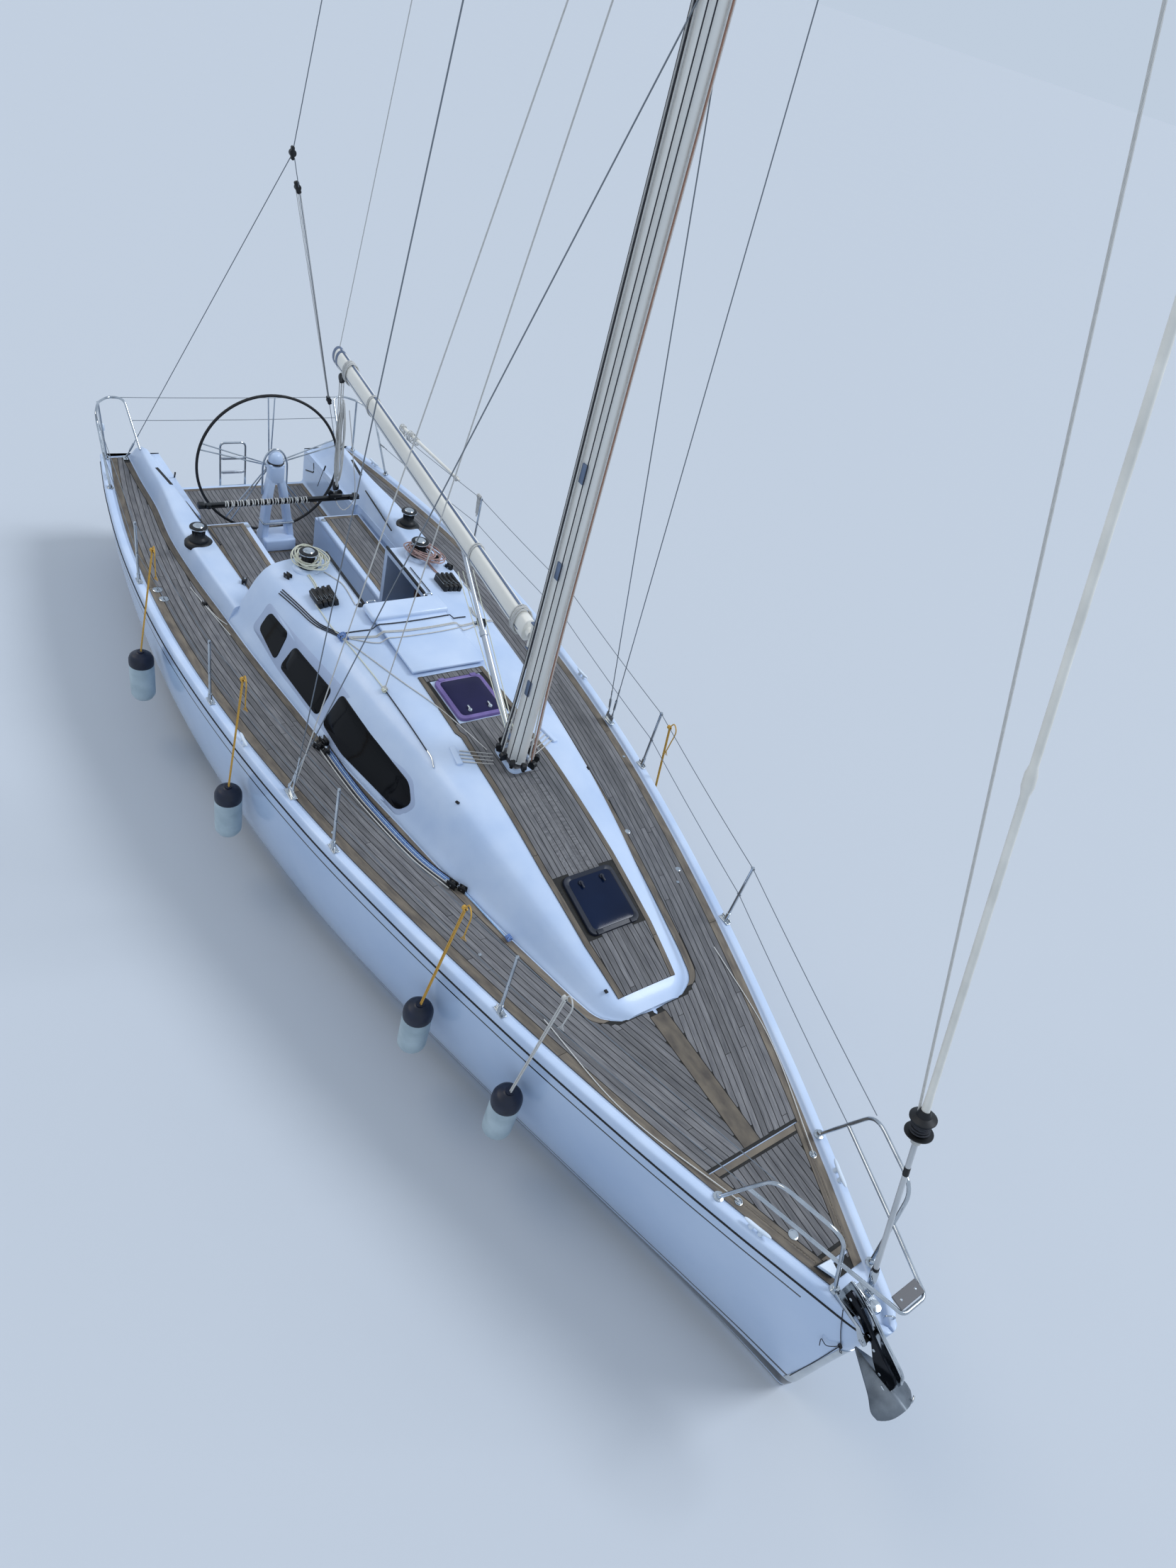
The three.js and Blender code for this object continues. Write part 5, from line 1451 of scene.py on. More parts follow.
@dataclass
class Studio:
    """Camera, soft lights and the pale floor at the waterline."""

    place: tuple = (5.4042, -3.7259, 6.8321)
    turn: tuple = (47.5712, -14.2056, 56.4824)
    focal_px: float = 1354.5
    frame_px: float = 2212.0
    sensor: float = 36.0
    sky: float = 0.8
    key: float = 1.5
    fill: float = 0.5
    floor_half: float = 900.0

    def build(self) -> None:
        """Adds the camera at the photograph's viewpoint, then floor and lights."""
        lens = bpy.data.cameras.new("camera")
        lens.sensor_fit, lens.sensor_width = "AUTO", self.sensor
        lens.lens = self.focal_px * self.sensor / self.frame_px
        lens.clip_end = 500
        camera = bpy.data.objects.new("camera", lens)
        camera.location = self.place
        camera.rotation_euler = [math.radians(a) for a in self.turn]
        bpy.context.scene.collection.objects.link(camera)
        bpy.context.scene.camera = camera
        world = bpy.data.worlds.new("sky")
        bpy.context.scene.world = world
        world.use_nodes = True
        sky = world.node_tree.nodes["Background"]
        sky.inputs["Color"].default_value = linear("#d4e3f5")
        sky.inputs["Strength"].default_value = self.sky
        lamps = (("key_light", (-0.35, -0.75, -1.0), self.key, 20, "#f0f6ff"),
                 ("fill_light", (0.7, 0.4, -0.9), self.fill, 30, "#fff2de"))
        for name, aim, power, spread, paint in lamps:
            light = bpy.data.lights.new(name, "SUN")
            light.energy, light.angle, light.color = power, math.radians(spread), linear(paint)[:3]
            lamp = bpy.data.objects.new(name, light)
            lamp.rotation_euler = Vector(aim).to_track_quat("-Z", "Y").to_euler()
            bpy.context.scene.collection.objects.link(lamp)
        bpy.context.scene.view_settings.view_transform = "Standard"
        mesh = bpy.data.meshes.new("floor")
        s = self.floor_half
        mesh.from_pydata([(-s, -s, 0), (s, -s, 0), (s, s, 0), (-s, s, 0)], [], [(0, 1, 2, 3)])
        mesh.materials.append(Finish("floor_pale", "#c3c8ce", "#c3c8ce", 0.8, scale=0.3,
                                     bump=0.0).material())
        floor = bpy.data.objects.new("floor", mesh)
        bpy.context.scene.collection.objects.link(floor)


@dataclass
class Cockpit:
    """Coamings, seats and soles of the cockpit, and the companionway with what shows through it."""

    inner_aft: float = 0.868
    inner_low: float = 0.72
    lid_middle: tuple = (-3.0525, 0.641)
    lid_size: tuple = (1.742, 0.498, 0.060)

    def coaming(self, sign: int) -> Shape:
        """A coaming: corner lines from foot over the top to the well, rounded, carried along x.

        Args:
            sign: -1 to starboard, 1 to port.

        Returns:
            The closed coaming.
        """
        x = np.concatenate([np.linspace(-5.485, -5.0, 26), np.linspace(-4.98, -2.06, 90)])
        rise = np.clip((x + 5.50) / 0.42, 0.02, 1) ** 0.5
        deck = FORM.deck_z(x, 1.1 + 0 * x)
        top = deck + (COAMING_Z + 0.012 - deck) * rise
        foot, edge = table(COAMING_FOOT, x), table(COAMING_EDGE, x)
        blend = np.clip((x + 4.06) / 0.12, 0, 1)
        inner = self.inner_aft + (SEAT_HALF - self.inner_aft) * blend
        low = self.inner_low + (SEAT_Z - 0.04 - self.inner_low) * blend
        shoulder = deck + (top - deck) * 0.35
        corners = np.stack([
            np.stack([foot + 0.01, deck - 0.03], 1), np.stack([foot - 0.004, deck + 0.012], 1),
            np.stack([foot - 0.055, top - 0.01], 1), np.stack([foot - 0.10, top + 0.004], 1),
            np.stack([edge + 0.02, top], 1), np.stack([edge - 0.03, shoulder], 1),
            np.stack([inner, shoulder - 0.12 * rise], 1), np.stack([inner, low], 1),
            np.stack([foot - 0.05, low], 1)], 1)
        ring = fillet(corners, 0.045, 5)
        points = np.concatenate([np.broadcast_to(x[:, None, None], ring.shape[:2] + (1,)),
                                 ring * np.array([sign, 1.0])], -1)
        return Shape().grid(points, wrap_v=True, caps=True)

    def build(self) -> None:
        """Builds both sides, the seats' lids, the soles and the stern quarters."""
        laid = Teak(seed=23)
        for side, sign in SIDES.items():
            body = f"seat_lid_{side}_body"
            piece = self.coaming(sign).build(f"coaming_{side}_moulding", DECKCOAT, HULL,
                                             "deck_gelcoat", 50)
            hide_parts(f"coaming_{side}")
            lid = Shape().box((self.lid_middle[0], sign * self.lid_middle[1], SEAT_Z - 0.031),
                              self.lid_size, 0.018, steps=4)
            moulding = lid.build(f"seat_lid_{side}_moulding", DECKCOAT, body, "deck_gelcoat")
            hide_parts(f"seat_locker_lid_{side}")
            ys = sorted((sign * 0.455, sign * 0.855))
            laid.panel(f"seat_{side}", body, (-3.88, -2.225), tuple(ys), SEAT_Z - 0.002)
            catch = Shape().lathe([(0, 0.004), (0.028, 0.004), (0.030, 0.001), (0.030, 0)],
                                  (-3.83, sign * 0.428, SEAT_Z + 0.0002), 20)
            catch.build(f"seat_catch_{side}", STEEL, body, "stainless")
            self.quarter(side, sign)
        laid.panel("cockpit_sole", HULL, (-4.0, -2.065), (-0.375, 0.375), SOLE_Z + 0.002)
        laid.panel("helm_sole", HULL, (-5.435, -4.02), (-0.835, 0.835), SOLE_Z + 0.002,
                   ("teak_sole",))
        self.companionway()

    def quarter(self, side: str, sign: int) -> None:
        """Slotted black handles and the panel's joint on a coaming's inner face.

        Args:
            side: The side's name.
            sign: -1 to starboard, 1 to port.
        """
        trim = Shape()
        trim.box((-4.49, sign * 1.085, COAMING_Z + 0.011), (0.37, 0.034, 0.010), 0.004,
                 (0, 0, -sign * 7))
        trim.tube(np.array([(-4.035, sign * 1.004, 1.365), (-3.6, sign * 0.967, 1.365),
                            (-3.173, sign * 0.927, 1.365)]), 0.008, 8)
        trim.tube(np.array([(-4.86, sign * 0.866, 1.245), (-5.04, sign * 0.866, 0.884)]), 0.009, 8)
        corner = [(-5.42, sign * 0.866, 0.90), (-5.17, sign * 0.866, 0.995),
                  (-5.19, sign * 0.866, 1.114)]
        trim.tube(rounded_path(corner, 0.04), 0.012, 8)
        trim.build(f"coaming_slots_{side}", BLACK, HULL, "black_alloy")

    def companionway(self) -> None:
        """Black runners, the sliding hatch with its grips, and the cabin's joinery inside."""
        trim = Shape()
        for sign in SIDES.values():
            trim.box((-1.62, sign * 0.309, 1.884), (0.93, 0.020, 0.026), 0.005)
            trim.box((-2.088, sign * 0.318, 1.43), (0.020, 0.034, 0.86), 0.006)
        trim.box((-2.088, 0, 0.992), (0.024, 0.67, 0.022), 0.006)
        trim.build("companionway_runners", BLACK, HULL, "black_alloy")
        hatch = Shape()
        hatch.box((-0.655, 0, 1.911), (0.968, 0.688, 0.026), 0.010)
        hatch.box((-1.02, 0, 1.931), (0.238, 0.748, 0.066), 0.030, steps=5)
        lid = hatch.build("companionway_hatch_moulding", DECKCOAT, "companionway_body",
                          "deck_gelcoat")
        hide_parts("companionway_hatch")
        grips = Shape()
        for sign in SIDES.values():
            path = rounded_path([(-1.13, sign * 0.32, 1.93), (-1.16, sign * 0.32, 1.955),
                                 (-1.16, sign * 0.24, 1.955), (-1.13, sign * 0.24, 1.93)], 0.02)
            grips.tube(path, 0.007, 8)
        grips.build("companionway_grips", STEEL, "companionway_body", "stainless")
        wood = Shape()
        wood.box((-1.90, 0, 0.86), (0.02, 0.9, 0.24), 0.004)
        wood.box((-1.15, 0, 0.10), (1.5, 1.7, 0.03), 0.004)
        wood.box((-1.55, 0.60, 0.78), (0.74, 0.03, 1.40), 0.006)
        wood.box((-1.55, -0.60, 0.78), (0.74, 0.03, 1.40), 0.006)
        wood.box((-1.38, 0, 0.75), (0.04, 1.2, 0.86), 0.006)
        for k in range(4):
            wood.box((-1.80 + 0.075 * k, 0, 0.93 - 0.21 * k), (0.17, 0.46, 0.028), 0.008)
        wood.build("cabin_joinery", CABIN_WOOD, HULL, "teak")


@dataclass
class Helm:
    """Pedestal with compass, wheel, and the traveller across the seats."""

    hub: tuple = (-4.375, 0.0, 1.55)
    radius: float = 0.783
    spokes: int = 5

    def pedestal(self) -> None:
        """Two raking legs joined above an open slot, a plinth, a dome and the crossbars."""
        body = Shape()
        body.box((-4.11, 0, SOLE_Z + 0.085), (0.30, 0.36, 0.150), 0.03, steps=5)
        levels = np.array([[0.84, 0.150, -4.12], [1.1, 0.118, -4.145], [1.38, 0.078, -4.175],
                           [1.5, 0.046, -4.19]])
        z = np.linspace(0.84, 1.5, 14)
        away, mid = np.interp(z, levels[:, 0], levels[:, 1]), np.interp(z, levels[:, 0],
                                                                        levels[:, 2])
        for sign in SIDES.values():
            corners = np.array([[-0.07, -0.038], [0.07, -0.038], [0.07, 0.038], [-0.07, 0.038]])
            ring = fillet(corners[None], 0.022, 4, closed=True)[0]
            rings = np.stack([np.stack([m + ring[:, 0], sign * a + ring[:, 1], 0 * ring[:, 0] + h],
                                       1)
                              for m, a, h in zip(mid, away, z)])
            body.grid(rings, wrap_v=True, caps=True)
        body.box((-4.192, 0, 1.56), (0.155, 0.165, 0.22), 0.035, steps=5)
        body.box((-4.20, 0, 1.655), (0.15, 0.17, 0.05), 0.024, steps=5)
        body.box((-4.12, 0, 1.00), (0.05, 0.28, 0.030), 0.012)
        piece = body.build("pedestal_moulding", DECKCOAT, HULL, "deck_gelcoat", 45)
        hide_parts("pedestal")
        Shape().lathe([(0.0, 0.118), (0.035, 0.112), (0.062, 0.090), (0.078, 0.055), (0.080, 0.02),
                       (0.080, 0)],
                      (-4.20, 0, 1.677), 28).build("compass_dome", DECKCOAT, HULL, "deck_gelcoat")
        Shape().lathe([(0.070, 0), (0.088, 0.0), (0.090, 0.012), (0.082, 0.020), (0.070, 0.020)],
                      (-4.20, 0, 1.668), 28).build("compass_ring", BLACK, HULL, "black_alloy")
        a = np.linspace(0, np.pi, 24)
        hoop = np.stack([-4.215 + 0 * a, 0.135 * np.cos(a), 1.60 + 0.215 * np.sin(a)], 1)
        steel = Shape().tube(hoop, 0.011, 10, up=(1, 0, 0))
        for sign in SIDES.values():
            steel.rod((-4.215, sign * 0.135, 1.30), (-4.215, sign * 0.135, 1.60), 0.011)
            steel.rod((-4.215, sign * 0.135, 1.30), (-4.20, sign * 0.06, 1.27), 0.009)
            steel.rod((-4.05, sign * 0.17, 1.02), (-4.19, sign * 0.17, 1.02), 0.010)
        steel.rod((-4.05, -0.17, 1.02), (-4.05, 0.17, 1.02), 0.012)
        steel.build("compass_guard", STEEL, HULL, "stainless")

    def wheel(self) -> None:
        """A leather-covered rim on a circle, pairs of spokes that lean apart, and the hub."""
        a = around(96)
        x, _, z = self.hub
        rim = np.stack([x + 0 * a, self.radius * np.cos(a), z + self.radius * np.sin(a)], 1)
        piece = Shape().tube(rim, 0.015, 10, up=(1, 0, 0), closed=True).build(
            "wheel_rim", LEATHER, "wheel_body", "black_alloy")
        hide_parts("wheel")
        spokes = Shape()
        for k in range(self.spokes):
            turn = math.pi / 2 + k * 2 * math.pi / self.spokes
            for lean in (-0.045, 0.045):
                end = (x, math.cos(turn + lean) * self.radius,
                       z + math.sin(turn + lean) * self.radius)
                start = (x, math.cos(turn + lean * 4) * 0.045,
                         z + math.sin(turn + lean * 4) * 0.045)
                spokes.rod(start, end, 0.0075, 8)
        spokes.lathe([(0, -0.02), (0.028, -0.02), (0.028, 0.11), (0.05, 0.115), (0.056, 0.13),
                      (0.056, 0.16), (0.045, 0.185), (0.02, 0.193), (0, 0.193)], (-4.222, 0, z), 24,
                     (-1, 0, 0))
        spokes.build("wheel_spokes", STEEL, "wheel_body", "stainless")
        Shape().lathe([(0, 0.0), (0.03, 0.0), (0.034, 0.008), (0.028, 0.02), (0, 0.022)],
                      (-4.413, 0, z), 20, (-1, 0, 0)).build("wheel_cap", BLACK, "wheel_body",
                                                            "black_alloy")

    def traveller(self) -> None:
        """The track's section carried across the boat, its car, end stops and the line wound on
        it."""
        bar = Shape()
        half, x, z = 0.896, -3.985, 1.3104
        ring = fillet(np.array([[[-0.030, 0], [-0.030, 0.014], [-0.012, 0.018], [-0.012, 0.026],
                                 [-0.026, 0.030], [-0.026, 0.040], [0.026, 0.040], [0.026, 0.030],
                                 [0.012, 0.026], [0.012, 0.018], [0.030, 0.014], [0.030, 0]]]),
                      0.004, 3, closed=True)[0]
        ys = np.linspace(-half, half, 8)
        rings = np.stack([np.stack([x + ring[:, 0], 0 * ring[:, 0] + y, z + ring[:, 1]], 1)
                          for y in ys])
        bar.grid(rings, wrap_v=True, caps=True)
        for sign in SIDES.values():
            bar.box((x, sign * (half - 0.036), z + 0.03), (0.075, 0.07, 0.05), 0.012)
            bar.lathe([(0, -0.022), (0.026, -0.022), (0.028, 0), (0.026, 0.022), (0, 0.022)],
                      (x + 0.03, sign * (half - 0.10), z + 0.03), 18, (0, 0, 1))
        bar.box((x, 0.61, z + 0.062), (0.085, 0.140, 0.044), 0.012)
        for sign in (-1, 1):
            bar.lathe([(0, -0.011), (0.03, -0.011), (0.026, 0), (0.03, 0.011), (0, 0.011)],
                      (x, 0.61 + sign * 0.055, z + 0.083), 18, (1, 0, 0))
        piece = bar.build("traveller_track", BLACK, HULL, "black_alloy")
        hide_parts("traveller")
        turns = 46
        a = winding(turns, turns * 12)
        y = np.linspace(-0.62, 0.30, len(a)) + 0.010 * np.sin(a * 0.37)
        wound = np.stack([x + 0.040 * np.cos(a), y, z + 0.021 + 0.031 * np.sin(a)], 1)
        Shape().tube(wound[::2], 0.0055, 6, up=(0, 1, 0)).build("traveller_line", ROPE_WHITE, HULL,
                                                                "rope")

    def build(self) -> None:
        """Builds the whole helm."""
        self.pedestal()
        self.wheel()
        self.traveller()


@dataclass
class Hatches:
    """The two deck hatches: frame, smoked pane and handles."""

    fore: tuple = (2.085, 2.570)
    middle: tuple = (-0.040, 0.470)
    half: float = 0.225

    def hatch(self, name: str, x: tuple[float, float], half: float, frame: Finish, pane: Finish,
              hinge_front: bool) -> None:
        """One hatch on the roof's slope.

        Args:
            name: The CAD node without _lid.
            x: From and to.
            half: Half its width.
            frame: Finish of the frame.
            pane: Finish of the pane.
            hinge_front: Whether its hinge is at the front edge.
        """
        body, middle = f"{name}_body", (x[0] + x[1]) / 2
        ends = roof_top(np.array(x))
        slope = math.degrees(math.atan((ends[1] - ends[0]) / (x[1] - x[0])))
        z = float(roof_top(np.array(middle))) + 0.003
        turn = (0, -slope, 0)
        wide = (x[1] - x[0]) / math.cos(math.radians(slope))
        matrix = np.array(Euler([math.radians(t) for t in turn]).to_matrix())
        place = lambda u, v, w: tuple(np.array([middle, 0, z]) + matrix @ np.array([u, v, w]))
        ring = []
        for grow, lift in ((0.0, -0.004), (0.0, 0.016), (0.004, 0.023), (0.034, 0.026),
                           (0.040, 0.022), (0.040, 0.004), (0.034, -0.004)):
            outline = np.array([[[-wide / 2 + grow, -half + grow], [wide / 2 - grow, -half + grow],
                                 [wide / 2 - grow, half - grow], [-wide / 2 + grow, half - grow]]])
            o = fillet(outline, 0.07 - grow * 0.7, 7, closed=True)[0]
            ring.append([place(u, v, lift) for u, v in o])
        shape = Shape().grid(np.array(ring), wrap_u=True, wrap_v=True)
        piece = shape.build(f"{name}_frame", frame, body, "hatch_frame")
        outline = np.array([[[-wide / 2 + 0.036, -half + 0.036], [wide / 2 - 0.036, -half + 0.036],
                             [wide / 2 - 0.036, half - 0.036], [-wide / 2 + 0.036, half - 0.036]]])
        o = fillet(outline, 0.045, 7, closed=True)[0]
        rings = [[place(u * s, v * s, w) for u, v in o] for s, w in
                 ((0.98, 0.002), (1, 0.002), (1, 0.0225), (0.97, 0.0240), (0.6, 0.0248),
                  (0.3, 0.0250))]
        Shape().grid(np.array(rings), wrap_v=True, caps=True).build(f"{name}_pane", pane, body,
                                                                    "dark_acrylic")
        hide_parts(f"{name}_lid")
        side = -1 if hinge_front else 1
        handles = Shape()
        for v in (-0.095, 0.095):
            handles.lathe([(0, 0.012), (0.017, 0.012), (0.021, 0.004), (0.021, 0)],
                          place(side * (wide / 2 - 0.085), v, 0.0245), 18,
                          tuple(matrix @ np.array([0, 0, 1.0])))
            handles.box(place(side * (wide / 2 - 0.105), v, 0.040), (0.055, 0.016, 0.010), 0.004,
                        turn)
        if hinge_front:
            handles.build(f"{name}_handles", frame, body, "hatch_frame")
        else:
            handles.build(f"{name}_handles", STEEL, body, "stainless")
        hinges = Shape()
        for v in (-0.15, 0.15):
            hinges.box(place(-side * (wide / 2 - 0.015), v, 0.027), (0.035, 0.055, 0.012), 0.004,
                       turn)
        hinges.build(f"{name}_hinges", frame, body, "hatch_frame")

    def build(self) -> None:
        """Builds both."""
        navy = Finish("hatch_frame_navy", "#0b1427", "#080f1e", 0.4, scale=5.0)
        self.hatch("hatch_fore", self.fore, self.half, navy, ACRYLIC_NAVY, True)
        self.hatch("hatch_mid", self.middle, self.half, MAUVE, ACRYLIC_PLUM, False)


@dataclass
class Winches:
    """Four drums, two of them with rope coiled on top."""

    # Name, place, and the finish of the rope laid on it.
    rows: tuple = (
        ("primary_stbd", (-3.2, -1.13, 1.43), None), ("primary_port", (-3.2, 1.13, 1.43), None),
        ("roof_stbd", (-1.9, -0.56, 1.888), ROPE_GREEN),
        ("roof_port", (-1.9, 0.56, 1.888), ROPE_RED),
    )

    def build(self) -> None:
        """Builds drums, tops and sockets, and the coils round the roof's pair."""
        for name, (x, y, z), rope in self.rows:
            body, base = f"winch_{name}_body", (x, y, z + 0.0004)
            drum = Shape().lathe([
                (0, 0), (0.092, 0), (0.092, 0.010), (0.086, 0.022), (0.070, 0.034), (0.061, 0.048),
                (0.056, 0.070), (0.057, 0.092), (0.064, 0.108), (0.076, 0.120), (0.084, 0.130),
                (0.085, 0.140), (0.080, 0.147), (0.052, 0.149), (0.048, 0.144), (0, 0.144)], base,
                                 40)
            for a in np.arange(14) * 2 * np.pi / 14:
                c, s = math.cos(a), math.sin(a)
                drum.rod((x + 0.0565 * c, y + 0.0565 * s, z + 0.044),
                         (x + 0.0605 * c, y + 0.0605 * s, z + 0.104), 0.0035, 6)
            piece = drum.build(f"winch_{name}_drum", BLACK, body, "black_alloy", 30)
            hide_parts(f"winch_{name}")
            top = Shape().lathe([(0.018, 0.143), (0.050, 0.145), (0.052, 0.152), (0.046, 0.157),
                                 (0.022, 0.158), (0.018, 0.156)], base, 32)
            top.lathe([(0.083, 0.127), (0.0865, 0.131), (0.0865, 0.137), (0.083, 0.141)], base, 40)
            top.build(f"winch_{name}_top", STEEL, body, "stainless", 30)
            foot = Shape().lathe([(0, -0.06), (0.135, -0.06), (0.134, -0.028), (0.120, -0.012),
                                  (0.094, -0.0004), (0, -0.0004)], (x, y, z), 36)
            if not rope:
                foot.build(f"winch_{name}_pad", BLACK, HULL, "black_alloy")
            else:
                foot.build(f"winch_{name}_pad", DECKCOAT, HULL, "deck_gelcoat")
                fluff = winding(13, 300)
                wander = np.random.default_rng(3 if rope is ROPE_RED else 5).normal(0, 1, (2, 8))
                size = 0.105 + 0.035 * np.sin(fluff * 0.31) + 0.012 * np.sin(fluff * 2.3)
                wob = sum(w * np.sin(fluff * (0.17 + 0.11 * k) + w) for k,
                          w in enumerate(wander[0])) * 0.012
                side = -0.05 if y < 0 else 0.02
                path = np.stack([x + side + size * 1.25 * np.cos(fluff) + wob,
                                 y + 0.03 + size * np.sin(fluff) + wob,
                                 z + 0.006 + 0.030 * np.abs(np.sin(fluff * 0.5 + wander[1][0]))
                                 + 0.045 * (1 + np.sin(fluff * 0.23)) / 2], 1)
                Shape().tube(smooth(path[::3], 420), 0.0062, 6).build(
                    f"coil_{name}", rope, HULL, "rope")


MAST_X, MAST_FOOT_Z, MASTHEAD_Z, MAST_RAKE = 0.98, 1.885, 16.3, 0.006
# Half the length and half the breadth of the mast's section.
MAST_LONG, MAST_WIDE = 0.1, 0.065
# Spreaders: height, half-span and sweep aft.
SPREADERS = ((6.9, 1.0, 0.38), (11.0, 0.78, 0.30))
GOOSENECK = np.array([0.80, 0.0, 2.93])


def mast_at(z: float) -> float:
    """Where the mast's middle is at a height."""
    return MAST_X - (z - MAST_FOOT_Z) * MAST_RAKE


@dataclass
class Mast:
    """The mast with spreaders, track and the lines that run up it."""

    def build(self) -> None:
        """An ellipse with a flat back carried up the raked axis; spreaders of foil section."""
        a = around(28)
        oval = np.stack([MAST_LONG * np.cos(a) * (1 - 0.06 * (np.cos(a) < -0.7)),
                         MAST_WIDE * np.sin(a)], 1)
        z = np.linspace(MAST_FOOT_Z + 0.0004, MASTHEAD_Z, 60)
        slim = np.interp(z, [2, 14.5, 16.3], [1, 1, 0.8])
        rings = np.stack([np.stack([mast_at(h) + oval[:, 0] * s, oval[:, 1] * s, 0 * a + h], 1)
                          for h, s in zip(z, slim)])
        tube = Shape().grid(rings, wrap_v=True, caps=True)
        for h, half, aft in SPREADERS:
            for sign in SIDES.values():
                tip = (mast_at(h) - aft, sign * half, h + 0.04)
                tube.tube(straight((mast_at(h), 0, h), tip, 6), np.linspace(0.05, 0.026, 6), 14,
                          flat=0.42)
        head = mast_at(MASTHEAD_Z)
        tube.box((head - 0.065, 0, MASTHEAD_Z - 0.04), (0.39, 0.075, 0.09), 0.02)
        piece = tube.build("mast_tube", MAST_PALE, HULL, "spar_alloy", 50)
        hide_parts("mast")
        trim = Shape()
        back = lambda h, off=0.0: (mast_at(h) - 0.098 - off, 0, h)
        trim.tube(np.array([back(2.05), back(15.9)]), 0.013, 8)
        trim.box((GOOSENECK[0] + 0.04, 0, GOOSENECK[2] + 0.107), (0.11, 0.05, 0.012), 0.004)
        trim.box((GOOSENECK[0] + 0.04, 0, GOOSENECK[2] - 0.107), (0.11, 0.05, 0.012), 0.004)
        trim.box((GOOSENECK[0] + 0.085, 0, GOOSENECK[2]), (0.02, 0.09, 0.28), 0.008)
        trim.box((GOOSENECK[0] + 0.04, 0, 1.978), (0.11, 0.05, 0.014), 0.004)
        trim.box((mast_at(14.6) + 0.108, 0, 14.615), (0.055, 0.028, 0.05), 0.006)
        for h in (2.6, 3.6, 4.3):
            trim.box((mast_at(h) + 0.02, -0.067, h), (0.05, 0.016, 0.13), 0.006)
            trim.box((mast_at(h + 0.35) + 0.02, 0.067, h + 0.35), (0.05, 0.016, 0.13), 0.006)
        trim.build("mast_fittings", SPAR_GREY, HULL, "spar_alloy")
        collar = np.array([[[-0.165, -0.118], [0.145, -0.118], [0.145, 0.118], [-0.165, 0.118]]])
        ring = fillet(collar, 0.07, 8, closed=True)[0] + np.array([MAST_X, 0])
        rim = []
        for grow, lift in ((0.0, -0.06), (0.0, 0.0), (0.008, 0.014), (0.022, 0.014), (0.030, 0.0),
                           (0.030, -0.06)):
            o = MAST_X + (ring[:, 0] - MAST_X) * (1 - grow / 0.15), ring[:, 1] * (1 - grow / 0.12)
            rim.append(np.stack([o[0], o[1], roof_top(o[0]) + 0.022 + lift], 1))
        Shape().grid(np.array(rim), wrap_u=True, wrap_v=True).build("mast_collar", DECKCOAT, HULL,
                                                                    "deck_gelcoat")
        self.lines()

    def lines(self) -> None:
        """Halyards: up the sides and the front of the mast from the turning blocks at its foot."""
        runs = ((-160, ROPE_WHITE, 9.5), (-136, ROPE_BLACK, 14.2), (-122, ROPE_WHITE, 15.4),
                (-110, ROPE_BLACK, 12.0), (-97, ROPE_WHITE, 13.0), (-64, ROPE_BLACK, 9.0),
                (-40, ROPE_BLACK, 15.6), (4, ROPE_WHITE, 15.2), (18, ROPE_RUST, 12.0),
                (30, ROPE_WHITE, 14.4), (44, ROPE_RUST, 15.6), (60, ROPE_WHITE, 10.8),
                (84, ROPE_GREEN, 10.8), (112, ROPE_BLACK, 14.6), (150, ROPE_WHITE, 13.2))
        groups: dict[str, Shape] = {}
        for k, (turn, finish, top) in enumerate(runs):
            around = math.radians(turn)
            low = np.array([MAST_X + 0.155 * math.cos(around), 0.125 * math.sin(around), 1.955])
            at = lambda h, out: (mast_at(h) + (MAST_LONG + out) * math.cos(around),
                                 (MAST_WIDE + out) * math.sin(around), h)
            path = [low, at(2.5, 0.034), at(3.4, 0.020), at(5.5, 0.016), at(8.0, 0.015),
                    at(top, 0.008)]
            shape = groups.setdefault(finish.name, Shape())
            shape.tube(smooth(path, 60), 0.0038 if turn in (-64, -40) else 0.006, 6, up=(1, 0.2, 0),
                       tone=k / 15)
        finishes = {finish.name: finish for _, finish, _ in runs}
        for name, shape in groups.items():
            shape.build(f"halyards_{name}", finishes[name], HULL, "rope")
        blocks = Shape()
        for k in range(10):
            a = math.radians(-160 + k * 35.5)
            c, s = math.cos(a), math.sin(a)
            place = (MAST_X + 0.01 + 0.165 * c, 0.128 * s, 1.928)
            blocks.box(place, (0.060, 0.030, 0.062), 0.012, (0, 0, math.degrees(a)))
            blocks.disc(0.026, 0.017, (place[0] + 0.012 * c, place[1] + 0.012 * s, 1.945), 16,
                        (-s, c, 0))
        blocks.build("mast_foot_blocks", BLACK, HULL, "black_alloy")


def hank(top: Sequence[float], drop: float, loops: int, width: float, seed: int) -> Array:
    """Rope hung in long loops from one point, each loop of its own length, width and direction.

    Over an angle a that grows by a whole turn a loop, the height falls by (1 - cos a) / 2 of the
    drop and the side follows sin a, turned about the upright.

    Args:
        top: Where the loops hang from.
        drop: How deep the longest loop hangs.
        loops: How many loops.
        width: Half the widest loop.
        seed: Sets the loops' differences.

    Returns:
        The rope's line.
    """
    random = np.random.default_rng(seed)
    a = winding(loops, loops * 16)
    turn, knots = a / (2 * np.pi), np.arange(loops + 1)
    deep = drop * np.interp(turn, knots, random.uniform(0.72, 1.0, loops + 1))
    wide = width * np.interp(turn, knots, random.uniform(0.35, 1.0, loops + 1))
    lean = np.interp(turn, knots, random.uniform(0, 2 * np.pi, loops + 1))
    low = (1 - np.cos(a)) / 2
    side = wide * (0.35 + 0.65 * low) * np.sin(a)
    offset = np.stack([side * np.sin(lean), side * np.cos(lean), -deep * low], 1)
    return smooth(np.asarray(top, float) + offset, loops * 40)


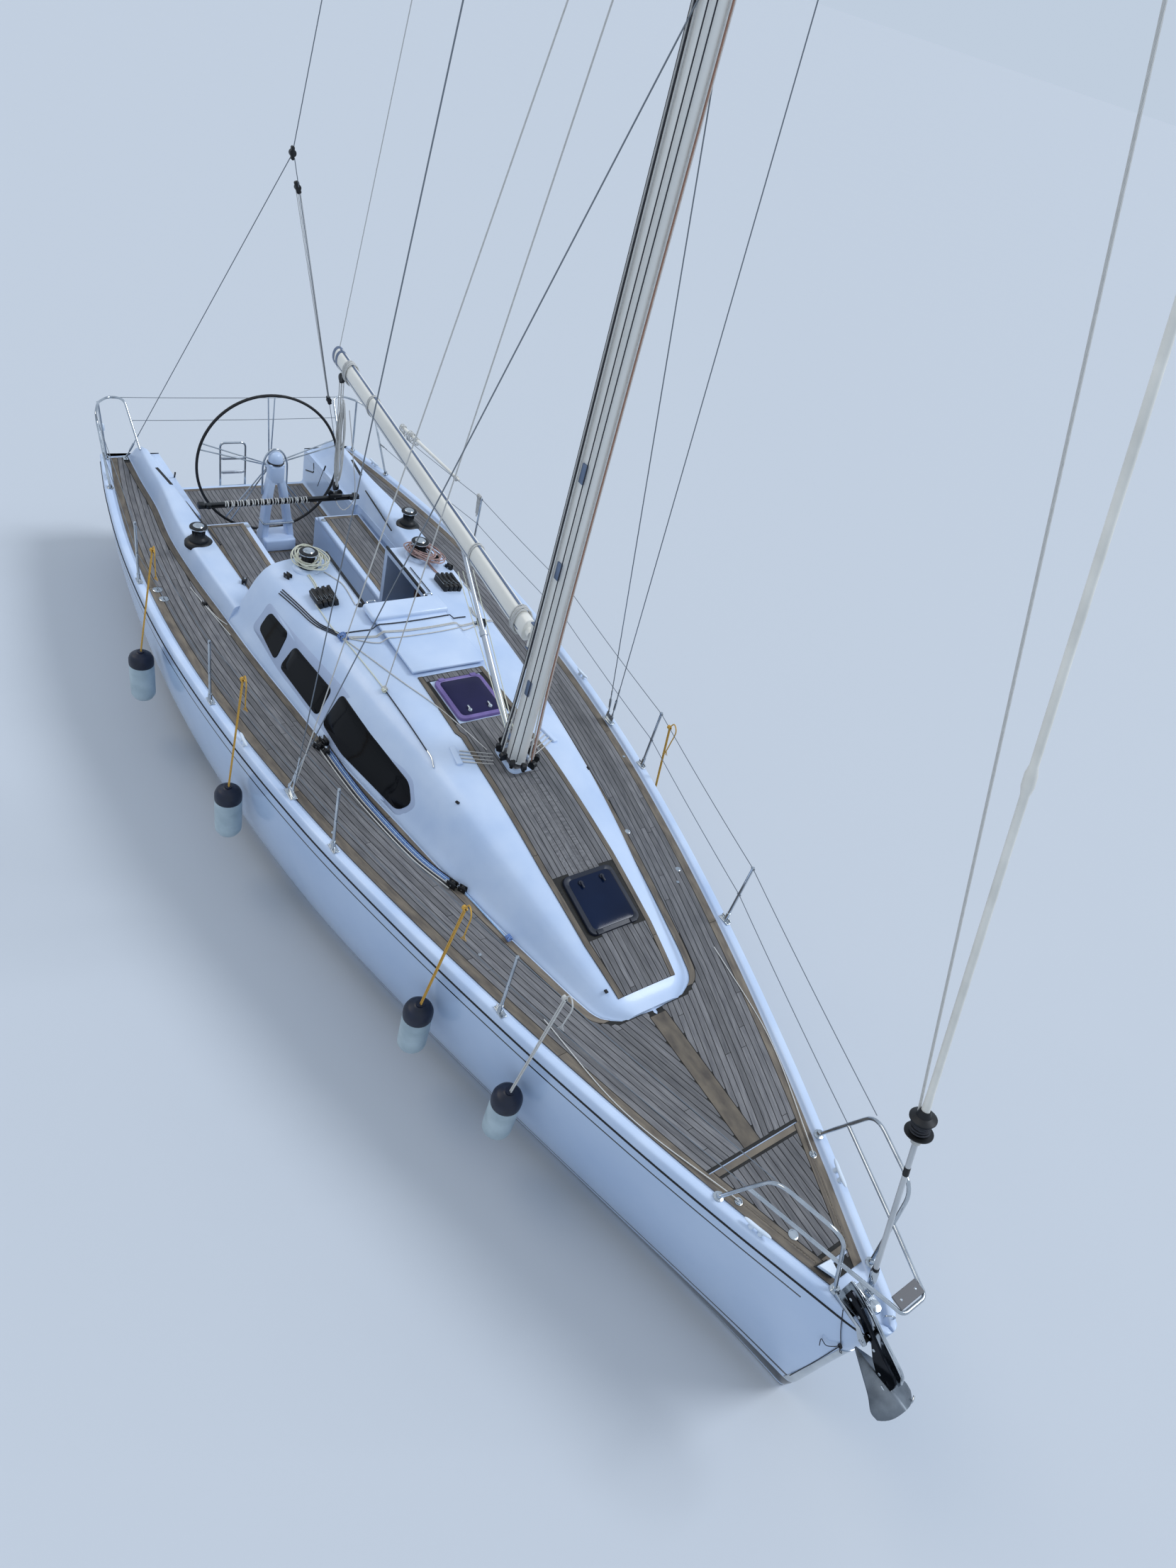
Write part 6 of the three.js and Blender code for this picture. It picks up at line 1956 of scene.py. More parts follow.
@dataclass
class Boom:
    """Boom, vang and mainsheet."""

    to_port: float = math.radians(6.1)

    def at(self, distance: float, lift: float = 0.0, side: float = 0.0) -> Array:
        """A point so far along the boom, raised and set to port of it."""
        aim = np.array([-math.cos(self.to_port), math.sin(self.to_port), 0.004])
        across = np.array([math.sin(self.to_port), math.cos(self.to_port), 0])
        return GOOSENECK + aim * distance + across * side + np.array([0, 0, lift])

    def build(self) -> None:
        """A rounded section carried along the boom, its end fittings, the vang and the sheet."""
        a = around(28)
        wide, tall = 0.058 * np.sign(np.cos(a)) * np.abs(np.cos(a)) ** 0.8, 0.09 * np.sin(a)
        stations = ((0.055, 0.93), (0.06, 1.0), (1.5, 1.0), (3.0, 1.0), (4.7, 1.0), (4.78, 0.96))
        rings = np.stack([np.stack([self.at(d, t * s, w * s) for w, t in zip(wide, tall)])
                          for d, s in stations])
        tube = Shape().grid(rings, wrap_v=True, caps=True)
        tube.rod((GOOSENECK[0], 0, GOOSENECK[2] - 0.1), (GOOSENECK[0], 0, GOOSENECK[2] + 0.1),
                 0.018, 16)
        tube.tube(np.array([self.at(0.0), self.at(0.07)]), 0.035, 12)
        piece = tube.build("boom_tube", WHITE_SPAR, "boom_body", "spar_alloy", 45)
        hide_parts("boom")
        trim = Shape()
        trim.tube(np.array([self.at(0.2, 0.090), self.at(4.7, 0.090)]), 0.010, 8)
        for side in (-0.056, 0.056):
            trim.tube(np.array([self.at(0.12, -0.028, side), self.at(4.72, -0.028, side)]), 0.0045,
                      6)
        for d in (4.72, 4.62):
            trim.tube(np.array([self.at(d, 0, 0), self.at(d + 0.05, 0, 0)]), 0.062, 20, flat=1.52)
        trim.build("boom_track", SPAR_GREY, "boom_body", "spar_alloy")
        foot, head = np.array([GOOSENECK[0], 0, 2.01]), self.at(1.33, -0.086)
        vang = Shape()
        joint = foot + (head - foot) * 0.52
        vang.tube(straight(foot, joint), 0.025, 16)
        vang.tube(straight(joint, head), 0.018, 16)
        vang.disc(0.034, 0.02, joint, 18, tuple(head - foot))
        vang.rod((GOOSENECK[0], 0, 1.988), (GOOSENECK[0], 0, 2.03), 0.02, 14)
        vang.box(self.at(1.33, -0.094), (0.16, 0.04, 0.03), 0.01, (0, 0, -6.1))
        strut = vang.build("vang_strut", ALLOY, "boom_body", "spar_alloy")
        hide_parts("vang")
        tackle = Shape()
        low = foot + np.array([0.02, 0.0, 0.06])
        for side in (-0.035, -0.012, 0.012, 0.035):
            across = np.array([0, side, -0.03])
            tackle.tube(straight(low + across, foot + (head - foot) * 0.9 + across * 2, 6), 0.0045,
                        6)
        tackle.build("vang_tackle", ROPE_GREEN, "boom_body", "rope")
        self.wraps()
        self.sheet()

    def wraps(self) -> None:
        """Rope lashings on the boom: at the outer end and at the gooseneck."""
        lash = Shape()
        for start, turns, size in ((4.30, 9, 1.15), (3.62, 3, 1.06), (1.05, 3, 1.06),
                                   (0.16, 6, 1.2)):
            a = winding(turns, turns * 16)
            d = start + 0.011 * a / (2 * np.pi) + 0.008 * np.sin(a * 0.6)
            path = np.array([self.at(x, 0.094 * size * math.sin(t), 0.062 * size * math.cos(t))
                             for x, t in zip(d, a)])
            lash.tube(path, 0.006, 6, up=(1, 0, 0))
        lash.build("boom_lashings", ROPE_WHITE, "boom_body", "rope")

    def sheet(self) -> None:
        """Four parts of the mainsheet between the blocks on the boom and on the traveller's car."""
        top, foot = self.at(4.60, -0.20), np.array([-3.985, 0.61, 1.478])
        parts = Shape()
        for dx, dy in ((-0.022, -0.012), (-0.022, 0.014), (0.022, -0.012), (0.022, 0.014)):
            off = np.array([dx, dy, 0])
            parts.tube(straight(foot + off, top + off, 24), 0.0055, 6, up=(1, 0, 0))
        for drop, loops, seed in ((0.62, 6, 3), (1.02, 7, 8)):
            parts.tube(hank(top + [0.02, 0.03, -0.18], drop, loops, 0.10, seed), 0.0055, 6,
                       up=(1, 0.2, 0))
        bight = smooth([(-3.985, 0.62, 1.66), (-3.98, 0.60, 1.36), (-3.93, 0.70, 1.20),
                        (-3.95, 0.83, 1.33), (-3.985, 0.79, 1.80), (-3.99, 0.70, 2.35)], 40)
        parts.tube(bight, 0.0055, 6, up=(1, 0.2, 0))
        sheet = parts.build("mainsheet_parts", ROPE_WHITE, HULL, "rope")
        blocks = Shape()
        for place in (top + [0, 0, 0.045], foot):
            blocks.lathe([(0, -0.022), (0.040, -0.022), (0.036, -0.008), (0.036, 0.008),
                          (0.040, 0.022), (0, 0.022)],
                         place, 20, (0, 1, 0))
            blocks.box(place - np.array([0, 0, 0.002]), (0.036, 0.052, 0.10), 0.012)
        blocks.rod(top + [0, 0, 0.05], self.at(4.60, -0.085), 0.010)
        hung = blocks.build("mainsheet_blocks", BLACK, HULL, "black_alloy")
        for piece in (sheet, hung):
            piece.parent = None
            tuple(top)
            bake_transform(piece)
        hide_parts("mainsheet")


@dataclass
class Rigging:
    """Standing rigging: shrouds over the spreaders, the backstay on its bridle, and their
    fittings."""

    foot: tuple = (0.326, 1.545, 1.42)
    bridle: tuple = (-4.06, 0.0, 4.65)
    quarter: tuple = (-5.41, 1.243)
    # Radius and height along the wire of a toggle, rigging screw and swage.
    screw: tuple = ((0, 0), (0.011, 0), (0.011, 0.03), (0.006, 0.045), (0.006, 0.09),
                    (0.011, 0.095), (0.012, 0.21), (0.006, 0.22), (0.006, 0.27), (0.0075, 0.28),
                    (0.0075, 0.35), (0, 0.352))

    def shrouds(self, side: str, sign: int) -> None:
        """Cap shroud over both spreader tips, lower shroud and the upper diagonal, each on its
        screw.

        Args:
            side: The side's name.
            sign: -1 to starboard, 1 to port.
        """
        tips = [np.array([mast_at(h) - aft, sign * (half + 0.014), h + 0.04]) for h, half,
                aft in SPREADERS]
        beside = lambda h: np.array([mast_at(h), sign * 0.0714, h])
        foot = np.array([self.foot[0], sign * self.foot[1], self.foot[2]])
        wires, fittings = Shape(), Shape()
        for along, line in ((0.030, [tips[0], tips[1], beside(14.9)]), (-0.030, [beside(6.7)])):
            start = foot + np.array([along, 0, -0.01])
            wires.tube(np.array([start + unit(line[0] - start) * 0.3] + line), 0.0045, 6)
            fittings.lathe(self.screw, start, 12, tuple(unit(line[0] - start)))
            fittings.rod(start - [0, 0.012, 0], start + [0, 0.012, 0], 0.007)
        wires.tube(np.array([tips[0], beside(10.8)]), 0.0035, 6)
        for tip in tips:
            fittings.box(tip, (0.075, 0.020, 0.034), 0.008)
        fittings.box(foot - [0, 0, 0.045], (0.105, 0.010, 0.085), 0.004)
        fittings.box(foot - [0, 0, 0.072], (0.135, 0.060, 0.008), 0.003)
        piece = wires.build(f"shrouds_{side}_wires", WIRE, HULL, "stainless")
        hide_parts(f"shrouds_{side}")
        fittings.build(f"shrouds_{side}_screws", STEEL, HULL, "stainless")

    def backstay(self) -> None:
        """The single wire, the bridle's two legs, and the purchase that hauls the port leg down."""
        bridle = np.array(self.bridle)
        feet = {s: np.array([self.quarter[0], s * self.quarter[1],
                             float(FORM.deck_z(np.array(self.quarter[0]),
                                               np.array(self.quarter[1])))])
                for s in SIDES.values()}
        top = np.array([mast_at(MASTHEAD_Z) - 0.266, 0, MASTHEAD_Z - 0.04])
        wire, fittings, blocks, ropes = Shape(), Shape(), Shape(), Shape()
        wire.tube(straight(top, bridle + unit(top - bridle) * 0.06, 3), 0.0045, 6)
        blocks.box(bridle, (0.050, 0.030, 0.110), 0.014)
        blocks.disc(0.030, 0.018, bridle, 18, (1, 0, 0))
        for sign, foot in feet.items():
            aim = unit(bridle - foot)
            end = bridle + np.array([0, sign * 0.02, -0.04])
            start = foot + aim * 0.04
            fittings.lathe(self.screw, start, 12, tuple(aim))
            fittings.box(foot + [0, 0, 0.013], (0.09, 0.05, 0.008), 0.003)
            fittings.rod(foot + [0, 0, 0.014], start, 0.008)
            wire.tube(np.array([start + aim * 0.3, end]), 0.004, 6)
        aim = unit(feet[PORT] - bridle)
        high, low = bridle + aim * 0.33, bridle + aim * 3.05
        for place in (high, low):
            blocks.box(place, (0.040, 0.045, 0.105), 0.013,
                       (math.degrees(math.atan2(aim[1], -aim[2])), 0, 0))
            blocks.disc(0.028, 0.02, place, 16, (1, 0, 0))
        for dx, dy in ((-0.014, 0.0), (0.0, 0.020), (0.0, -0.020)):
            ropes.tube(straight(high + [dx, dy, 0], low + [dx * 0.3, dy * 0.4, 0], 3), 0.0036, 6)
        piece = wire.build("backstay_wires", WIRE, HULL, "stainless")
        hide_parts("backstay")
        fittings.build("backstay_screws", STEEL, HULL, "stainless")
        blocks.build("backstay_blocks", BLACK, HULL, "black_alloy")
        ropes.build("backstay_purchase", ROPE_WHITE, HULL, "rope")

    def build(self) -> None:
        """Builds both sides and the backstay."""
        for side, sign in SIDES.items():
            self.shrouds(side, sign)
        self.backstay()


@dataclass
class Forestay:
    """Strut, furling drum and foil on one straight line, with a halyard made fast beside it."""

    foot: tuple = (5.31, 0.0, 1.44)
    head_z: float = 14.6
    halyard_z: float = 12.3
    drum: float = 1.29

    def at(self, distance: float) -> Array:
        """A point so far up the stay."""
        foot, head = np.array(self.foot), np.array([mast_at(self.head_z) + 0.125, 0, self.head_z])
        return foot + unit(head - foot) * distance

    def build(self) -> None:
        """Turned sections carried up the stay, and the lashings round the drum as a rising coil."""
        aim = tuple(unit(self.at(1.0) - self.at(0.0)))
        strut = Shape().tube(np.array([self.at(0.20), self.at(self.drum - 0.0004)]), 0.016, 16)
        piece = strut.build("forestay_strut_tube", STRUT_GREY, HULL, "spar_alloy")
        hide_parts("forestay_strut")
        steel = Shape().lathe([(0, 0.02), (0.014, 0.02), (0.020, 0.05), (0.024, 0.09),
                               (0.025, 0.19), (0.019, 0.2), (0, 0.2)], self.foot, 18, aim)
        steel.box((5.315, 0, 1.424), (0.15, 0.052, 0.012), 0.004)
        for sign in SIDES.values():
            steel.box((5.312, sign * 0.017, 1.448), (0.046, 0.007, 0.050), 0.003)
        steel.rod((5.31, -0.026, 1.455), (5.31, 0.026, 1.455), 0.008)
        steel.lathe([(0, 0), (0.040, 0), (0.040, 0.018), (0.034, 0.030), (0, 0.034)],
                    (5.385, -0.015, 1.4125), 24)
        steel.build("stem_toggle", STEEL, HULL, "stainless")
        black = Shape().tube(np.array([self.at(0.985), self.at(1.045)]), 0.0175, 16)
        black.tube(np.array([self.at(0.205), self.at(0.222)]), 0.0205, 16)
        black.build("strut_bands", BLACK, HULL, "black_alloy")
        drum = Shape().lathe([(0, 0.0), (0.045, 0.0), (0.076, 0.010), (0.076, 0.018),
                              (0.030, 0.026), (0.030, 0.105), (0.072, 0.114), (0.072, 0.122),
                              (0.040, 0.135), (0.028, 0.17), (0, 0.17)],
                             self.at(self.drum), 28, aim)
        drum.build("furler_drum", BLACK, "furler_body", "black_alloy")
        a = winding(9, 190)
        axis = np.array(aim)
        side = np.array([0.0, 1.0, 0.0])
        out = np.cross(axis, side)
        coil = (self.at(self.drum + 0.03) + axis * (0.06 * a[:, None] / a[-1])
                + (0.043 + 0.008 * np.sin(a * 0.37))[:, None] * (np.cos(a)[:, None] * side
                                                                 + np.sin(a)[:, None] * out))
        Shape().tube(coil, 0.006, 6, up=(0.3, 0.2, 1)).build("furler_line", ROPE_BLACK,
                                                             "furler_body", "rope")
        top = np.linalg.norm(self.at(0)
                             - np.array([mast_at(self.head_z) + 0.125, 0, self.head_z])) - 0.018
        d = np.r_[self.drum + 0.14, self.drum + 0.30, 3.3, 3.34, 3.40, 3.44, top]
        wide = np.array([0.020, 0.0165, 0.0165, 0.024, 0.024, 0.0165, 0.0165])
        foil = Shape().tube(np.array([self.at(x) for x in d]), wide, 14, up=(1, 0, 0.2), flat=1.25)
        piece = foil.build("furler_foil", WHITE_SPAR, "furler_body", "spar_alloy")
        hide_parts("furler")
        low = self.at(self.drum - 0.06) + np.array([-0.022, 0.0, 0.0])
        head = np.array([mast_at(self.halyard_z) + 0.108, 0.0, self.halyard_z])
        line = Shape().tube(np.array([low, head]), 0.0075, 6)
        a = winding(4, 60)
        knot = self.at(self.drum - 0.06) + axis * (0.035 * a[:, None] / a[-1]) + 0.021 * (
            np.cos(a)[:, None] * side + np.sin(a)[:, None] * out)
        line.tube(knot, 0.0075, 6, up=(0.3, 0.2, 1))
        line.build("spare_halyard", ROPE_WHITE, HULL, "rope")


@dataclass
class Rails:
    """Pulpit, pushpits, stanchions and lifelines, all of one tube and one wire size."""

    tube: float = 0.0127
    post: float = 0.012
    wire: float = 0.0032
    stanchions: tuple = (-2.84, -0.93, 0.974, 2.73)
    inset: float = 0.028
    heights: tuple = (0.31, 0.61)
    # Where each lifeline, the lower one first, meets the stern's and the bow's tubes.
    ends: tuple = (((-4.912, 1.568, 1.480), (4.53, 0.442, 1.72)),
                   ((-5.15, 1.56, 1.78), (4.62, 0.44, 1.995)))

    def foot(self, shape: Shape, place: Sequence[float]) -> None:
        """A round flange with a collar under a tube's end."""
        shape.lathe([(0, 0.0005), (0.034, 0.0005), (0.034, 0.005), (0.020, 0.009), (0.018, 0.035),
                     (0, 0.035)],
                    place, 20)

    def flip(self, points: Sequence[Sequence[float]], sign: int) -> list:
        """The points on the side that `sign` gives."""
        return [(x, sign * y, z) for x, y, z in points]

    def pulpit(self) -> None:
        """Two open frames at the bow with the lower rail carried round the nose, and the wooden
        step."""
        frame = Shape()
        for sign in SIDES.values():
            aft, fore = on_rail(4.43, sign,
                                float(FORM.half(np.array(4.43))) - 0.45), (5.195, sign * 0.16, 1.41)
            hoop = [aft] + self.flip([(4.53, 0.442, 1.72), (4.62, 0.44, 1.995),
                                      (5.055, 0.295, 1.995)], sign) + [fore]
            frame.tube(rounded_path(hoop, 0.11, 7), self.tube, 12, up=(0.3, 1, 0.2))
            self.foot(frame, aft)
            self.foot(frame, fore)
        nose = [(4.53, 0.442, 1.72), (5.15, 0.225, 1.725), (5.42, 0.125, 1.725)]
        corners = self.flip(nose, 1) + [(5.50, 0.10, 1.725),
                                        (5.50, -0.10, 1.725)] + self.flip(nose, -1)[::-1]
        frame.tube(rounded_path(corners, 0.06, 7), self.tube, 12)
        piece = frame.build("pulpit_tubes", STEEL, HULL, "stainless", 60)
        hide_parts("pulpit")
        step = Shape().box((5.44, 0, 1.742), (0.082, 0.205, 0.012), 0.005)
        step.build("pulpit_step", TEAK, HULL, "teak")
        screws = Shape()
        for y in (-0.062, 0.062):
            screws.lathe([(0, 0.002), (0.007, 0.001), (0.008, 0)], (5.44, y, 1.748), 12)
        screws.build("pulpit_step_screws", STEEL, HULL, "stainless")

    def pushpits(self) -> None:
        """A rail round each stern quarter on three legs, joined across the stern by two wires."""
        for side, sign in SIDES.items():
            frame = Shape()
            fore = on_rail(-4.69, sign, float(FORM.half(np.array(-4.69))) - 1.575)
            aft = on_rail(-5.38, sign, float(FORM.half(np.array(-5.38))) - 1.44)
            rail = [fore] + self.flip([(-5.15, 1.56, 1.78), (-5.43, 1.47, 1.78),
                                       (-5.56, 1.33, 1.78), (-5.51, 1.19, 1.78),
                                       (-5.13, 1.15, 1.385)], sign)
            frame.tube(rounded_path(rail, 0.10, 7), self.tube, 12, up=(0.2, 1, 0.3))
            frame.rod(aft, (-5.44, sign * 1.468, 1.78), self.tube, 12)
            for place in (fore, aft):
                self.foot(frame, place)
            piece = frame.build(f"pushpit_{side}_tubes", STEEL, HULL, "stainless", 60)
            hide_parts(f"pushpit_{side}")
        wires = Shape()
        for a, b in (((-5.552, 1.29, 1.775), (-5.552, -1.29, 1.775)),
                     ((-5.37, 1.17, 1.60), (-5.37, -1.17, 1.60))):
            wires.tube(straight(a, b, 12, 0.01), self.wire, 6)
        wires.build("stern_wires", WIRE, HULL, "stainless")

    def guard(self, side: str, sign: int) -> None:
        """Stanchions on sockets with two lifelines through them, each on a screw at its aft end.

        Args:
            side: The side's name.
            sign: -1 to starboard, 1 to port.
        """
        posts, sockets, lines = Shape(), Shape(), Shape()
        for x in self.stanchions:
            base = np.array(on_rail(x, sign, self.inset))
            posts.tube(straight(base, base + [0, 0, self.heights[1] + 0.006], 2), self.post, 12)
            posts.lathe([(0, 0.012), (0.010, 0.010), (0.0125, 0)],
                        base + [0, 0, self.heights[1] + 0.004], 12)
            sockets.lathe([(0, 0.0005), (0.020, 0.0005), (0.0165, 0.02), (0.0165, 0.085),
                           (0, 0.085)], base, 16)
            sockets.box(base + [0, -sign * 0.006, 0.005], (0.105, 0.050, 0.008), 0.004)
            for along in (-0.042, 0.042):
                sockets.box(base + [along * 0.62, 0, 0.022], (0.045, 0.010, 0.030), 0.004)
                sockets.lathe([(0, 0.004), (0.006, 0.003), (0.007, 0)],
                              base + [along, -sign * 0.006, 0.009], 8)
            for height in self.heights:
                lines.disc(0.008, 0.016, base + [0, 0, height],
                            10, (1, 0, 0))
        for height, (aft, fore) in zip(self.heights, self.ends):
            held = [np.array(on_rail(x, sign, self.inset, height)) for x in self.stanchions]
            ends = [np.array(p) for p in self.flip([aft, fore], sign)]
            route = [ends[0]] + held + [ends[1]]
            for a, b in zip(route[:-1], route[1:]):
                lines.tube(straight(a, b, 9, 0.012), self.wire, 6)
            aim = unit(held[0] - ends[0])
            lines.lathe([(0, 0.01), (0.007, 0.01), (0.008, 0.10), (0.005, 0.11), (0.005, 0.16),
                         (0, 0.16)],
                        ends[0], 10, tuple(aim))
        piece = posts.build(f"stanchions_{side}", STEEL, HULL, "stainless")
        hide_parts(f"guard_rail_{side}")
        sockets.build(f"stanchion_sockets_{side}", STEEL, HULL, "stainless")
        lines.build(f"lifelines_{side}", WIRE, HULL, "stainless")

    def ladder(self) -> None:
        """The folded stern ladder: a bent frame, two steps and the pin it turns on."""
        x, half, low, high = -5.56, 0.15, 0.66, 1.215
        corners = [(x, -half, low), (x, -half, high), (x, half, high), (x, half, low)]
        frame = Shape().tube(rounded_path(corners, 0.06, 7), self.tube, 12, up=(1, 0, 0))
        frame.rod((x, -half - 0.013, low), (x, half + 0.013, low), self.tube, 14)
        for z in (low + 0.18, low + 0.36):
            frame.rod((x, -half, z), (x, half, z), self.tube, 12)
        piece = frame.build("ladder_frame", STEEL, "ladder_body", "stainless")
        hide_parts("swim_ladder")
        treads = Shape()
        for z in (low + 0.18, low + 0.36):
            treads.box((x, 0, z), (0.030, half * 1.7, 0.036), 0.010)
        treads.build("ladder_treads", ALLOY, "ladder_body", "stainless")

    def build(self) -> None:
        """Builds all rails."""
        self.pulpit()
        self.pushpits()
        for side, sign in SIDES.items():
            self.guard(side, sign)
        self.ladder()


@dataclass
class GroundTackle:
    """Bow roller, anchor, stem guard, cleats and the small fittings of the foredeck."""

    shank: tuple = (-0.160, -0.142)
    wheel: tuple = (5.48, 1.3676)

    def roller(self) -> None:
        """A base on the rail, a tall port cheek with a turned edge, a low starboard cheek, a
        wheel."""
        steel = Shape().box((5.2875, -0.147, 1.4129), (0.145, 0.086, 0.005), 0.0015)
        steel.ribbon([(5.215, 1.4104), (5.474, 1.4104), (5.482, 1.340), (5.560, 1.322),
                      (5.758, 1.288)],
                     [(5.215, 1.530), (5.222, 1.534), (5.306, 1.526), (5.415, 1.495),
                      (5.540, 1.438), (5.636, 1.404), (5.729, 1.365), (5.758, 1.312)], -0.112,
                     -0.104)
        steel.ribbon([(5.215, 1.4104), (5.400, 1.4104), (5.462, 1.345), (5.500, 1.345),
                      (5.506, 1.362)],
                     [(5.215, 1.438), (5.235, 1.440), (5.420, 1.434), (5.506, 1.388)], -0.190,
                     -0.182)
        edge = smooth([(5.225, -0.104, 1.532), (5.306, -0.100, 1.525), (5.415, -0.097, 1.494),
                       (5.540, -0.095, 1.437), (5.651, -0.094, 1.397), (5.729, -0.096, 1.365),
                       (5.755, -0.104, 1.318)], 44)
        steel.tube(edge, 0.0075, 8)
        x, z = self.wheel
        steel.rod((x, -0.194, z), (x, -0.098, z), 0.008, 12)
        piece = steel.build("bow_roller_channel", STEEL, HULL, "stainless", 45)
        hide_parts("bow_roller")
        wheel = Shape().lathe([(0, -0.182), (0.024, -0.182), (0.018, -0.153), (0.024, -0.124),
                               (0, -0.124)],
                              (x, 0, z), 24, (0, 1, 0))
        wheel.build("bow_roller_wheel", RUBBER, HULL, "stainless")

    def anchor(self) -> None:
        """Polished anchor: a bent plate shank, and a blade of two wings that fall from a ridge.

        The blade: x grows with u and is swept back by the cube of v towards each side; y is v times
        a half-breadth read along u; z is the ridge less a drop that grows with v to the power 1.15.
        """
        y0, y1 = self.shank
        shank = Shape().ribbon([(5.250, 1.464), (5.360, 1.430), (5.424, 1.415), (5.458, 1.392),
                                (5.512, 1.392), (5.574, 1.311), (5.650, 1.244), (5.748, 1.250)],
                               [(5.250, 1.530), (5.262, 1.540), (5.359, 1.514), (5.488, 1.456),
                                (5.603, 1.402), (5.709, 1.370), (5.740, 1.345), (5.748, 1.318)], y0,
                               y1, 0.003)
        piece = shank.build("anchor_shank", DARK_STEEL, HULL, "stainless", 30)
        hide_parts("anchor")
        rows = np.array([[0, 0.004, 1.228, 0.001], [0.32, 0.062, 1.246, 0.020],
                         [0.63, 0.112, 1.266, 0.045], [0.84, 0.150, 1.276, 0.066],
                         [1.0, 0.146, 1.280, 0.070]])
        u = np.linspace(0, 1, 26)
        half, ridge, drop = (hermite(rows[:, 0], rows[:, k], u)[:, None] for k in (1, 2, 3))
        u, v = u[:, None], np.linspace(-1, 1, 19)[None]
        x = 5.478 + 0.384 * u - 0.050 * np.abs(v) ** 3 * u**2
        out = np.abs(v) ** 1.15
        top = np.stack([x + 0 * v, (y0 + y1) / 2 + half * v, ridge - drop * out], -1)
        under = top - np.array([0, 0, 0.011])
        Shape().grid(np.concatenate([top, under[:, ::-1]], 1), wrap_v=True, caps=True).build(
            "anchor_blade", BLADE_STEEL, HULL, "stainless", 40)
        bits = Shape()
        for x, z in ((5.285, 1.485), (5.378, 1.446), (5.478, 1.418), (5.547, 1.372),
                     (5.654, 1.275)):
            bits.lathe([(0, 0.0025), (0.008, 0.0020), (0.010, 0)], (x, y0, z), 12, (0, -1, 0))
            bits.lathe([(0, 0.0025), (0.008, 0.0020), (0.010, 0)], (x, y1, z), 12, (0, 1, 0))
        bits.tube(smooth([(5.70, y0 - 0.02, 1.258), (5.80, -0.175, 1.232), (5.835, -0.14, 1.225),
                          (5.855, -0.06, 1.235), (5.84, -0.03, 1.244)], 18), 0.006, 8)
        bits.build("anchor_bolts", STEEL, HULL, "stainless")

    def stem(self) -> None:
        """The polished guard wrapped round the stem, and the cords tied round it."""
        outer = np.array([self.water_line(height) for height in np.linspace(0.20, 1.0, 30)])
        inner = outer - np.array([0.006, 0, 0])
        points = np.concatenate([outer, inner[:, ::-1]], 1)
        piece = Shape().grid(points, wrap_v=True, caps=True).build("stem_guard", MIRROR, HULL,
                                                                   "stainless", 40)
        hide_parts("stem_plate")
        cords = Shape()
        knot = (5.43, -0.125, 1.06)
        for path in ([(5.30, -0.188, 1.40), (5.37, -0.165, 1.22), knot],
                     [knot, self.water_line(0.60)[0] + [0, -0.006, 0.15],
                      self.water_line(0.30)[0] + [0, -0.006, 0]],
                     [knot, (5.45, -0.118, 1.0), self.water_line(0.97)[3] + [0, -0.006, 0]],
                     [knot, (5.41, -0.145, 1.02), (5.38, -0.160, 0.98), (5.34, -0.172, 1.0),
                      (5.36, -0.168, 0.93)]):
            cords.tube(smooth(path, 24), 0.0028, 6)
        a = winding(3, 40)
        twist = np.array(knot) + np.stack([0.012 * np.cos(a), -0.006 + 0.004 * np.sin(a * 0.4),
                                           0.012 * np.sin(a)], 1)
        cords.tube(twist, 0.004, 6, up=(0, 1, 0))
        cords.build("stem_cords", ROPE_BLACK, HULL, "rope")

    def water_line(self, z: float, reach: float = 0.12, count: int = 13) -> Array:
        """Points round the stem at a height, from starboard to port, a hair outside the skin.

        The place where the skin is y wide is read off the sections; the rounded tip follows the
        cosine.

        Args:
            z: The height.
            reach: How far round from the stem it goes.
            count: Points on each side.

        Returns:
            The points.
        """
        xs = np.linspace(5.34, 5.505, 34)
        rows = FORM.section(xs, 60)
        wide = np.array([np.interp(z, r[::-1, 2], r[::-1, 1], left=0.0) for r in rows])
        a = np.linspace(0.25, 1.45, 6)
        tip_x, tip_y = 5.505 + 0.035 * np.sin(a), wide[-1] * np.cos(a)
        if wide[-1] > 0:
            x, y = np.r_[xs, tip_x, 5.5405], np.r_[wide, tip_y, 0.0]
        else:
            firm = wide > 1e-4
            stem = np.interp(z, FORM.at(Col.KEEL, xs), xs)
            x, y = np.r_[xs[firm], stem], np.r_[wide[firm], 0.0]
        s = np.r_[0, np.cumsum(np.hypot(np.diff(x), np.diff(y)))]
        at = np.linspace(max(s[-1] - reach, 0), s[-1], count)
        px, py = np.interp(at, s, x), np.interp(at, s, y)
        star = np.stack([px + 0.0035, -(py + 0.0035 * (py > 1e-4)), np.full(count, z)], 1)
        port = star[-2::-1] * np.array([1.0, -1.0, 1.0])
        return np.vstack([star, port])

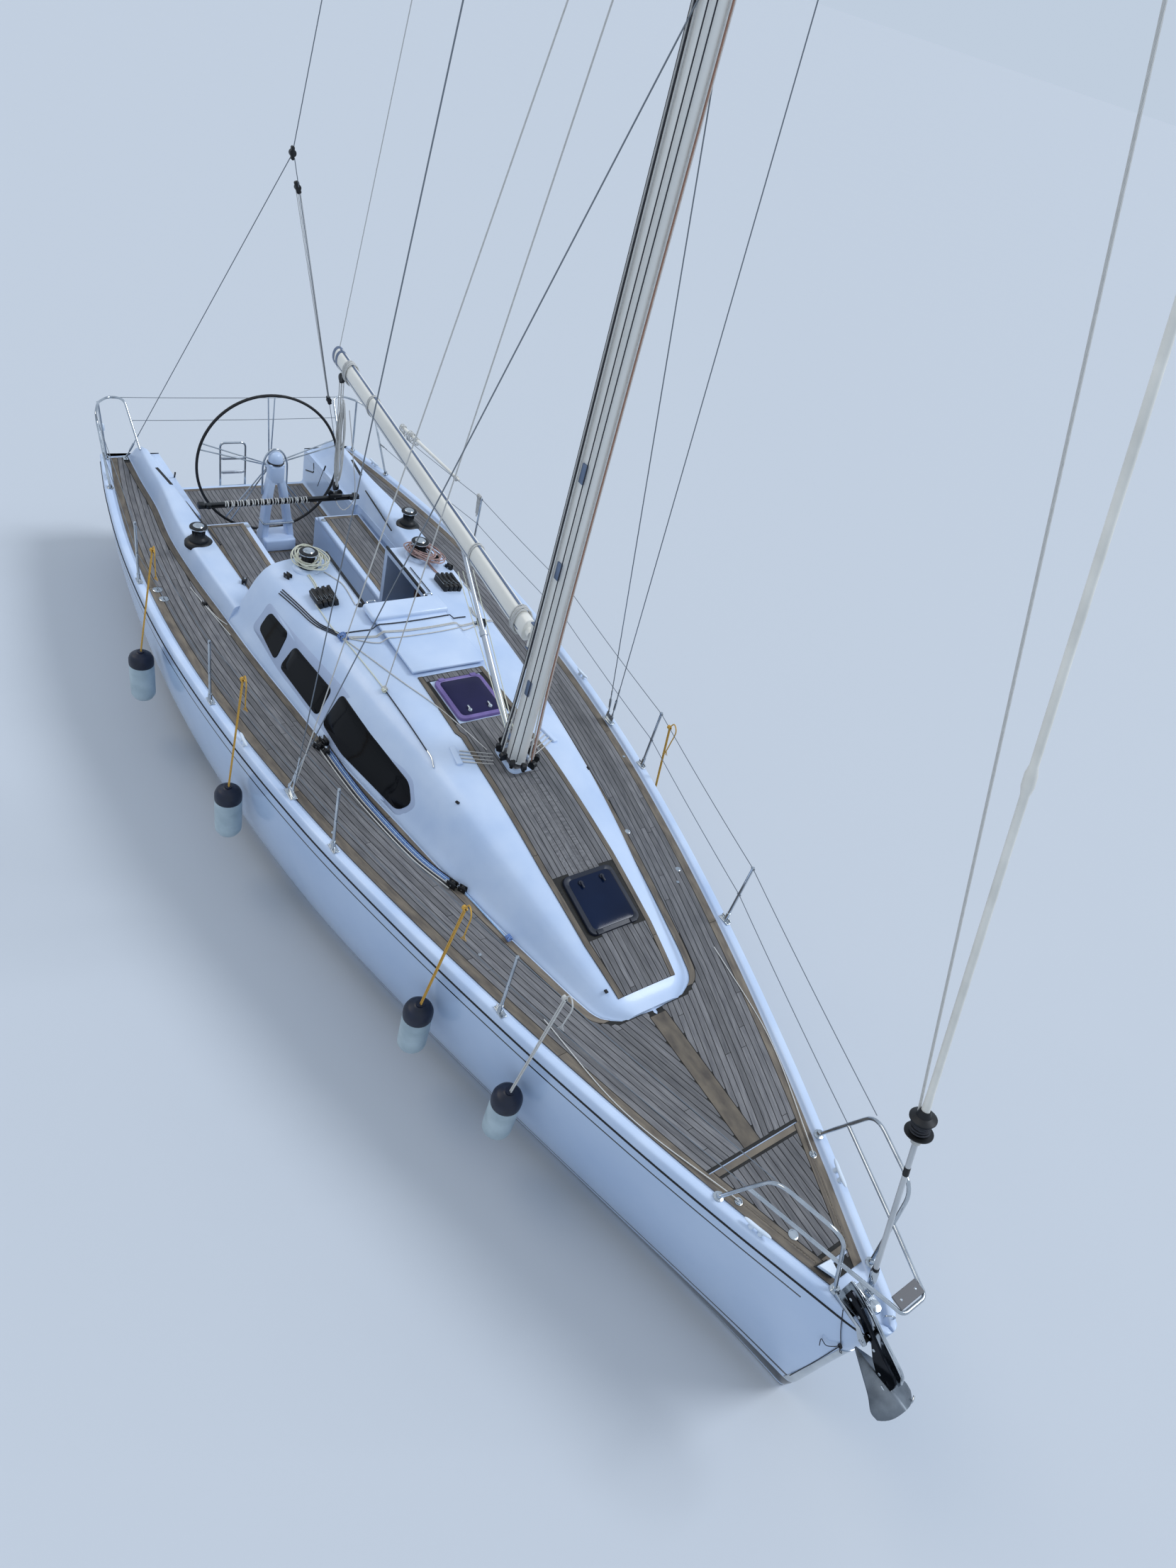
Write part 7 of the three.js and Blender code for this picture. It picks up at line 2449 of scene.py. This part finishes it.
    def cleat(self, shape: Shape, place: Sequence[float], turn: float, long: float = 0.19) -> None:
        """A white two-horned cleat: two feet and a bar whose ends taper and rise.

        Args:
            shape: The shape that takes it.
            place: Its foot.
            turn: Its turn in plan, in degrees.
            long: Its length.
        """
        t = np.linspace(-1, 1, 15)
        a = math.radians(turn)
        aim = np.array([math.cos(a), math.sin(a), 0])
        bar = np.asarray(place, float) + t[:, None] * aim * long / 2 + np.stack(
            [0 * t, 0 * t, 0.034 + 0.006 * t**2], 1)
        shape.tube(bar, 0.014 * np.sqrt(np.clip(1.05 - t**4, 0, 1)), 12, flat=0.8)
        for off in (-0.033, 0.033):
            shape.tube(np.array([np.asarray(place) + aim * off,
                                 np.asarray(place) + aim * off * 0.8 + [0, 0, 0.034]]),
                       np.array([0.020, 0.011]), 12)

    def fittings(self) -> None:
        """Cleats on the rail, padeyes and the water filler on deck, jacklines, and the white
        cover."""
        white, steel, black, lines = Shape(), Shape(), Shape(), Shape()
        for sign in SIDES.values():
            slope = -sign * 21.0
            self.cleat(white, on_rail(4.70, sign, 0.045), slope)
            self.cleat(white, on_rail(-4.95, sign, 0.045), sign * 6.0, 0.21)
            self.cleat(white, on_rail(-0.35, sign, 0.042), sign * 2.0, 0.17)
            eye = on_deck(4.51, sign * 0.335, TEAK_TOP)
            self.padeye(steel, eye)
            aft = on_deck(2.9, sign * 0.78, 0.02)
            lines.tube(smooth([aft, on_deck(3.7, sign * 0.655, 0.014),
                               (eye[0], eye[1], eye[2] + 0.015)], 30),
                       0.004, 6, flat=0.5)
        for x, y in ((0.80, -1.40), (0.80, 1.40), (2.25, -0.92), (2.25, 0.92)):
            steel.lathe([(0, 0.001), (0.014, 0.001), (0.014, 0.004), (0, 0.005)],
                        on_deck(x, y, TEAK_TOP), 14)
        ring = on_deck(4.83, -0.150, TEAK_TOP)
        steel.lathe([(0.0, 0), (0.033, 0), (0.033, 0.004), (0.026, 0.006), (0.024, 0.003),
                     (0, 0.003)], ring, 28)
        tri = [(5.045, -0.165), (5.055, -0.060), (5.135, -0.075), (5.150, -0.115)]
        white.slab(tri, 1.402, 1.428, Axis.Z, 0.006)
        black.slab([(x - 0.012, y - 0.012) for x, y in tri], 1.394, 1.402, Axis.Z)
        steel.tube(smooth([(5.455, 0.0, 1.414), (5.455, 0.0, 1.440), (5.475, 0.028, 1.448),
                           (5.49, 0.05, 1.435), (5.49, 0.05, 1.414)], 18), 0.005, 8, up=(1, 0.2, 0))
        white.build("cleats", VINYL_WHITE, HULL, "deck_gelcoat")
        steel.build("foredeck_fittings", STEEL, HULL, "stainless")
        black.build("foredeck_gasket", RUBBER, HULL, "black_alloy")
        lines.build("jacklines", ROPE_WHITE, HULL, "rope")

    def padeye(self, shape: Shape, place: Sequence[float]) -> None:
        """A folding ring on an oval base.

        Args:
            shape: The shape that takes it.
            place: Its foot.
        """
        shape.lathe([(0, 0), (0.026, 0), (0.026, 0.004), (0.018, 0.006), (0, 0.006)], place, 20)
        a = around(20)
        ring = np.asarray(place) + np.stack([0.004 + 0.017 * np.cos(a), 0.017 * np.sin(a),
                                             0.010 + 0 * a], 1)
        shape.tube(ring, 0.0035, 8, closed=True)

    def build(self) -> None:
        """Builds everything at the bow."""
        self.roller()
        self.anchor()
        self.stem()
        self.fittings()


@dataclass
class Fenders:
    """Five fenders on lanyards tied to the upper lifeline."""

    # Place along the boat, side, height of the top, and whether the lanyard is yellow.
    rows: tuple = ((-2.19, -1, 0.96, True), (-0.23, -1, 1.01, True), (2.25, -1, 1.01, True),
                   (3.11, -1, 1.01, False), (1.15, 1, 0.96, True))
    long: float = 0.56
    radius: float = 0.108

    def build(self) -> None:
        """Turned bodies with ribbed ends, a navy top, and a lanyard with its knot and tassel."""
        rails = Rails()
        for k, (x, sign, top, yellow) in enumerate(self.rows, 1):
            place = (x, sign * (float(FORM.half(np.array(x))) + 0.135), top)
            r, low = self.radius, -self.long
            body = Shape().lathe([(0, low), (0.030, low), (0.055, low + 0.012),
                                  (0.085, low + 0.035), (r - 0.002, low + 0.075), (r, low + 0.12),
                                  (r + 0.001, -0.30), (r, -0.145), (0, -0.145)], place, 32)
            piece = body.build(f"fender_{k}_body", FENDER, HULL, "fender_vinyl", 50)
            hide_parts(f"fender_{k}")
            cap = Shape().lathe([(r, -0.146), (r + 0.0015, -0.13), (r, -0.085), (0.097, -0.055),
                                 (0.075, -0.035), (0.050, -0.028), (0.044, -0.018), (0.030, -0.014),
                                 (0.030, 0.0), (0, 0.0)], place, 32)
            cap.build(f"fender_{k}_cap", FENDER_END, HULL, "fender_vinyl", 50)
            wire = self.wire_at(rails, x - 0.17 * (x < 0), sign)
            rope, finish = Shape(), (ROPE_YELLOW if yellow else ROPE_WHITE)
            foot = np.array(place)
            rope.tube(straight(foot - [0, 0, 0.01], wire, 8), 0.0055, 7)
            rope.tube(straight(foot - [0, 0, 0.01] + [0.012, 0, 0], wire + [0.014, 0, -0.01], 8),
                      0.0055, 7)
            a = winding(4, 60)
            knot = wire + np.stack([0.030 * a / a[-1] - 0.015, 0.012 * np.cos(a),
                                    0.013 * np.sin(a)], 1)
            rope.tube(knot, 0.0055, 7, up=(1, 0, 0))
            tail = smooth([wire, wire + [0.03, 0.01, 0.055], wire + [0.085, 0.0, 0.02],
                           wire + [0.075, 0.0, -0.12], wire + [0.06, 0.005, -0.22]], 26)
            rope.tube(tail, 0.0055, 7, up=(1, 0.3, 0))
            for spread in np.linspace(-0.02, 0.02, 6):
                rope.tube(straight(tail[-1], tail[-1] + [spread, spread * 0.6, -0.045], 3), 0.002,
                          5)
            rope.build(f"fender_{k}_lanyard", finish, HULL, "rope")

    def wire_at(self, rails: Rails, x: float, sign: int) -> Array:
        """The upper lifeline's place at x.

        Args:
            rails: The rails.
            x: The place.
            sign: -1 to starboard, 1 to port.

        Returns:
            The point on the wire.
        """
        end = rails.ends[1][1]
        held = [on_rail(s, sign, rails.inset, rails.heights[1]) for s in rails.stanchions]
        route = np.array(held + [(end[0], sign * end[1], end[2])])
        return np.array([x, np.interp(x, route[:, 0], route[:, 1]),
                         np.interp(x, route[:, 0], route[:, 2])])


@dataclass
class Underwater:
    """Keel, rudder, drive leg, propeller and the engine inside."""

    # Sections from the top down: height, nose, chord, thickness.
    fin: tuple = ((-0.44, 0.86, 1.45, 0.185), (-0.7, 0.78, 1.3, 0.18), (-1.95, 0.57, 0.95, 0.15))
    rudder: tuple = ((-0.12, -4.58, 0.47, 0.09), (-0.9, -4.59, 0.43, 0.08),
                     (-1.76, -4.608, 0.34, 0.062), (-1.8, -4.63, 0.28, 0.04))
    leg: tuple = ((-0.46, -1.48, 0.26, 0.09), (-0.9, -1.51, 0.195, 0.07))
    shaft_z: float = -0.83

    def foil(self, chord: float, thick: float, count: int = 24) -> Array:
        """A closed wing section, nose forward: half-thickness follows the root of the distance near
        the nose and falls in a cubic to the tail.

        Args:
            chord: Its length.
            thick: Its thickness.
            count: Points on a side.

        Returns:
            Points round the section.
        """
        t = (1 - np.cos(np.linspace(0, np.pi, count))) / 2
        curve = 0.2969 * np.sqrt(t) - 0.126 * t - 0.3516 * t**2 + 0.2843 * t**3 - 0.1015 * t**4
        half = thick * 3.333 * curve + 0.0008
        side = np.stack([-t * chord, half], 1)
        return np.vstack([side, side[-2:0:-1] * [1, -1]])

    def blade(self, levels: Sequence[Sequence[float]], steps: int = 24) -> Array:
        """Sections carried down through the levels: height, nose, chord, thickness.

        Args:
            levels: The sections' table.
            steps: How many are made.

        Returns:
            Rings of points.
        """
        rows = np.array(levels, float)
        z = np.linspace(rows[0, 0], rows[-1, 0], steps)
        nose, chord, thick = (np.interp(z, rows[::-1, 0], rows[::-1, c]) for c in (1, 2, 3))
        rings = [np.column_stack([n + self.foil(c, t)[:, 0], self.foil(c, t)[:, 1],
                                  np.full(len(self.foil(c, t)), h)]) for h, n, c,
                 t in zip(z, nose, chord, thick)]
        return np.array(rings)

    def build(self) -> None:
        """Builds the fin and bulb, the rudder, the leg, the propeller and the engine block."""
        keel = Shape().grid(self.blade(self.fin), wrap_v=True, caps=True)
        bulb = hermite([0, 0.07, 0.25, 0.55, 0.85, 1.25, 1.67, 1.90, 1.92],
                       np.array([[0, 0.0], [0.075, 0.05], [0.13, 0.25], [0.165, 0.55],
                                 [0.170, 0.85], [0.150, 1.25], [0.090, 1.67], [0.022, 1.90],
                                 [0, 1.92]]), np.linspace(0, 1.92, 44))
        keel.lathe(np.maximum(bulb, 0), (1.30, 0, -1.928), 32, (-1, 0, 0))
        piece = keel.build("keel_fin_and_bulb", IRON, HULL, "cast_keel", 50)
        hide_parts("keel")
        rudder = Shape().grid(self.blade(self.rudder), wrap_v=True, caps=True)
        rudder.rod((-4.7, 0, -0.7), (-4.7, 0, 0.29), 0.024, 20)
        piece = rudder.build("rudder_blade", ANTIFOUL, "rudder_body", "hull_gelcoat", 50)
        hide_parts("rudder")
        leg = Shape().grid(self.blade(self.leg), wrap_v=True, caps=True)
        leg.box((-1.6, 0, -0.36), (0.18, 0.09, 0.40), 0.02)
        leg.box((-1.59, 0, -0.15), (0.20, 0.09, 0.10), 0.01)
        leg.lathe([(0, 0.13), (0.022, 0.115), (0.036, 0.085), (0.045, 0.04), (0.045, -0.12),
                   (0, -0.12)],
                  (-1.6, 0, self.shaft_z), 24, (1, 0, 0))
        piece = leg.build("drive_leg", LEG, HULL, "leg_paint", 45)
        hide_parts("saildrive_leg")
        hub = Shape().lathe([(0, 0), (0.038, 0), (0.038, 0.05), (0.034, 0.075), (0.020, 0.09),
                             (0, 0.092)],
                            (-1.7208, 0, self.shaft_z), 24, (-1, 0, 0))
        r = np.linspace(0.03, 0.19, 14)[:, None]
        c = np.linspace(-1, 1, 9)[None]
        wide = 0.046 * np.sin(r / 0.19 * np.pi * 0.86) + 0.008
        pitch = np.radians(58) - (r - 0.03) * 4.2
        for k in range(3):
            side, along = wide * c * np.sin(pitch), wide * c * np.cos(pitch)
            arm = 2 * math.pi * k / 3
            top = np.stack([-1.766 + along, side * math.cos(arm) - r * math.sin(arm),
                            self.shaft_z + side * math.sin(arm) + r * math.cos(arm)], -1)
            low = top + np.array([0.006, 0, 0])
            hub.grid(np.concatenate([top, low[:, ::-1]], 1), wrap_v=True, caps=True)
        piece = hub.build("propeller_blades", BRONZE, "propeller_body", "bronze", 50)
        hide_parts("propeller")
        engine = Shape().box((-1.17, 0, 0.0575), (0.62, 0.46, 0.545), 0.04)
        engine.box((-1.17, 0, 0.29), (0.50, 0.20, 0.08), 0.02)
        for sign in SIDES.values():
            engine.box((-1.17, sign * 0.20, -0.245), (0.60, 0.055, 0.07), 0.008)
            engine.rod((-1.40, sign * 0.1, 0.20), (-0.95, sign * 0.1, 0.20), 0.03)
        piece = engine.build("engine_block", ENAMEL, HULL, "engine_paint")
        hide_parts("engine")


@dataclass
class DeckGear:
    """Gear on deck: rope clutches, blocks, the lines led over roof and side deck, the pole and
    hanks."""

    clutch: tuple = (-1.38, 0.6175)
    pole: tuple = ((-4.882, 1.80, 1.729), (-3.364, 1.80, 1.814))
    hatch_top: float = 1.9245
    # Lines led on the roof: finish, how many strands, and their points in plan.
    roof_lines: tuple = (
        ("white", 1, ((0.82, -0.170), (0.26, -0.314), (-0.129, -0.457), (-0.45, -0.560),
                      (-0.826, -0.674))),
        ("black", 1, ((-0.092, -0.626), (0.30, -0.615), (0.66, -0.610))),
        ("black", 3, ((-1.703, -0.883), (-1.406, -0.839), (-1.096, -0.787), (-0.883, -0.690),
                      (-0.826, -0.674))),
        ("white", 2, ((-0.826, -0.674), (-0.768, -0.489), (-0.712, -0.114), (-0.727, 0.438),
                      (-0.77, 0.640))),
        ("black", 1, ((-0.877, -0.635), (-0.834, -0.130), (-0.852, 0.526))),
        ("white", 1, ((-0.787, -0.621), (-0.664, -0.428), (-0.631, 0.035), (-0.657, 0.401),
                      (-0.72, 0.600))),
        ("green", 1, ((-1.342, -0.705), (-0.964, -0.700), (-0.826, -0.674), (-0.345, -0.640),
                      (-0.092, -0.626))),
        ("white", 1, ((-1.790, -0.450), (-1.695, -0.411), (-1.554, -0.367), (-1.228, -0.387))),
        ("white", 2, ((-1.450, 0.840), (-1.150, 0.900), (-0.900, 0.860), (-0.790, 0.740),
                      (-0.860, 0.640), (-1.0, 0.66))),
        ("red", 2, ((-1.78, 0.60), (-1.65, 0.60), (-1.505, 0.6175))),
        ("green", 2, ((-1.78, -0.60), (-1.65, -0.60), (-1.505, -0.6175))),
    )
    # The control lines along the foot of the coachroof, starboard side.
    side_lines: tuple = ((-0.119, -1.095), (0.25, -1.075), (0.618, -1.040), (1.259, -0.925),
                         (1.63, -0.800))
    # Blocks: place, its turn in plan in degrees, and its size.
    block_rows: tuple = (
        ((-2.42, -0.952, 1.43), -30, 1.0), ((-2.019, -0.818, 1.765), 40, 1.0),
        ((-1.824, -0.773, 1.845), 20, 1.0), ((-1.848, 0.739, 1.86), -20, 1.1),
        ((-1.70, 0.80, 1.84), 30, 1.0), ((-0.72, 0.62, 1.885), 70, 1.2),
        ((-0.16, -1.08, 1.35), 5, 1.3), ((-0.13, -1.14, 1.345), 20, 1.1),
        ((-0.05, -1.10, 1.35), -12, 1.0), ((1.62, -0.815, 1.39), 25, 1.1),
        ((1.69, -0.765, 1.39), 30, 0.9), ((-2.36, -1.342, 1.27), 12, 0.7),
    )

    def over(self, x: Array, y: Array) -> Array:
        """Height that a line on the roof lies on: the roof, or the sliding hatch where it passes
        over it.

        Args:
            x: Places along the boat.
            y: Places across.

        Returns:
            The heights.
        """
        rise = np.clip((0.40 - np.abs(y)) / 0.05, 0, 1) * ((x < -0.16) & (x > -1.10))
        roof = roof_z(x, y)
        return roof + rise * np.maximum(self.hatch_top - roof, 0)

    def led(self, shape: Shape, plan: Sequence[Sequence[float]], ground: Callable, radius: float,
            count: int = 1, apart: float = 0.016) -> None:
        """Lays strands side by side along a smooth line through plan points, each its radius above
        the ground.

        Args:
            shape: The shape that takes them.
            plan: The line's points, x and y.
            ground: Height under it at x, y.
            radius: The rope's radius.
            count: How many strands.
            apart: How far apart they lie.
        """
        line = smooth([(x, y, 0.0) for x, y in plan], 48)
        aim = unit(np.gradient(line[:, :2], axis=0))
        for k in range(count):
            off = (k - (count - 1) / 2) * apart
            x, y = line[:, 0] - aim[:, 1] * off, line[:, 1] + aim[:, 0] * off
            shape.tube(np.stack([x, y, ground(x, y) + radius], 1), radius, 6)

    def clutches(self) -> None:
        """Two banks of four rope clutches: a rounded housing and a lever for each, with pale
        edges."""
        body, edges = Shape(), Shape()
        x, y = self.clutch
        for sign in SIDES.values():
            for k in range(4):
                at = y + (k - 1.5) * 0.048
                z = on_roof(x, at)[2]
                slope = -sign * 13.0
                body.box((x, sign * at, z + 0.028), (0.225, 0.043, 0.064), 0.010, (slope, 0, 0))
                body.box((x - 0.025, sign * at, z + 0.066), (0.150, 0.030, 0.020), 0.007,
                         (slope, 5, 0))
                for off in (-0.017, 0.017):
                    edges.tube(np.array([(x - 0.085, sign * (at + off), z + 0.0625),
                                         (x + 0.075, sign * (at + off), z + 0.0625)]),
                               0.0022, 6)
        body.build("rope_clutches", BLACK, HULL, "black_alloy")
        edges.build("rope_clutch_edges", STEEL, HULL, "stainless")

    def block(self, black: Shape, steel: Shape, place: Sequence[float], turn: float,
              size: float) -> None:
        """A block: two cheeks, a sheave between them and a steel strap with its shackle.

        Args:
            black: Takes cheeks and sheave.
            steel: Takes strap and pin.
            place: Its middle.
            turn: Its turn in plan, in degrees.
            size: How large, 1 being 72 mm.
        """
        a = math.radians(turn)
        across = np.array([-math.sin(a), math.cos(a), 0.0])
        along = np.array([math.cos(a), math.sin(a), 0.0])
        middle = np.asarray(place, float)
        for off in (-0.016, 0.016):
            black.box(middle + across * off * size, np.array([0.072, 0.008, 0.056]) * size,
                      0.003 * size, (0, 0, turn))
        black.lathe([(0, -0.013 * size), (0.026 * size, -0.013 * size), (0.021 * size, 0),
                     (0.026 * size, 0.013 * size), (0, 0.013 * size)], middle, 18, tuple(across))
        steel.box(middle - along * 0.040 * size, np.array([0.030, 0.022, 0.006]) * size, 0.002,
                  (0, 0, turn))
        steel.lathe([(0, -0.022 * size), (0.006 * size, -0.022 * size),
                     (0.006 * size, 0.022 * size), (0, 0.022 * size)],
                    middle, 10, tuple(across))

    def lines(self) -> None:
        """Everything led on the roof and along the side deck, one piece for each kind of rope."""
        ropes = {"white": ROPE_WHITE, "black": ROPE_BLACK, "green": ROPE_GREEN, "red": ROPE_RED,
                 "blue": ROPE_BLUE, "pale": ROPE_PALE}
        shapes = {name: Shape() for name in ropes}
        for name, count, plan in self.roof_lines:
            self.led(shapes[name], plan, self.over, 0.0055, count)
        for sign in SIDES.values():
            self.led(shapes["white"],
                     ((0.925, sign * 0.17), (0.87, sign * 0.29), (0.81, sign * 0.41)), self.over,
                     0.0055, 4, 0.038)
        side = np.array(self.side_lines)
        deck = lambda x, y: FORM.deck_z(x, y) + TEAK_TOP
        for k, name in enumerate(("white", "black", "white", "blue", "pale", "blue", "black")):
            shift = np.array([0.0, (k - 3) * 0.0145])
            self.led(shapes[name], side + shift, deck, 0.0055)
        self.led(shapes["pale"], ((1.70, -0.755), (1.95, -0.715), (2.204, -0.672)), deck, 0.007)
        self.led(shapes["white"], ((-2.67, -1.38), (-2.314, -1.342), (-1.823, -1.286)), deck,
                 0.0045)
        self.led(shapes["white"], ((-2.297, -1.335), (-2.10, -1.30), (-1.988, -1.26)), deck, 0.0045)
        a = winding(6, 90)
        for name, place, size in (("blue", (-0.826, -0.674, 1.868), 0.036),
                                  ("blue", (2.22, -0.672, 1.398), 0.020),
                                  ("white", (-0.092, -0.626, 1.872), 0.018),
                                  ("green", (-0.075, -0.640, 1.870), 0.016)):
            wander = np.stack([size * np.sin(a * 0.37), size * np.cos(a), size * 0.7 * np.sin(a)],
                              1)
            shapes[name].tube(np.array(place) + wander, 0.0048, 6)
        for name, shape in shapes.items():
            if shape.count:
                shape.build(f"deck_lines_{name}", ropes[name], HULL, "rope")

    def fittings(self) -> None:
        """Blocks, deck fillers, the sliding hatch's posts and runners, lenses, and small eyes."""
        black, steel = Shape(), Shape()
        for place, turn, size in self.block_rows:
            self.block(black, steel, place, turn, size)
        for x, y in ((-2.71, -1.665), (-2.545, -1.655)):
            steel.lathe([(0, 0), (0.044, 0), (0.044, 0.005), (0.036, 0.008), (0.033, 0.004),
                         (0, 0.004)],
                        on_deck(x, y, TEAK_TOP), 28)
            black.box(on_deck(x, y, 0.0150), (0.030, 0.006, 0.004), 0.0015)
        for x, y in ((2.133, 1.017), (1.623, 0.853)):
            steel.lathe([(0, 0), (0.030, 0), (0.030, 0.004), (0.022, 0.010), (0, 0.012)],
                        on_deck(x, y, 0.001), 20)
        for x, y in ((1.184, -0.608), (1.184, 0.608)):
            black.box(on_roof(x, y, 0.006), (0.035, 0.022, 0.014), 0.005, (0, 0, 20))
        black.box(on_deck(2.943, -0.32, 0.13), (0.030, 0.024, 0.012), 0.004)
        for y in (0.326, 0.274):
            black.tube(np.array([(-1.70, y + 0.05, 1.884), (-1.28, y + 0.05, 1.886)]), 0.005, 6)
        steel.tube(smooth([on_roof(0.66, -0.610, 0.010), on_roof(0.74, -0.612, 0.012),
                           on_roof(0.823, -0.631, 0.008)],
                          12), 0.0065, 8)
        hoods = Shape()
        for sign in SIDES.values():
            hoods.box(on_roof(0.795, sign * 0.432, 0.004), (0.200, 0.052, 0.026), 0.010,
                      (-sign * 12, 2, sign * 8))
        hoods.build("line_hoods", DECKCOAT, HULL, "deck_gelcoat")
        black.build("deck_blocks", BLACK, HULL, "black_alloy")
        steel.build("deck_fittings", STEEL, HULL, "stainless")
        posts, clip = Shape(), Shape()
        for y in (-0.335, 0.335):
            for k in range(5):
                posts.rod((-1.075 + 0.018 * k, y, 1.894), (-1.075 + 0.018 * k, y, 1.952), 0.011, 10)
        posts.build("companionway_posts", STEEL, "companionway_body", "stainless")
        clip.lathe([(0, 0), (0.030, 0), (0.030, 0.004), (0.022, 0.012), (0, 0.012)],
                   on_roof(-1.22, -0.350, 0.001), 20)
        clip.build("companionway_catch", BLACK, HULL, "black_alloy")

    def lashed(self) -> None:
        """The white pole along the port lifeline with its coils, the hank beside it, and the stern
        lamp."""
        low, high = (np.array(p) for p in self.pole)
        aim = unit(high - low)
        shape = Shape()
        mark = lambda d: low + aim * d
        long = float(np.linalg.norm(high - low))
        shape.tube(np.array([mark(0), mark(0.06), mark(0.45), mark(0.47), mark(0.52), mark(0.54),
                             mark(long - 0.05), mark(long)]),
                   np.array([0.010, 0.021, 0.021, 0.024, 0.024, 0.021, 0.017, 0.012]), 16)
        shape.build("rail_pole", WHITE_SPAR, HULL, "spar_alloy")
        ropes = Shape()
        for start, turns, size in ((0.03, 4, 0.052), (0.24, 5, 0.060), (0.40, 3, 0.045),
                                   (1.40, 3, 0.028)):
            a = winding(turns, turns * 18)
            coil = mark(start) + aim * (0.012 * a[:, None] / np.pi) + np.stack(
                [0.010 * np.sin(a * 0.6), size * np.cos(a) * 0.7, size * np.sin(a) - size * 0.3], 1)
            ropes.tube(coil, 0.0058, 6, up=(1, 0, 0))
        ropes.tube(hank(mark(0.12) - [0, 0, 0.02], 0.42, 3, 0.05, 4), 0.0058, 6, up=(1, 0.2, 0))
        x = -2.90
        wire = np.array(on_rail(x, PORT, 0.028, 0.61))
        for k in range(5):
            ropes.tube(np.array([wire + [0.020 * k - 0.04, 0.010, 0.006],
                                 wire + [0.020 * k - 0.035, 0.022, -0.22 - 0.03 * (k % 2)]]),
                       0.0075, 6, up=(1, 0, 0))
        a = winding(3, 50)
        ropes.tube(wire + np.stack([0.012 * a / np.pi - 0.035, 0.018 * np.cos(a) + 0.006,
                                    0.020 * np.sin(a)], 1), 0.006, 6,
                   up=(1, 0, 0))
        ropes.build("rail_hanks", ROPE_WHITE, HULL, "rope")
        lamp = Shape().lathe([(0, -0.035), (0.026, -0.035), (0.028, -0.028), (0.028, 0.020),
                              (0.020, 0.034), (0, 0.038)],
                             (-5.44, -1.448, 1.50), 20)
        lamp.build("stern_lamp", VINYL_WHITE, HULL, "stainless")

    def topping_lift(self) -> None:
        """The line from the masthead to the boom's outer end."""
        boom = Boom()
        head, end = np.array([mast_at(MASTHEAD_Z) - 0.20, 0.0, MASTHEAD_Z - 0.09]), boom.at(4.74,
                                                                                            0.095)
        line = Shape().tube(straight(head, end, 30), 0.0045, 6, up=(1, 0, 0.2)).build(
            "topping_lift", ROPE_WHITE, HULL, "rope")
        line.parent = None
        tuple(head)
        tuple(end)
        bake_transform(line)

    def running(self) -> None:
        """Halyards carried off the mast: to the starboard shroud's foot, to the roof, and close
        behind it."""
        wires = (((0.335, -1.515, 1.47), (mast_at(9.8) + 0.05, -0.07, 9.8), 0.0045, 30),
                 ((-0.092, -0.626, 1.862), (mast_at(9.1) - 0.05, -0.07, 9.1), 0.0050, 30),
                 ((mast_at(3.3) - 0.112, 0.055, 3.30), (mast_at(12.4) - 0.12, 0.04, 12.4), 0.0045,
                  30),
                 ((mast_at(3.3) - 0.116, 0.040, 3.30), (mast_at(5.5) - 0.16, 0.03, 5.5), 0.0045,
                  20))
        lines, blocks = Shape(), Shape()
        for low, high, radius, count in wires:
            lines.tube(straight(np.array(low), np.array(high), count), radius, 6, up=(1, 0.2, 0))
        blocks.box((mast_at(5.5) - 0.145, 0.03, 5.53), (0.035, 0.024, 0.085), 0.010)
        lines.build("spare_lines", ROPE_WHITE, HULL, "rope")
        blocks.build("spare_line_block", BLACK, HULL, "black_alloy")

    def build(self) -> None:
        """Builds all of it."""
        self.clutches()
        self.lines()
        self.fittings()
        self.lashed()
        self.topping_lift()
        self.running()


def main() -> None:
    """Loads the frame and builds every sub-assembly."""
    logging.basicConfig(level=logging.INFO, format="%(name)s %(message)s")
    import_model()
    Studio().build()
    Hull().build()
    Coachroof().build()
    laid = Teak()
    laid.side_decks()
    laid.locker()
    for part in (Cockpit(), Helm(), Hatches(), Winches(), Mast(), Boom(), Rigging(), Forestay(),
                 Rails(), GroundTackle(), Fenders(), DeckGear(), Underwater()):
        part.build()
        LOG.info("%s done", type(part).__name__)


if __name__ == "__main__":
    main()
